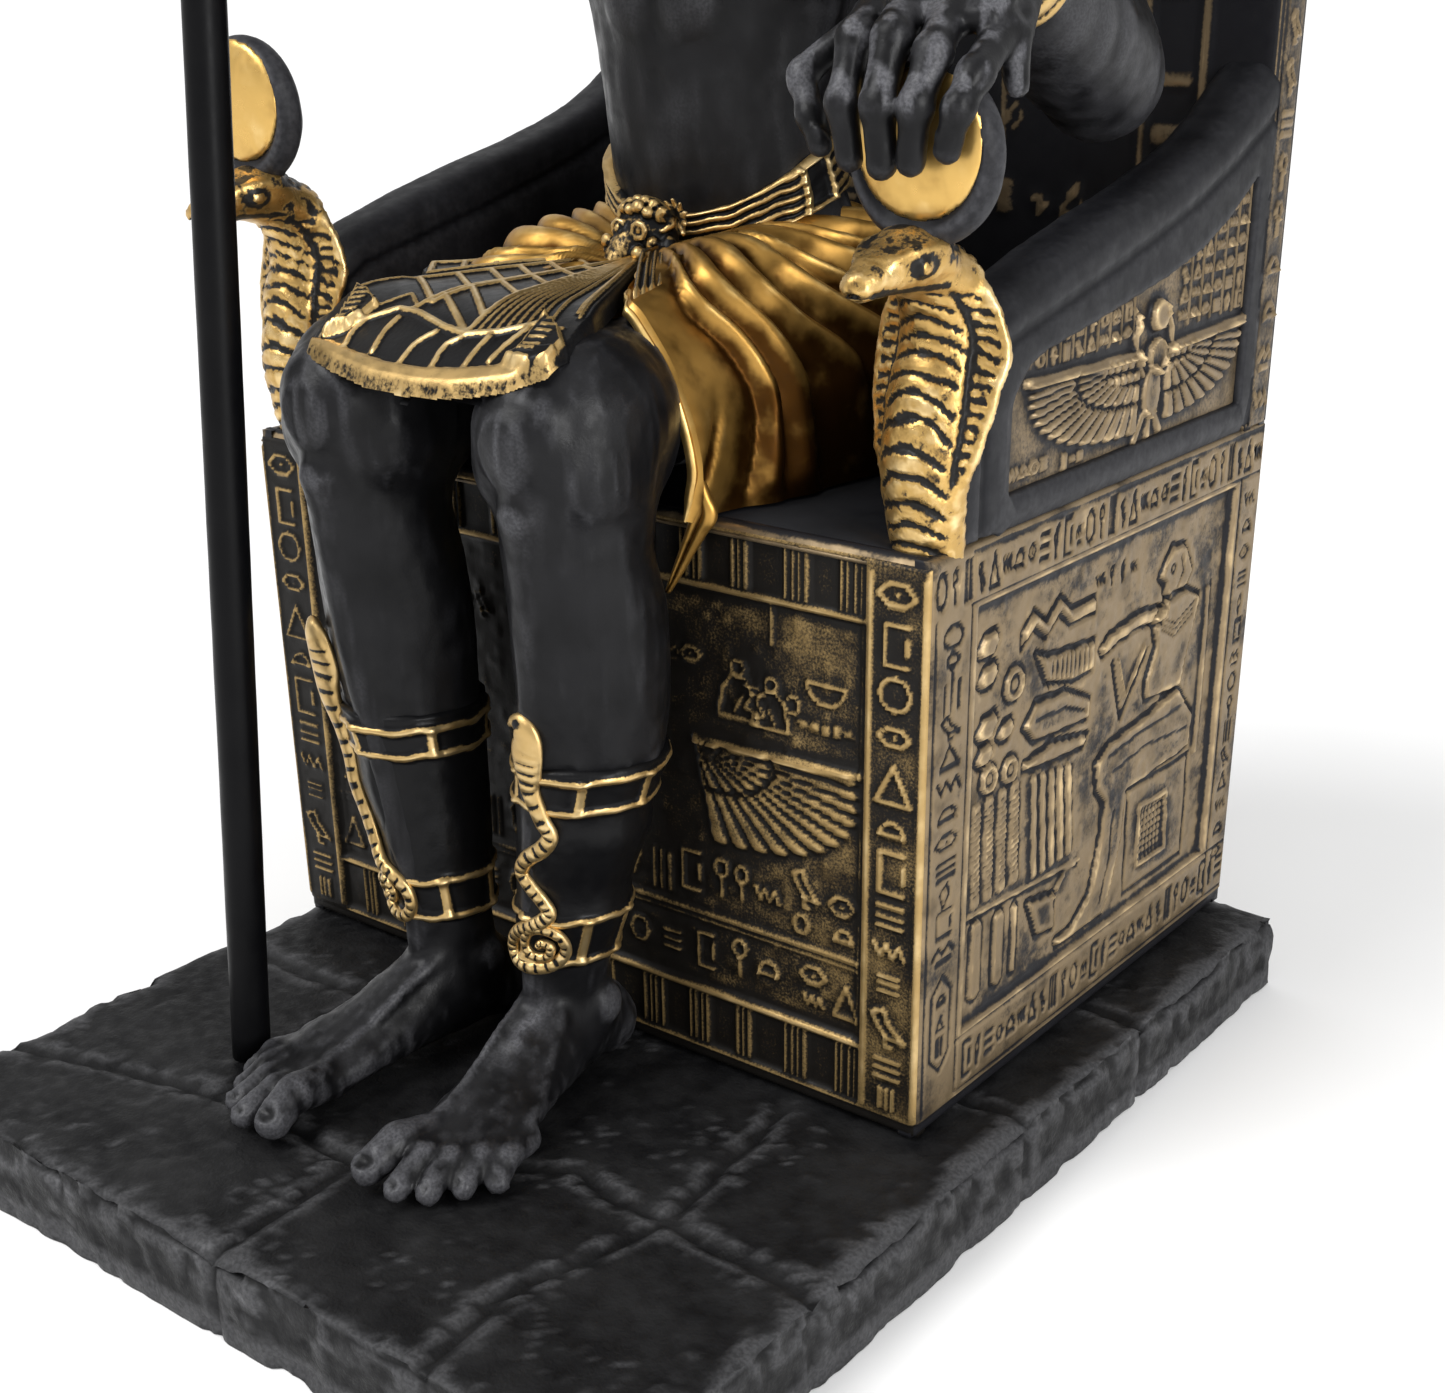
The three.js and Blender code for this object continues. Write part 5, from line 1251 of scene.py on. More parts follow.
def shin_at(z):
    return [along(SHIN[key], z) for key in ("x", "y", "a", "b")]


def leg_forms(clay):
    """Bony legs with knee caps, shin ridges, calves and ankle bones, drawn for the +X side."""
    clay.tube([(15.2, 12, 93.6, 9.8, 10.8), (15.8, -4, 93, 9.9, 10.8), (17, -16, 92, 9.9, 10)], 1)
    rows = [(float(x), float(y), z, float(a) - 0.5, float(b) - 0.6)
            for z in (94, 86, 78, 70, 62, 54, 46, 38, 30, 22, 14, 9)
            for x, y, a, b in [shin_at(z)]]
    clay.tube(rows, 4, turns=2)
    clay.ball((17.2, -23.6, 93.2), (6.6, 3.6, 6.8), 2.2)
    clay.ball((17.4, -26.2, 92.2), (3.6, 1.4, 4.0), 2.0)
    for x, z in ((11.2, 88.5), (23.2, 88.5)):
        clay.ball((x, -18.6, z), (4.4, 5.0, 5.2), 3)
    clay.tube([(17.6, -25.2, 84, 2.6, 2.0), (17.2, -23.4, 76, 2.2, 1.6), (16.4, -22.9, 62, 2.0, 1.6),
               (14.2, -21.3, 44, 1.8, 1.5), (11.6, -20.2, 24, 1.7, 1.4), (10.6, -20, 12, 1.4, 1.2)], 3)
    clay.tube([(24.6, -17, 80, 1.6, 2.0), (25.6, -13.4, 66, 2.2, 3.0), (23.6, -12, 52, 1.6, 2.0)], 3)
    clay.tube([(11, -17, 78, 1.6, 2), (9, -12.4, 64, 2, 3.2), (9.6, -11, 50, 1.4, 2)], 3)
    clay.ball((16.3, -11.8, 12.4), (2.0, 2.8, 3.0), 1.8)
    clay.ball((5.9, -12.2, 13), (1.8, 2.6, 2.8), 1.8)


def foot_forms(clay):
    """A bare foot with tendons over the instep and knuckled toes."""
    clay.tube([(9.8, -4.6, 4.8, 3.8, 4.4), (10.2, -9, 7.2, 5.0, 6.4), (11.4, -17, 8.0, 5.4, 7.4),
               (13, -27, 5.6, 6.4, 4.8), (15, -37, 3.9, 7.5, 3.1), (16.0, -42.5, 3.0, 7.2, 2.4)], 2, turns=3)
    clay.ball((9.6, -5.6, 4.6), (4.4, 4.4, 4.4), 2)
    for k, (x, y, r) in enumerate(TOES):
        bx, by = mix(11.0, 21.4, k / 4), mix(-38.5, -33.5, k / 4)
        mx, my = mix(bx, x, 0.55), mix(by, y, 0.55)
        clay.tube([(bx, by, 3.2, r * 0.9, r + 0.1), (mx, my, r + 1.6, r * 0.82, r * 0.88),
                   (mix(bx, x, 0.8), mix(by, y, 0.8), r + 0.7, r * 0.84, r * 0.8),
                   (x, y + 1.0, r * 0.95, r * 0.8, r * 0.76)], 0.6)
        clay.ball((mx, my, r + 2.1), (r * 0.9, r * 0.9, r * 0.78), 0.9)
        sx, sy = mix(8.6, 14.2, k / 4), -18.6
        clay.tube([(sx, sy, 14.8 - 0.3 * k, 0.8, 0.9), (mix(sx, bx, 0.4), mix(sy, by, 0.4), 11.5 - 0.5 * k, 0.75, 0.9),
                   (mix(sx, bx, 0.75), mix(sy, by, 0.75), 7.7 - 0.35 * k, 0.7, 0.9), (bx, by, 6.1 - 0.25 * k, 0.8, 0.9)],
                  1.3)
        centre = nail_of(x, y, r)
        clay.ball(centre, (r * 0.72, r * 0.55, r * 0.5), 0.25)
        clay.ball(centre + (0, -0.35 * r, 0.35 * r), (r * 0.5, r * 0.42, r * 0.4), -0.2)


def nail_of(x, y, r):
    return np.array([x, y + 0.35 * r, r * 1.28])


def mirror_clay(clay):
    """Adds the other side of what stands on the +X side of a block that is even about x = 0."""
    clay.field = np.minimum(clay.field, clay.field[::-1])


def limb_grain(points, coarse):
    """Wrinkles and grain that run along upright limbs, as a height for each point."""
    crease = rough_noise(points * (1, 1, 0.4), coarse, 3, 13)
    cord = np.abs(noise(points * (1, 1, 0.16), coarse * 0.6, 17))
    return 0.14 * crease + 0.2 * (0.35 - cord)


def legs():
    step = 0.74
    span = step * math.ceil(33 / step)
    clay = Clay((-span, -57, 0), (span, 14, 110), step)
    leg_forms(clay)
    foot_forms(clay)
    mirror_clay(clay)
    clay.keep(2, GAP + 0.02, 1)
    clay.keep(1, 8.0, -1)
    place, _ = clay.window((-40, -GAP, -5), (40, 60, SEAT + GAP + 0.02))
    clay.field[place] = FAR
    points, faces = clay.skin()
    normals = normals_of(points, faces)
    px, py, pz = points.T
    bare = smooth(49, 51, pz) + smooth(20, 18, pz)
    points += normals * (bare * limb_grain(points, 3.4))[:, None]
    covered = smooth(0.3, 2.6, py - along(SKIRT_EDGE, px)) * smooth(80, 84, pz)
    points -= normals * (2.6 * covered)[:, None]
    points[:, 2] = np.maximum(points[:, 2], GAP + 0.02)
    knee = np.exp(-(((np.abs(px) - 17.3) / 9) ** 2 + ((py + 24) / 7) ** 2 + ((pz - 92) / 10) ** 2))
    toe = smooth(-40, -47, py)
    ridge = ridges_of(points, faces, 6, 0.42)
    fine = ridges_of(points, faces, 2, 0.1)
    streak = smooth(-0.1, 0.5, noise(points * (1, 1, 0.12), 1.3, 19))
    foot = smooth(24, 16, pz)
    wear = 0.3 * smooth(0.35, 1.0, ridge) + 0.35 * smooth(0.3, 1.0, fine) * (0.25 + knee + 0.3 * toe + 0.5 * foot)
    wear += 0.25 * knee * streak + 0.14 * streak * foot * smooth(0.3, 0.8, normals[:, 2])
    grey_mix = np.exp(-(((px - 12.6) / 1.3) ** 2 + ((py + 22) / 7) ** 2 + ((pz - 12) / 4) ** 2))
    wear += 0.8 * grey_mix * smooth(-0.3, 0.3, streak)
    mesh_piece("legs_and_feet", points, faces, "figure", SKIN, wear=wear)


GREAVE_BARS = {
    1: ((21.0, 28.9, (-32, 18, 78, 138, -162, -100)), (44.6, 50.4, (-53, 1, 62, 122, -178, -115))),
    -1: ((21.0, 27.6, (-140, -20, 40, 100, 160)), (45.0, 49.8, (-84, -149, -30, 25, 85, 150))),
}


def greave(s):
    """The shin guard: a close black shell between two bands of gold cells."""
    sides, rows = 156, 90
    zs = np.linspace(GREAVE["low"] - 0.7, GREAVE["top"] + 0.9, rows)
    turn = 2 * math.pi * np.arange(sides) / sides
    x, y, a, b = (part[:, None] for part in shin_at(zs))
    z = zs[:, None] + 0 * turn
    wander = 0.16 * np.sin(5 * turn + s) + 0.1 * np.sin(11 * turn)
    height = np.full(z.shape, 0.3)
    gold = np.zeros(z.shape)
    for low, high, bars in GREAVE_BARS[s]:
        band = smooth(low - 0.1, low + 0.5, z) * smooth(high + 0.1, high - 0.5, z)
        height += 0.12 * band
        for level in (low + 0.6, high - 0.6):
            line = np.exp(-((z - level + wander) / 0.55) ** 4)
            height += 0.5 * line
            gold = np.maximum(gold, line)
        for degrees in bars:
            away = np.abs((turn - math.radians(degrees) + math.pi) % (2 * math.pi) - math.pi) * a
            bar = np.exp(-(away / 0.7) ** 4) * band
            height += 0.42 * bar
            gold = np.maximum(gold, bar)
    ridge = 0.5 * np.exp(-((turn - 1.5 * math.pi) / 0.28) ** 2)
    points = np.stack([s * (x + (a + height) * np.cos(turn)), y + (b + height + ridge) * np.sin(turn), z], -1)
    points[[0, -1]] = np.stack([s * (x[[0, -1]] + (a[[0, -1]] - 0.9) * np.cos(turn)),
                                y[[0, -1]] + (b[[0, -1]] - 0.9) * np.sin(turn), z[[0, -1]]], -1)
    points = points.reshape(-1, 3)
    faces = grid_faces(rows, sides, True).tolist()
    faces = faces if signed_volume(points, faces) > 0 else [f[::-1] for f in faces]
    points += normals_of(points, faces) * (0.05 * rough_noise(points * (1, 1, 0.5), 1.4, 2, 23))[:, None]
    mesh_piece(f"greave_{'left' if s > 0 else 'right'}", points, faces, "figure", TRIM_GOLD,
               gold=gold.reshape(-1) * 1.15 - 0.25)


# The shin snakes: height, offset outward from the middle of the shin, and half width
SHIN_SNAKES = {
    1: [(56.6, -4.2, 0.5), (57.2, -3.2, 1.0), (57.0, -1.9, 1.7), (55.3, -1.0, 2.3), (53.0, -1.2, 2.6), (50.4, -0.9, 2.1),
        (48.0, -0.4, 1.5), (44.2, 1.5, 1.3), (42.0, 2.7, 1.2), (39.9, 1.5, 1.2), (37.6, -1.0, 1.15), (35.3, -1.8, 1.1),
        (33.5, 0.0, 1.1), (31.7, 2.0, 1.1), (30.1, 3.0, 1.1), (28.7, 2.0, 1.1), (27.5, 0.3, 1.05), (26.4, -1.5, 1.05),
        (24.6, -3.0, 1.0), (22.4, -3.2, 1.0), (20.9, -1.8, 1.0), (20.8, 0.8, 0.95), (21.8, 3.6, 0.9), (24.0, 5.0, 0.85),
        (26.4, 4.4, 0.8), (27.5, 2.2, 0.8), (26.6, 0.0, 0.75), (24.4, -0.6, 0.7), (22.8, 0.9, 0.7), (23.1, 2.9, 0.65),
        (24.7, 3.3, 0.65), (25.2, 2.1, 0.6), (24.6, 1.6, 0.5)],
    -1: [(60.6, 9.5, 0.5), (61.6, 8.8, 1.0), (61.4, 7.6, 1.6), (59.4, 6.7, 2.3), (56.0, 6.8, 2.6), (52.0, 7.0, 2.0),
         (47.0, 7.2, 1.4), (43.0, 7.0, 1.3), (39.0, 6.4, 1.2), (35.0, 5.5, 1.15), (31.4, 4.5, 1.1), (28.9, 2.6, 1.1),
         (27.7, 0.3, 1.1), (25.7, -1.6, 1.05), (23.2, -1.4, 1.0), (21.4, 0.4, 0.95), (21.4, 2.9, 0.9), (23.2, 4.9, 0.85),
         (25.6, 4.6, 0.8), (26.5, 2.8, 0.75), (25.2, 1.4, 0.7), (23.6, 2.0, 0.65), (24.0, 3.2, 0.6), (24.6, 3.0, 0.5)],
}


def shin_snake(s):
    """A small flat cobra with a ladder belly that winds down the shin to a spiral tail."""
    rows = []
    for z, out, half in SHIN_SNAKES[s]:
        x, y, a, b = shin_at(z)
        lift = 1.1 if z < 60.5 else 1.6
        front = float(y - (b + lift) * math.sqrt(1 - min(abs(out) / (a + 1.2), 0.93) ** 2))
        rows.append((float(x) + out, front, z, min(0.5 + 0.32 * half, 0.95), half))
    points, faces, station, turn, outward = sweep(mirrored(rows, s), 18, (0, 1, 0), 8)
    front = smooth(0.1, 0.5, -outward[:, 1])
    across = np.abs(np.sin(turn))
    rung = smooth(0.25, 0.6, np.abs(np.sin(station * len(rows) * 5.6)))
    middle = smooth(0.86, 0.66, across) * smooth(0.1, 0.16, station)
    belly = front * middle
    points -= outward * (0.22 * belly * (1 - rung) + 0.3 * np.exp(-((across - 0.8) / 0.08) ** 2) * belly)[:, None]
    eye = np.exp(-((station - 0.055) / 0.014) ** 2) * front * smooth(0.7, 0.3, across)
    gold = 0.85 - 0.85 * belly * (1 - rung) - 0.8 * eye - 0.5 * np.exp(-((across - 0.78) / 0.07) ** 2) * front
    mesh_piece(f"shin_snake_{'left' if s > 0 else 'right'}", points, faces, "figure", TRIM_GOLD, gold=gold)


# Skirt: at five depths, the cloth from the middle over a thigh and down its side, as x and z
SKIRT = {
    -12: [(0, 102), (4, 102.8), (9, 103.9), (13.5, 104.5), (17.6, 104), (20.2, 101.8), (23, 98), (25.4, 93), (26.8, 87.5),
          (26.5, 84), (26, 81)],
    -4: [(0, 103.6), (4, 104.4), (9, 105.5), (13.5, 106), (17.6, 105.3), (20.4, 102.6), (23.4, 98.6), (26, 93),
         (27.4, 87.5), (27, 84), (26.2, 80.5)],
    18: [(0, 107), (5, 108.4), (10, 110.2), (15, 110.9), (19.4, 109.8), (23.4, 106.5), (26.4, 101), (28.6, 94.4),
         (29.7, 88), (30.2, 83.5), (30.6, 80.4)],
    45: [(0, 109.5), (6, 110.8), (12, 112), (17, 112), (22, 110.4), (26.2, 106.4), (29.4, 100), (31.4, 93.4), (32.2, 87),
         (32.4, 83.5), (32.4, 80.4)],
    58: [(0, 105.5), (5, 106.5), (10, 107.5), (14.5, 107.5), (18.6, 106), (22, 103), (24.8, 98.5), (26.6, 92.6), (27.4, 87),
         (27.8, 83.5), (28, 80.4)],
}
SKIRT_EDGE = [(-30, -9), (-20, -10.5), (-14, -9), (-8, -4.4), (-2, 10), (3, 19), (5, 15.5), (8, 10), (12, 4), (15, -1.5),
              (17.6, -4.4)]
VALLEYS = np.array([-96.0, -84, -70, -58, -47, -37, -27, -17, -6, 9, 24, 33, 40, 84, 120])


def skirt_at(y, t, way):
    """The cloth's point at a depth, t of the way from the middle to the seat on one side."""
    depths = sorted(SKIRT)
    tables = np.array([SKIRT[d] for d in depths], float)
    place = np.clip(np.interp(y, depths, np.arange(len(depths))), 0, len(depths) - 1.001)
    k = place.astype(int)
    part = smooth(0, 1, place - k)[..., None]
    at = np.clip(t * (tables.shape[1] - 1), 0, tables.shape[1] - 1.001)
    j = at.astype(int)
    f = (at - j)[..., None]

    def corner(i):
        i = np.clip(i, 0, tables.shape[1] - 1)
        return mix(tables[k, i], tables[k + 1, i], part)

    a, b, c, d = corner(j - 1), corner(j), corner(j + 1), corner(j + 2)
    a = np.where((j == 0)[..., None], corner(1) * (-1, 1), a)
    point = 0.5 * (2 * b + (c - a) * f + (2 * a - 5 * b + 4 * c - d) * f ** 2 + (3 * b - a - 3 * c + d) * f ** 3)
    return way * point[..., 0], point[..., 1]


def fold_height(angle, reach):
    """Folds with sharp valleys and leaning crests between the valley angles."""
    degrees = np.clip(np.degrees(angle), VALLEYS[0] + 0.01, VALLEYS[-1] - 0.01)
    k = np.searchsorted(VALLEYS, degrees, side="right") - 1
    part = (VALLEYS[k + 1] - degrees) / (VALLEYS[k + 1] - VALLEYS[k])
    crest = np.sin(math.pi * part ** 1.5)
    size = mix(0.35, 2.3, smooth(2, 30, reach)) * np.where(k == len(VALLEYS) - 3, 0.75, 1.0)
    return size * (crest - 0.62), crest


def skirt():
    rows, half = 118, 118
    ys = np.concatenate([[-3.6, -4.35, -4.6, -4.4], np.linspace(-4.0, 57.5, rows - 4)])
    ts = np.linspace(-1, 1, 2 * half + 1)
    y = ys[:, None] + 0 * ts
    t = np.abs(ts)[None, :] + 0 * y
    way = np.where(ts < 0, -1.0, 1.0)[None, :] + 0 * y
    x, _ = skirt_at(y, t, way)
    y = y + (along(SKIRT_EDGE, x) + 4.4) * smooth(46, -4.4, y)
    x, z = skirt_at(y, t, way)
    z = z - 1.6 * smooth(-5, -10, x) * smooth(20, 11, y) * smooth(90, 98, z)
    points = np.stack([x, y, z], -1)
    steps = np.hypot(np.diff(x, axis=1), np.diff(z, axis=1))
    run = np.concatenate([np.zeros((rows, 1)), np.cumsum(steps, 1)], 1)
    run -= run[:, half:half + 1]
    across = np.abs(run - 3)
    dy = KNOT[1] - y
    angle = np.arctan2(dy, across + 2) + 0.42 * smooth(16, 36, across)
    flat = np.stack([angle.ravel() * 6, across.ravel() * 0.1 + 9 * (run.ravel() > 3)], 1)
    angle = angle + 0.05 * noise(flat, 1.0, 61).reshape(angle.shape)
    reach = np.hypot(dy, across + 2)
    height, crest = fold_height(angle, reach)
    points = points.reshape(-1, 3)
    faces = grid_faces(rows, 2 * half + 1).tolist()
    if normals_of(points, faces)[:, 2].sum() < 0:
        faces = [f[::-1] for f in faces]
    normals = normals_of(points, faces)
    row = np.repeat(np.arange(rows), 2 * half + 1)
    hem = np.isin(row, (1, 2, 3)) * 1.0
    crease = np.abs(points[:, 1] - mix(-3.2, 2.2, smooth(83, 96, points[:, 2])))
    crease = smooth(1.5, 0.2, crease) * smooth(97, 90, points[:, 2]) * (points[:, 0] > 22) * (1 - hem)
    height = np.where(row < 1, -1.2, height.ravel() * smooth(1, 10, row) + 0.15 * hem + 0.4)
    height *= smooth(80.4, 84, points[:, 2]) * 0.7 + 0.3
    points += normals * (height - 0.5 * crease + 0.03 * rough_noise(points, 1.6, 2, 29))[:, None]
    points[:, 2] = np.maximum(points[:, 2], np.where(points[:, 1] > -0.35, SEAT + GAP + 0.03, 0))
    ridge = ridges_of(points, faces, 6, 0.4)
    gold = 0.42 + 0.3 * ridge + 0.34 * (crest.ravel() - 0.6) * smooth(4, 20, reach.ravel())
    # Along the crease the gold is lowered as a painted shadow.
    gold += 0.35 * hem + 0.16 * noise(points * (1, 1, 0.4), 2.4, 31) - 0.4 * crease
    # Painted shade: on the figure's left the gold fades to black low down and towards the back, where the cloth lies
    # between thigh and throne arm.
    gold -= 1.3 * smooth(103, 87, points[:, 2]) * smooth(2, 12, points[:, 1]) * (points[:, 0] > 0)
    mesh_piece("skirt_folds", points, faces, "figure", CLOTH_GOLD, gold=gold)


def skirt_tip():
    """The corner of the skirt that hangs to a point in front of the seat."""
    rows = [(27.6, -2.6, 85.5, 0.4, 0.6), (27.8, -2.6, 83.5, 1.2, 1.0), (27.8, -2.5, 81.6, 2.0, 1.2),
            (26.9, -2.6, 79.6, 1.5, 1.1), (25.3, -2.7, 76.6, 1.1, 0.9), (23.6, -2.8, 73.4, 0.75, 0.7),
            (22.0, -3.0, 70.4, 0.4, 0.4)]
    points, faces, station, turn, outward = sweep(rows, 44, turns=10)
    crease = smooth(0.0, 0.5, np.abs(np.cos(turn) + 0.15 - 0.3 * station))
    front = smooth(0.1, 0.5, -outward[:, 1])
    points -= outward * (0.8 * front * (1 - crease) * smooth(1.0, 0.8, station))[:, None]
    points[:, 1] = np.minimum(points[:, 1], -GAP - 0.05)
    hem = smooth(0.6, 0.85, -np.cos(turn))
    mesh_piece("skirt_corner", points, faces, "figure", CLOTH_GOLD, gold=0.1 + 0.5 * crease + 0.4 * hem)


def sash_tail():
    """The small pleated end of the sash that lies beside the knot."""
    columns, rows = 34, 40
    u, v = np.meshgrid(np.linspace(0, 1, columns), np.linspace(0, 1, rows))
    left = [mix(4.2, 17.0, v), mix(14.6, -2.4, v)]
    right = [mix(5.4, 16.4, v), mix(18.2, 4.4, v)]
    x, y = mix(left[0], right[0], u), mix(left[1], right[1], u)
    pleat = np.abs(np.sin(u * math.pi * 4)) * smooth(0, 0.3, v)
    z = mix(109.6, 107.0, v) + 0.6 * np.sin(math.pi * v) + 0.45 * pleat
    z = np.where((u <= 0) | (u >= 1) | (v >= 1), z - 2.2, z)
    points = np.stack([x, y, z], -1).reshape(-1, 3)
    faces = grid_faces(rows, columns).tolist()
    if normals_of(points, faces)[:, 2].sum() < 0:
        faces = [f[::-1] for f in faces]
    border = (smooth(0.93, 0.96, v) + smooth(0.06, 0.03, u)).ravel()
    mesh_piece("sash_tail", points, faces, "figure", TRIM_GOLD, gold=0.6 * pleat.ravel() ** 4 + 0.5 * border)


# Apron, drawn from above: the fan of cells and pleats, then the crescent and its rim
FAN_KNOT = ((-4.5, 20.2), (-2.3, 18.7), (0.8, 16.9), (2.2, 15.6))
FAN_ENDS = ((-24.4, 4.4), (-18.6, -2.0), (-14.6, -7.6), (-4.8, -15.0), (-6.2, -16.8), (5.8, -20.1), (18.8, -14.0))
APRON_EDGE = [(3.2, 15.6), (0.8, 17.6), (-4.5, 20.8), (-25.1, 4.6), (-22.8, 0.8), (-18.9, -2.8), (-19.0, -6.4),
              (-20.6, -12.4), (-19.4, -17.6), (-17.2, -24.6), (-11.7, -25.9), (-4.2, -27.1), (2.9, -27.3), (9.2, -26.9),
              (13.4, -26.1), (17.3, -25.1), (21.2, -22.8), (21.5, -20), (20.4, -16.0), (19.4, -12.6)]
CRESCENT_INNER = [(-16.2, -23.5), (-14.8, -22.6), (-10.8, -19.3), (-8.4, -17.2), (-4.7, -17.5), (1.2, -19.3), (5.8, -20.1),
                  (10.3, -18.9), (13.6, -17.1), (14.8, -15.8)]
RIM_INNER = [(-14.2, -24), (-9.3, -24.9), (-2.8, -25.6), (3.3, -25.6), (9.3, -24.9), (14.1, -23.9), (16.7, -22.3)]
VEINS = [[(-6.9, -19.0), (-6.9, -21.4), (-6.1, -24.4)], [(1, -20.4), (-0.4, -22.6), (-0.5, -25.3)],
         [(5.5, -20.8), (4.3, -22.3), (4.8, -25.1)], [(9.5, -20.0), (9.4, -21.9), (9.6, -24.4)],
         [(13.7, -17.8), (13, -21), (12.7, -23.4)], [(-11.6, -20.2), (-11.9, -22.2), (-11.2, -24.2)]]
HOODS = [[(-15.7, -23.5), (-15.5, -21), (-16.9, -17.8), (-19.3, -14.2), (-15.5, -15.6), (-12.3, -17.5), (-12.3, -20.5),
          (-13.2, -22.3)],
         [(15.3, -23.4), (15.8, -21.4), (15.1, -17.9), (14.7, -15.5), (18.2, -17.3), (21, -19.7), (21.3, -22.6),
          (19.9, -24.2)]]


def apron_height(x, y):
    hang = np.maximum(0, -y - 8)
    return 107.6 - 0.03 * (18 - y) - 0.02 * hang ** 2 - 0.8 * smooth(-10, -23, x) * smooth(-12, -2, y)


def cell_row(relief, knots, ends, tops, bottoms):
    """Two edges that run out from the knot, with bars across between them."""
    for knot, end in zip(knots, ends):
        relief.line([knot, end], 0.75, 0.45, 0.3, paint=0.95)
    for top, bottom in zip(tops, bottoms):
        a = mix(np.array(knots[0]), np.array(ends[0]), top)
        b = mix(np.array(knots[1]), np.array(ends[1]), bottom)
        relief.line([a, b], 0.85, 0.4, 0.3, paint=0.95)


def apron_drawing():
    relief = Relief(-25.5, 23, -29, 22.5, 0.27)
    k0, k1, k2, k3 = FAN_KNOT
    p0, p1, p1b, p2, p2b, p3, p4 = FAN_ENDS
    bars = (1, 0.83, 0.66, 0.48, 0.32, 0.16)
    cell_row(relief, (k0, k1), (p0, p1), bars, bars)
    bars = (1, 0.82, 0.66, 0.52, 0.37, 0.23)
    cell_row(relief, (k1, k2), (p1b, p2), bars, bars)
    cell_row(relief, (k2, k2), (p2b, p3), (0.87, 0.75, 0.62, 0.48, 0.34, 0.24), (1, 0.9, 0.71, 0.535, 0.37, 0.25))
    for part in (0.1, 0.19, 0.28, 0.37, 0.46, 0.55, 0.64):
        end = mix(np.array(p3), np.array(p4), part)
        relief.line([mix(np.array(k2), np.array(k3), part), end], 0.42, 0.4, 0.3, paint=0.85)
    for start, end in ((k3, mix(np.array(p3), np.array(p4), 0.76)), (k3, p4), (k3, (17.6, -13.0))):
        relief.line([start, end], 0.5, 0.4, 0.3, paint=0.85)
    relief.line([(-19.6, -13.6), (-17.2, -8.0), (-14.8, -7.8)], 0.5, 0.35, 0.3, paint=0.8)
    relief.line([(-12.4, -17.6), (-9.9, -13.6), (-6.2, -16.2)], 0.5, 0.35, 0.3, paint=0.8)
    relief.line(CRESCENT_INNER, 0.8, 0.5, 0.35, paint=1.0)
    for path in VEINS:
        relief.line(curve_through([(*p, 0) for p in path], 5)[:, :2], 0.8, 0.45, 0.35, paint=1.0)
    rim = RIM_INNER + [(21.6, -21), (21.8, -30), (-18, -30), (-17.6, -24)]
    relief.fill(rim, 0.5, 0.5, paint=0.7)
    relief.line(RIM_INNER, 0.5, 0.25, 0.3, paint=1.0)
    for hood in HOODS:
        relief.fill(hood, 1.1, 1.2)
        place, _, inside = relief.near_path(hood, 0.5, True)
        relief.tone[place] = np.where(inside, 0, relief.tone[place])
        relief.line(hood, 0.6, 0.4, 0.3, True, paint=0.9)
        middle = np.array(hood).mean(0)
        along_hood = unit(np.array(hood[3]) - np.array(hood[0]))
        over = np.array([-along_hood[1], along_hood[0]])
        for k in range(7):
            centre = middle + along_hood * (k - 3) * 1.15
            relief.line([centre - over * 1.1, centre + over * 1.1], 0.45, 0.35, 0.25, paint=0.8)
    return relief


def apron():
    """Cells and pleats that run down to a crescent with gold veins and a hatched rim."""
    relief = apron_drawing()
    _, distance, inside = relief.near_path(APRON_EDGE, 60, True)
    outside = np.where(inside, -distance, distance)
    slope_v, slope_u = np.gradient(outside, relief.step)
    beyond = np.maximum(outside - 0.6, 0)
    u, v = relief.u - beyond * slope_u, relief.v - beyond * slope_v
    fall = smooth(-0.1, 0.6, outside)
    low = mix(0.9, 2.6, smooth(-22, -17, relief.v))
    z = apron_height(relief.u, relief.v) + relief.height * (1 - fall) - low * fall
    rows, columns = relief.u.shape
    points = np.stack([u, v, z], -1).reshape(-1, 3)
    faces = grid_faces(rows, columns)
    faces = faces[(outside.ravel() < 0.95)[faces].all(1)]
    if normals_of(points, faces.tolist())[:, 2].sum() < 0:
        faces = faces[:, ::-1]
    hatch = smooth(-0.1, 0.4, noise(points * (1, 1, 0.25), 0.7, 41))
    gold = relief.tone.ravel() * (1 - 0.85 * fall.ravel())
    front = smooth(-20, -23, points[:, 1]) * fall.ravel()
    gold = np.maximum(gold, front * mix(0.48, 0.85, hatch))
    used = np.unique(faces)
    order = np.full(len(points), -1)
    order[used] = np.arange(len(used))
    mesh_piece("apron_panel", points[used], order[faces], "figure", TRIM_GOLD, gold=gold[used])
    apron_underside(relief, outside)


def apron_underside(relief, outside):
    """A plain sheet that closes the apron from below."""
    pick = (slice(None, None, 5), slice(None, None, 5))
    u, v, far = relief.u[pick], relief.v[pick], outside[pick].ravel()
    points = np.stack([u, v, apron_height(u, v) - 2.4], -1).reshape(-1, 3)
    faces = grid_faces(*u.shape)
    faces = faces[(far < 0.4)[faces].all(1)]
    if normals_of(points, faces.tolist())[:, 2].sum() > 0:
        faces = faces[:, ::-1]
    used = np.unique(faces)
    order = np.full(len(points), -1)
    order[used] = np.arange(len(used))
    mesh_piece("apron_underside", points[used], order[faces], "figure", SKIN, wear=np.zeros(len(used)))


BELT_END = -11.0


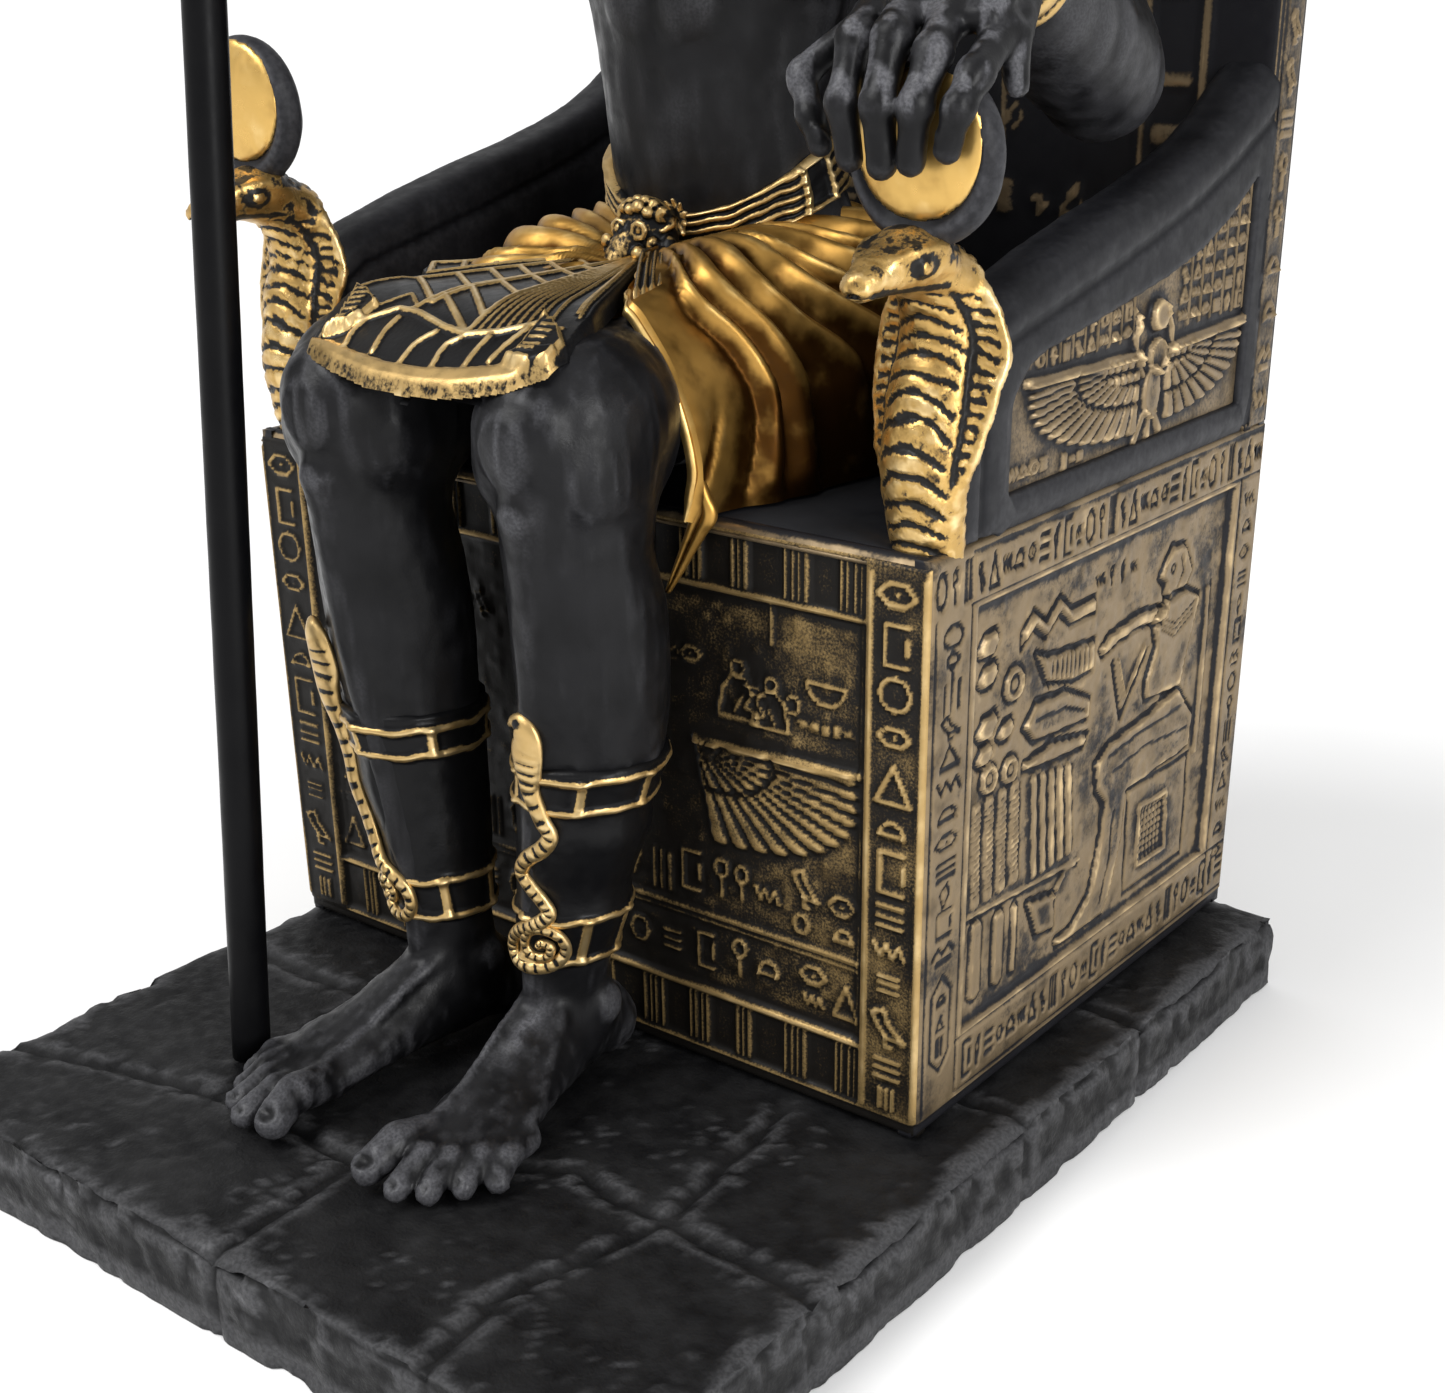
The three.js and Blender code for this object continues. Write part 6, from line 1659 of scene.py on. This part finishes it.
def belt():
    """The ribbed belt round the waist, which dips to the buckle and ends in a framed bar."""
    columns, rows = 250, 30
    turn = 2 * math.pi * np.arange(columns) / columns
    across = np.linspace(-1, 1, rows)[:, None] + 0 * turn
    front = (0.5 - 0.5 * np.sin(turn)) ** 2.2
    half = mix(3.5, 2.5, front)
    z = 120 - 9.9 * front + across * half
    y = along([(106, 40.5), (114, 38.5), (122, 36.6)], z)
    a = along([(106, 19.5), (114, 17.8), (122, 17.2)], z)
    b = along([(106, 14.5), (114, 13.4), (122, 12.9)], z)
    wander = 0.07 * np.sin(3 * turn + 1) + 0.05 * np.sin(11 * turn) + 0.03 * np.sin(23 * turn)
    ribs = np.abs(np.cos((across + wander) * math.pi * 2.2)) ** 1.2
    turned = np.degrees((turn + math.pi) % (2 * math.pi) - math.pi)[None, :] + 0 * across
    in_frame = smooth(11, 9, np.abs(turned - BELT_END))
    bar = smooth(2.6, 1.4, np.abs(turned - BELT_END - 9)) + smooth(2.6, 1.4, np.abs(turned - BELT_END + 9))
    frame_line = np.clip(np.maximum(smooth(0.72, 0.86, np.abs(across)) * in_frame, bar), 0, 1)
    height = 0.6 + 0.6 * ribs * (1 - in_frame) + 0.9 * frame_line
    height = height * smooth(1.0, 0.93, np.abs(across)) - 0.4 * (np.abs(across) > 0.99)
    points = np.stack([(a + height) * np.cos(turn), y + (b + height) * np.sin(turn), z], -1).reshape(-1, 3)
    faces = grid_faces(rows, columns, True).tolist()
    faces = faces if signed_volume(points, faces) > 0 else [f[::-1] for f in faces]
    points += normals_of(points, faces) * (0.08 * rough_noise(points, 1.2, 2, 27))[:, None]
    ridge = ridges_of(points, faces, 3, 0.25)
    gold = 0.08 + 0.62 * (ribs * (1 - in_frame)).ravel() + 0.35 * ridge + 0.7 * frame_line.ravel()
    mesh_piece("belt_band", points, faces, "figure", TRIM_GOLD, gold=gold - 0.12)


def buckle():
    """A long-faced animal's head with a curled brow, ringed eyes, a beard and a cupped ear."""
    clay = Clay((-9, 10, 101), (10, 27, 119), 0.3)
    clay.ball((0.2, 21.2, 110.4), (4.4, 3.2, 4.8), 1)
    clay.tube([(-0.4, 19.2, 110.2, 2.9, 2.5), (-1.8, 16.8, 107.6, 2.1, 1.9), (-2.6, 15.6, 105.2, 1.6, 1.4)], 1.2)
    clay.ball((-2.9, 14.9, 104.6), (1.5, 1.2, 1.0), 0.5)
    for side in (-1, 1):
        x = side * 1.9 - 0.2
        turns = 2 * math.pi * np.arange(8) / 7
        ring = [(x + 1.1 * math.cos(t), 17.3 - 0.2 * side, 111.4 + 1.0 * math.sin(t), 0.38, 0.38) for t in turns]
        clay.tube(ring, 0.3, turns=1)
        clay.ball((x, 17.2, 111.4), (0.55, 0.5, 0.55), 0.2)
        clay.ball((side * 0.6 - 3.0, 14.2, 105.0), (0.3, 0.4, 0.3), -0.15)
    for k in range(6):
        x = -3.4 + 1.35 * k
        clay.ball((x, 18.2 + 0.12 * (x * x), 113.9 - 0.1 * x * x + 0.4 * (k % 2)), (0.85, 0.8, 0.8), 0.25)
        clay.ball((x + 0.3, 19.6, 115.0 - 0.12 * x * x), (0.8, 0.8, 0.7), 0.25)
    for x, y, z, r in ((1.6, 16.8, 108.4, 1.1), (2.4, 17.4, 106.9, 1.0), (0.9, 16.6, 106.6, 1.0), (1.8, 17.0, 105.2, 0.9),
                       (-4.2, 17.4, 109.6, 1.0), (-4.3, 17.2, 107.9, 0.9), (3.0, 18.2, 109.6, 1.0)):
        clay.ball((x, y, z), (r, r * 0.8, r), 0.25)
    for k in range(9):
        turn = math.radians(-40 + 32 * k)
        start = np.array([5.6 + 0.9 * math.cos(turn), 20.4, 112.6 + 1.1 * math.sin(turn)])
        end = np.array([5.8 + 2.3 * math.cos(turn), 19.2, 112.8 + 2.6 * math.sin(turn)])
        clay.tube([(*start, 0.5, 0.5), (*end, 0.3, 0.3)], 0.3, turns=1)
    clay.ball((4.8, 19.6, 107.6), (1.7, 1.5, 3.0), 0.8)
    points, faces = clay.skin()
    points += normals_of(points, faces) * (0.08 * rough_noise(points, 0.9, 2, 45))[:, None]
    ridge = ridges_of(points, faces, 4, 0.22)
    dark = smooth(2.6, 4.0, points[:, 0]) * smooth(111.5, 109.5, points[:, 2])
    mesh_piece("buckle_head", points, faces, "figure", TRIM_GOLD, gold=0.3 + 0.75 * ridge - 0.5 * dark)


# Upper body
TORSO = [(86, 44, 20, 14), (104, 41.5, 19.4, 14.2), (114, 38.5, 17.4, 13), (122, 36.6, 16.8, 12.5),
         (132, 36, 17.8, 12.5), (150, 37.4, 22.6, 14.3), (165, 38.6, 27.4, 15.8), (178, 40.3, 31.4, 16.2),
         (188, 42, 35, 13.8), (196, 43, 28, 11), (202, 43, 12.6, 10), (228, 37, 9.2, 9)]
SHOULDER = (34, 43.5, 187)
LEFT_ARM = dict(elbow=(47, 57, 131), wrist=(52.5, 19, 146))
RIGHT_ARM = dict(elbow=(-63, 10, 158), wrist=(-37, -14, 186))
UPPER_ARM = [(-0.1, 8.6, 9.6), (0.0, 10.4, 11.4), (0.12, 10.9, 11.7), (0.3, 9.8, 10.6), (0.5, 8.8, 9.4),
             (0.75, 7.6, 8.2), (0.95, 7.2, 7.6), (1.04, 6.6, 7.0)]
FOREARM = [(-0.16, 5, 5), (-0.04, 7.8, 7.8), (0.14, 8.7, 8.7), (0.4, 8, 7.8), (0.72, 6.0, 5.4), (0.9, 5.0, 4.3),
           (1.04, 4.8, 3.8)]


def bone(clay, start, end, profile, across=(1, 0, 0), soft=3.0):
    rows = [(*[mix(a, b, t) for a, b in zip(start, end)], half, deep) for t, half, deep in profile]
    clay.tube(rows, soft, across, 2)


def torso_forms(clay):
    clay.tube([(0, y, z, a, b) for z, y, a, b in TORSO], 1, turns=2)
    for s in (-1, 1):
        clay.ball((s * 11.5, 29.4, 172), (11.4, 6.6, 7.6), 3)
        clay.ball((s * 5.2, 25.4, 157), (4.4, 3.0, 4.2), 3)
        clay.ball((s * 5.0, 25.0, 148.4), (4.3, 2.6, 4.0), 3)
        clay.ball((s * 4.8, 25.0, 139.6), (4.2, 2.4, 4.0), 3)
        clay.ball((s * 23, 44, 160), (5, 8, 16), 4)
        clay.ball((s * 14, 54.5, 176), (10, 4, 13), 4)
        for k in range(4):
            z = 163 - 6.2 * k
            clay.tube([(s * 12, 25.4 + 0.4 * k, z, 1.1, 1.2), (s * 18.5, 29.5, z - 2.2, 1.2, 1.3),
                       (s * (23 - 1.2 * k), 36, z - 1.0, 1.0, 1.2)], 2.2)
    clay.ball((0, 23.2, 129), (0.7, 1.5, 2.4), -1.2)
    clay.tube([(0, 22.4, 160, 0.5, 0.6), (0, 22.4, 145, 0.4, 0.5), (0, 23.0, 136, 0.3, 0.4)], -1.6)
    clay.tube([(0, 57, 190, 1, 1), (0, 55.6, 165, 1.2, 1.2), (0, 51.4, 130, 1.2, 1.2)], -2.4)


def head_forms(clay):
    y, z, muzzle = HEAD["y"], HEAD["z"], HEAD["muzzle"]
    clay.tube([(0, y + 9, z + 2, 9, 9), (0, y, z + 3, 10.4, 11), (0, y - 8, z + 1, 8.8, 9.4),
               (0, y - 17, z - 2.4, 5.7, 6.2), (0, y - 27, z - 4.6, 4.4, 4.7), (0, y - muzzle + 5, z - 6.0, 3.7, 3.9),
               (0, y - muzzle + 1.4, z - 6.4, 2.7, 2.9)], 1)
    clay.ball((0, y - muzzle + 1.5, z - 4.6), (2.5, 2.2, 1.9), 0.7)
    for s in (-1, 1):
        clay.ball((s * 5.4, y - 11.4, z + 3.4), (2.6, 4.4, 2.6), 1.6)
        clay.ball((s * 6.3, y - 12.4, z + 1.8), (1.1, 2.0, 1.2), 0.25)
        clay.tube([(s * 6.9, y - 7, z + 2.2, 0.35, 0.4), (s * 6.9, y - 12, z + 3.4, 0.4, 0.5),
                   (s * 5.0, y - 16.6, z + 0.4, 0.3, 0.4)], -0.5)
        clay.tube([(s * 5.8, y - 16, z - 5.2, 0.35, 0.4), (s * 4.2, y - 27, z - 7.2, 0.35, 0.4),
                   (s * 2.4, y - muzzle + 2, z - 7.6, 0.35, 0.4)], -0.6)
        clay.ball((s * 1.3, y - muzzle + 0.2, z - 4.6), (0.6, 0.7, 0.5), -0.3)
        clay.ball((s * 6.6, y - 4, z - 3.4), (3.0, 5.0, 4.6), 3)
        ear = [(s * 7, y + 3, z + 7, 4.2, 3.4), (s * 8.2, y + 2.6, z + 17, 5.0, 2.8), (s * 9, y + 2.6, z + 27, 4.4, 2.4),
               (s * 10, y + 3, z + 40, 2.8, 1.6), (s * 10.9, y + 4, HEAD["ear"] - 1.2, 0.8, 0.6)]
        clay.tube(ear, 1.4)
        hollow = [(s * 7.7, y - 0.6, z + 12, 1.6, 1.3), (s * 8.6, y + 0.2, z + 20, 3.0, 1.5),
                  (s * 9.3, y + 1.0, z + 31, 2.2, 1.1), (s * 10.2, y + 1.9, z + 42, 1.0, 0.7)]
        clay.tube(hollow, -0.8)


def upper_body():
    step = 1.15
    clay = Clay((-75, -20, 100), (64, 68, 288.4), step)
    torso_forms(clay)
    head_forms(clay)
    left, right = SHOULDER, (-SHOULDER[0], *SHOULDER[1:])
    bone(clay, left, LEFT_ARM["elbow"], UPPER_ARM)
    bone(clay, right, RIGHT_ARM["elbow"], UPPER_ARM)
    bone(clay, LEFT_ARM["elbow"], LEFT_ARM["wrist"], FOREARM)
    bone(clay, RIGHT_ARM["elbow"], RIGHT_ARM["wrist"], FOREARM, (0, 0, 1))
    clay.ball((47.5, 62, 130), (4.2, 4.0, 4.6), 2.5)
    clay.ball((-67, 13, 155), (3.6, 4.2, 4.2), 2.5)
    for s, elbow in ((1, LEFT_ARM["elbow"]), (-1, RIGHT_ARM["elbow"])):
        start = np.array([s * SHOULDER[0], *SHOULDER[1:]])
        middle = mix(start, np.array(elbow), 0.5) + (0, -4.6, 1)
        clay.ball(middle, (11, 5.4, 5.4), 3, np.array(elbow) - start)
        clay.ball(start + (s * 2, -1, -2), (9.6, 10.6, 10.8), 4)
    clay.keep(2, 101, 1)
    points, faces = clay.skin(0.0)
    normals = normals_of(points, faces)
    points += normals * (1.2 * limb_grain(points, 3.8))[:, None]
    ridge = ridges_of(points, faces, 5, 0.5)
    wear = 0.35 * smooth(0.08, 0.8, ridge)
    mesh_piece("upper_body", points, faces, "figure", SKIN, wear=wear)


def finger(clay, joints, radius):
    """Slim bones between swollen knuckles."""
    joints = np.array(joints, float)
    rows = []
    for k, (a, b) in enumerate(zip(joints, joints[1:])):
        size = radius * (1 - 0.1 * k)
        rows += [(*a, size, size), (*mix(a, b, 0.5), size * 0.93, size * 0.93)]
    rows.append((*joints[-1], radius * 0.74, radius * 0.74))
    clay.tube(rows, 0.8, turns=2)
    for k, joint in enumerate(joints[1:-1]):
        clay.ball(joint, [radius * (0.98 - 0.06 * k)] * 3, 0.8)


# The left hand's fingers: the radius at the knuckle and the joints down to the tip
FINGERS = [
    (2.15, [(46.6, 7, 140.4), (48.4, -0.6, 136.8), (49.0, -3.8, 130.4), (49.8, -3.4, 124.8)]),
    (2.35, [(50.9, 7, 141), (53.6, -1.2, 137.0), (54, -4.2, 130.4), (54.3, -3.8, 124.4)]),
    (2.25, [(56.2, 7, 140), (58.8, -1.2, 135.6), (58.6, -4.0, 130.4), (58.0, -3.7, 124.9)]),
    (2.1, [(62, 7.5, 137.4), (63.6, -0.4, 133.6), (63.4, -3.2, 130.4), (62.2, -3.2, 126.2)]),
    (1.85, [(47.4, 9.6, 141), (39.8, 1.6, 132.8), (42, 0.0, 128.7), (43.9, -0.7, 125.6)]),
]


def left_hand():
    """The hand that lies on the cobra's disc, with its bony fingers hanging in front."""
    clay = Clay((36, -10, 118), (68, 24, 152), 0.48)
    wx, wy, wz = LEFT_ARM["wrist"]
    clay.tube([(wx - 0.6, wy + 3, wz - 0.8, 4.9, 3.9), (wx, wy, wz, 4.8, 3.7), (53.6, 13, 143.6, 6.6, 3.3),
               (54.6, 7.5, 140.4, 8.6, 2.8), (54.8, 4.8, 138.8, 8.2, 2.1)], 1)
    clay.tube([(58, 16, 141, 3.6, 2.8), (62.4, 9, 136.8, 2.2, 2.2), (63.8, 8, 132, 1.3, 1.5)], 1.5)
    for k, (radius, joints) in enumerate(FINGERS):
        finger(clay, joints, radius)
        tip = np.array(joints[-1])
        clay.ball(tip + (0, -radius * 0.45, 1.2), (radius * 0.55, 0.5, 1.2), 0.15)
        if k < 4:
            start = (mix(50.2, 55.4, k / 3), 16, 146.4 - 0.4 * k)
            over = np.array(joints[0]) + (0, 0.6, 1.3)
            clay.tube([(*start, 0.7, 0.8), (*mix(np.array(start), over, 0.55), 0.7, 0.9), (*over, 0.8, 0.9)], 1.0)
    place, (x, y, z) = clay.window((44, -3, 113), (69, 5, 137))
    cup = ((x - DISC[0]) / 10.0) ** 2 + ((y - DISC[1] - 0.4) / 4.3) ** 2 + ((z - DISC[2]) / 10.0) ** 2
    away = np.maximum((np.sqrt(cup) - 1) * 4.3, DISC[1] - 1.9 - y)
    clay.field[place] = np.maximum(clay.field[place], -away)
    points, faces = clay.skin()
    px, py, pz = points.T
    points += normals_of(points, faces) * (0.07 * rough_noise(points, 1.7, 2, 83))[:, None]
    ridge = ridges_of(points, faces, 6, 0.4)
    # Grey on the knuckle ridges is dry-brushed wear. The grey on the up- and forward-facing back of the hand and on the
    # forward-facing finger shafts is a painted highlight.
    back = smooth(127, 133, pz) * smooth(0.0, 0.5, normals_of(points, faces)[:, 2] - normals_of(points, faces)[:, 1])
    shaft_highlight = smooth(129.5, 131, pz) * smooth(0.2, 0.6, -normals_of(points, faces)[:, 1] + 0.4 * ridge)
    wear = 0.25 * smooth(0.45, 1.0, ridge) + 0.2 * back * smooth(0.0, 0.4, noise(points, 1.4, 85))
    wear += 0.9 * shaft_highlight * smooth(0.15, 0.4, noise(points * (1, 1, 0.3), 1.3, 87) + 0.25)
    mesh_piece("left_hand", points, faces, "figure", SKIN, wear=wear)


def right_hand():
    """The hand closed round the staff."""
    grip = 191.0
    sx, sy = STAFF_FOOT[0], STAFF_FOOT[1] + grip * STAFF_LEAN
    clay = Clay((-48, -36, 176), (-18, -4, 208), 0.65)
    wx, wy, wz = RIGHT_ARM["wrist"]
    clay.tube([(wx - 2, wy + 2, wz - 3, 4.4, 3.6), (wx, wy, wz, 4.5, 3.5), (sx - 4.4, sy + 2.2, grip - 1, 4.2, 6.6),
               (sx - 1.2, sy + 4.4, grip + 0.5, 3.4, 7.2), (sx + 2.0, sy + 3.8, grip + 1, 2.2, 6.4)], 1, (0, 1, 0))
    for k in range(4):
        z = grip - 5.6 + 4.1 * k
        x, y = STAFF_FOOT[0], STAFF_FOOT[1] + z * STAFF_LEAN
        joints = [(x + 4.8 * math.cos(a), y + 4.8 * math.sin(a), z) for a in (0.9, -0.5, -1.9, -3.1, -3.8)]
        finger(clay, joints, 2.0)
    finger(clay, [(sx - 5.6, sy + 1, grip + 5.5), (sx - 4.6, sy - 3, grip + 8.6), (sx + 0.4, sy - 4.6, grip + 10.6)], 2.2)
    z = clay.low[2] + clay.step * np.arange(clay.size[2])[None, None, :]
    place, (x, y, _) = clay.window(clay.low, clay.low + clay.step * (clay.size - 1))
    away = np.hypot(x - STAFF_FOOT[0], y - STAFF_FOOT[1] - z * STAFF_LEAN) - STAFF_RADIUS - 0.2
    clay.field = np.maximum(clay.field, -away.astype(np.float32))
    dress_hand("right_hand", clay)


def dress_hand(name, clay):
    points, faces = clay.skin()
    points += normals_of(points, faces) * (0.07 * rough_noise(points, 1.7, 2, 83))[:, None]
    ridge = ridges_of(points, faces, 6, 0.4)
    mesh_piece(name, points, faces, "figure", SKIN, wear=0.75 * smooth(0.0, 0.7, ridge))


def head_cloth():
    """The striped head cloth with two lappets over the shoulders."""
    clay = Clay((-26, 16, 164), (26, 62, 250), 1.1)
    clay.tube([(0, 49, 185, 19.6, 8.2), (0, 48.4, 196, 21, 10), (0, 46.6, 208, 19.4, 12.2), (0, 43.8, 224, 15.6, 12.8),
               (0, 41.4, 240, 11.8, 10.8), (0, 40.8, 246.4, 6.4, 5)], 1, turns=3)
    for s in (-1, 1):
        clay.tube([(s * 11.2, 23.2, 169, 4.8, 1.6), (s * 12.2, 24.6, 182, 6.0, 2.2), (s * 13.6, 30.4, 198, 6.4, 4.6),
                   (s * 13, 37, 214, 5.6, 6.6)], 2.0)
    y, z = HEAD["y"], HEAD["z"]
    clay.ball((0, y - 9, z - 4), (8.6, 12, 11), -1)
    points, faces = clay.skin()
    px, py, pz = points.T
    wave = np.abs(np.sin((pz + 0.5 * np.abs(px) + 0.25 * py) * math.pi / 4.4))
    stripe = smooth(0.1, 0.6, wave)
    points += normals_of(points, faces) * (0.35 * (stripe - 0.5))[:, None]
    mesh_piece("head_cloth", points, faces, "figure", TRIM_GOLD, gold=0.62 * stripe)


def collar():
    """A broad collar of beaded bands over the chest and shoulders."""
    rows, columns = 38, 240
    turn = 2 * math.pi * np.arange(columns) / columns
    t = np.linspace(0, 1, rows)[:, None] + 0 * turn
    z = mix(176.6, 203, t)
    y = along([(176, 40), (187, 41.6), (197.5, 42.6), (203.6, 43)], z)
    a = along([(176, 31.4), (187, 33.6), (197.5, 26.6), (203.6, 13.2)], z)
    b = along([(176, 17.8), (187, 16.5), (197.5, 13.4), (203.6, 10.8)], z)
    bands = 6
    groove = smooth(0.0, 0.3, np.abs(np.sin(t * math.pi * bands)))
    bead = np.abs(np.sin(turn[None, :] * 48 + 2.4 * np.floor(t * bands)))
    height = 0.35 * groove + 0.25 * bead * groove - 1.4 * (t < 0.001)
    points = np.stack([(a + height) * np.cos(turn), y + (b + height) * np.sin(turn), z], -1).reshape(-1, 3)
    faces = grid_faces(rows, columns, True).tolist()
    faces = faces if signed_volume(points, faces) > 0 else [f[::-1] for f in faces]
    mesh_piece("collar_bands", points, faces, "figure", TRIM_GOLD,
               gold=(groove * (0.3 + 0.5 * bead)).reshape(-1))


def bracelet(name, start, end, low, high, profile, across):
    """A ribbed gold band round a limb."""
    rows = []
    for t in np.linspace(low, high, 12):
        half = float(along([(p[0], p[1]) for p in profile], t)) + 0.35
        deep = float(along([(p[0], p[2]) for p in profile], t)) + 0.35
        rows.append((*[mix(a, b, t) for a, b in zip(start, end)], half, deep))
    points, faces, station, turn, outward = sweep(rows, 52, across, 3)
    rib = np.abs(np.cos(station * math.pi * 3)) ** 0.6
    points += outward * (0.3 * rib)[:, None]
    mesh_piece(name, points, faces, "figure", TRIM_GOLD, gold=0.15 + 0.65 * rib)


def bracelets():
    bracelet("left_bracelet", LEFT_ARM["elbow"], LEFT_ARM["wrist"], 0.73, 0.88, FOREARM, (1, 0, 0))
    bracelet("right_bracelet", RIGHT_ARM["elbow"], RIGHT_ARM["wrist"], 0.73, 0.88, FOREARM, (0, 0, 1))
    bracelet("left_armlet", SHOULDER, LEFT_ARM["elbow"], 0.42, 0.54, UPPER_ARM, (1, 0, 0))
    bracelet("right_armlet", (-SHOULDER[0], *SHOULDER[1:]), RIGHT_ARM["elbow"], 0.42, 0.54, UPPER_ARM, (1, 0, 0))


# Camera, light and floor
CAMERA_AT = (181.78, -193.27, 147.24)
CAMERA_RIGHT = (0.79542, 0.60602, -0.00635)
CAMERA_DOWN = (0.24759, -0.33450, -0.90929)
CAMERA_AHEAD = (-0.55317, 0.72170, -0.41612)
PHOTO_WIDTH = 1445
PHOTO_HEIGHT = 1393
FOCAL_PIXELS = 2007.75
CENTRE_PIXEL = (756.0, 851.2)
SENSOR = 36.0


def camera():
    data = bpy.data.cameras.new("camera")
    data.sensor_width = SENSOR
    data.lens = FOCAL_PIXELS * SENSOR / PHOTO_WIDTH
    data.shift_x = (PHOTO_WIDTH / 2 - CENTRE_PIXEL[0]) / PHOTO_WIDTH
    data.shift_y = (CENTRE_PIXEL[1] - PHOTO_HEIGHT / 2) / PHOTO_WIDTH
    data.clip_start = 0.01
    camera_object = bpy.data.objects.new("camera", data)
    turn = np.array([CAMERA_RIGHT, [-v for v in CAMERA_DOWN], [-v for v in CAMERA_AHEAD]]).T
    matrix = mathutils.Matrix(turn.tolist()).to_4x4()
    matrix.translation = mathutils.Vector(((np.array(CAMERA_AT) + ORIGIN) / 1000).tolist())
    camera_object.matrix_world = matrix
    bpy.context.scene.collection.objects.link(camera_object)
    bpy.context.scene.camera = camera_object


def area_light(name, place, target, size, watts, tint=(1, 1, 1)):
    data = bpy.data.lights.new(name, "AREA")
    data.shape = "RECTANGLE"
    data.size, data.size_y = size
    data.energy = watts
    data.color = tint
    lamp = bpy.data.objects.new(name, data)
    lamp.location = place
    way = mathutils.Vector(target) - mathutils.Vector(place)
    lamp.rotation_euler = way.to_track_quat("-Z", "Y").to_euler()
    bpy.context.scene.collection.objects.link(lamp)


def studio():
    world = bpy.data.worlds.new("studio")
    world.use_nodes = True
    world.node_tree.nodes["Background"].inputs["Color"].default_value = (1, 1, 1, 1)
    world.node_tree.nodes["Background"].inputs["Strength"].default_value = 0.7
    bpy.context.scene.world = world
    bpy.context.scene.view_settings.view_transform = "Standard"
    sun = bpy.data.lights.new("key", "SUN")
    sun.energy = 2.2
    sun.angle = math.radians(35)
    lamp = bpy.data.objects.new("key", sun)
    way = mathutils.Vector((0.35, 0.6, -0.75))
    lamp.rotation_euler = way.to_track_quat("-Z", "Y").to_euler()
    bpy.context.scene.collection.objects.link(lamp)
    area_light("side", (0.9, -0.3, 0.45), (0, 0, 0.1), (0.35, 0.6), 7.0)


def floor():
    mesh = bpy.data.meshes.new("floor")
    reach = 40.0
    mesh.from_pydata([(-reach, -reach, 0), (reach, -reach, 0), (reach, reach, 0), (-reach, reach, 0)], [],
                     [[0, 1, 2, 3]])
    ground = bpy.data.objects.new("floor", mesh)
    ground.location.z = -0.0002
    bpy.context.scene.collection.objects.link(ground)
    f = Finish("floor_white")
    speck = f.noise(40, 2)
    colour = f.blend(speck, (0.92, 0.92, 0.92), (0.95, 0.95, 0.95))
    mesh.materials.append(f.finish(colour, 0.0, 0.8))


# Making it all
camera()
studio()
floor()
core_block()
seat_top()
front_face()
for s in (1, -1):
    side_carving(s)
    arm_wall(s)
    arm_relief(s)
    post_face(s)
    cobra(s)
    disc(s)
backrest_face()
rear_face()
cornice()
plinth()
staff()
legs()
for s in (1, -1):
    greave(s)
    shin_snake(s)
skirt()
skirt_tip()
sash_tail()
apron()
belt()
buckle()
upper_body()
left_hand()
right_hand()
head_cloth()
collar()
bracelets()
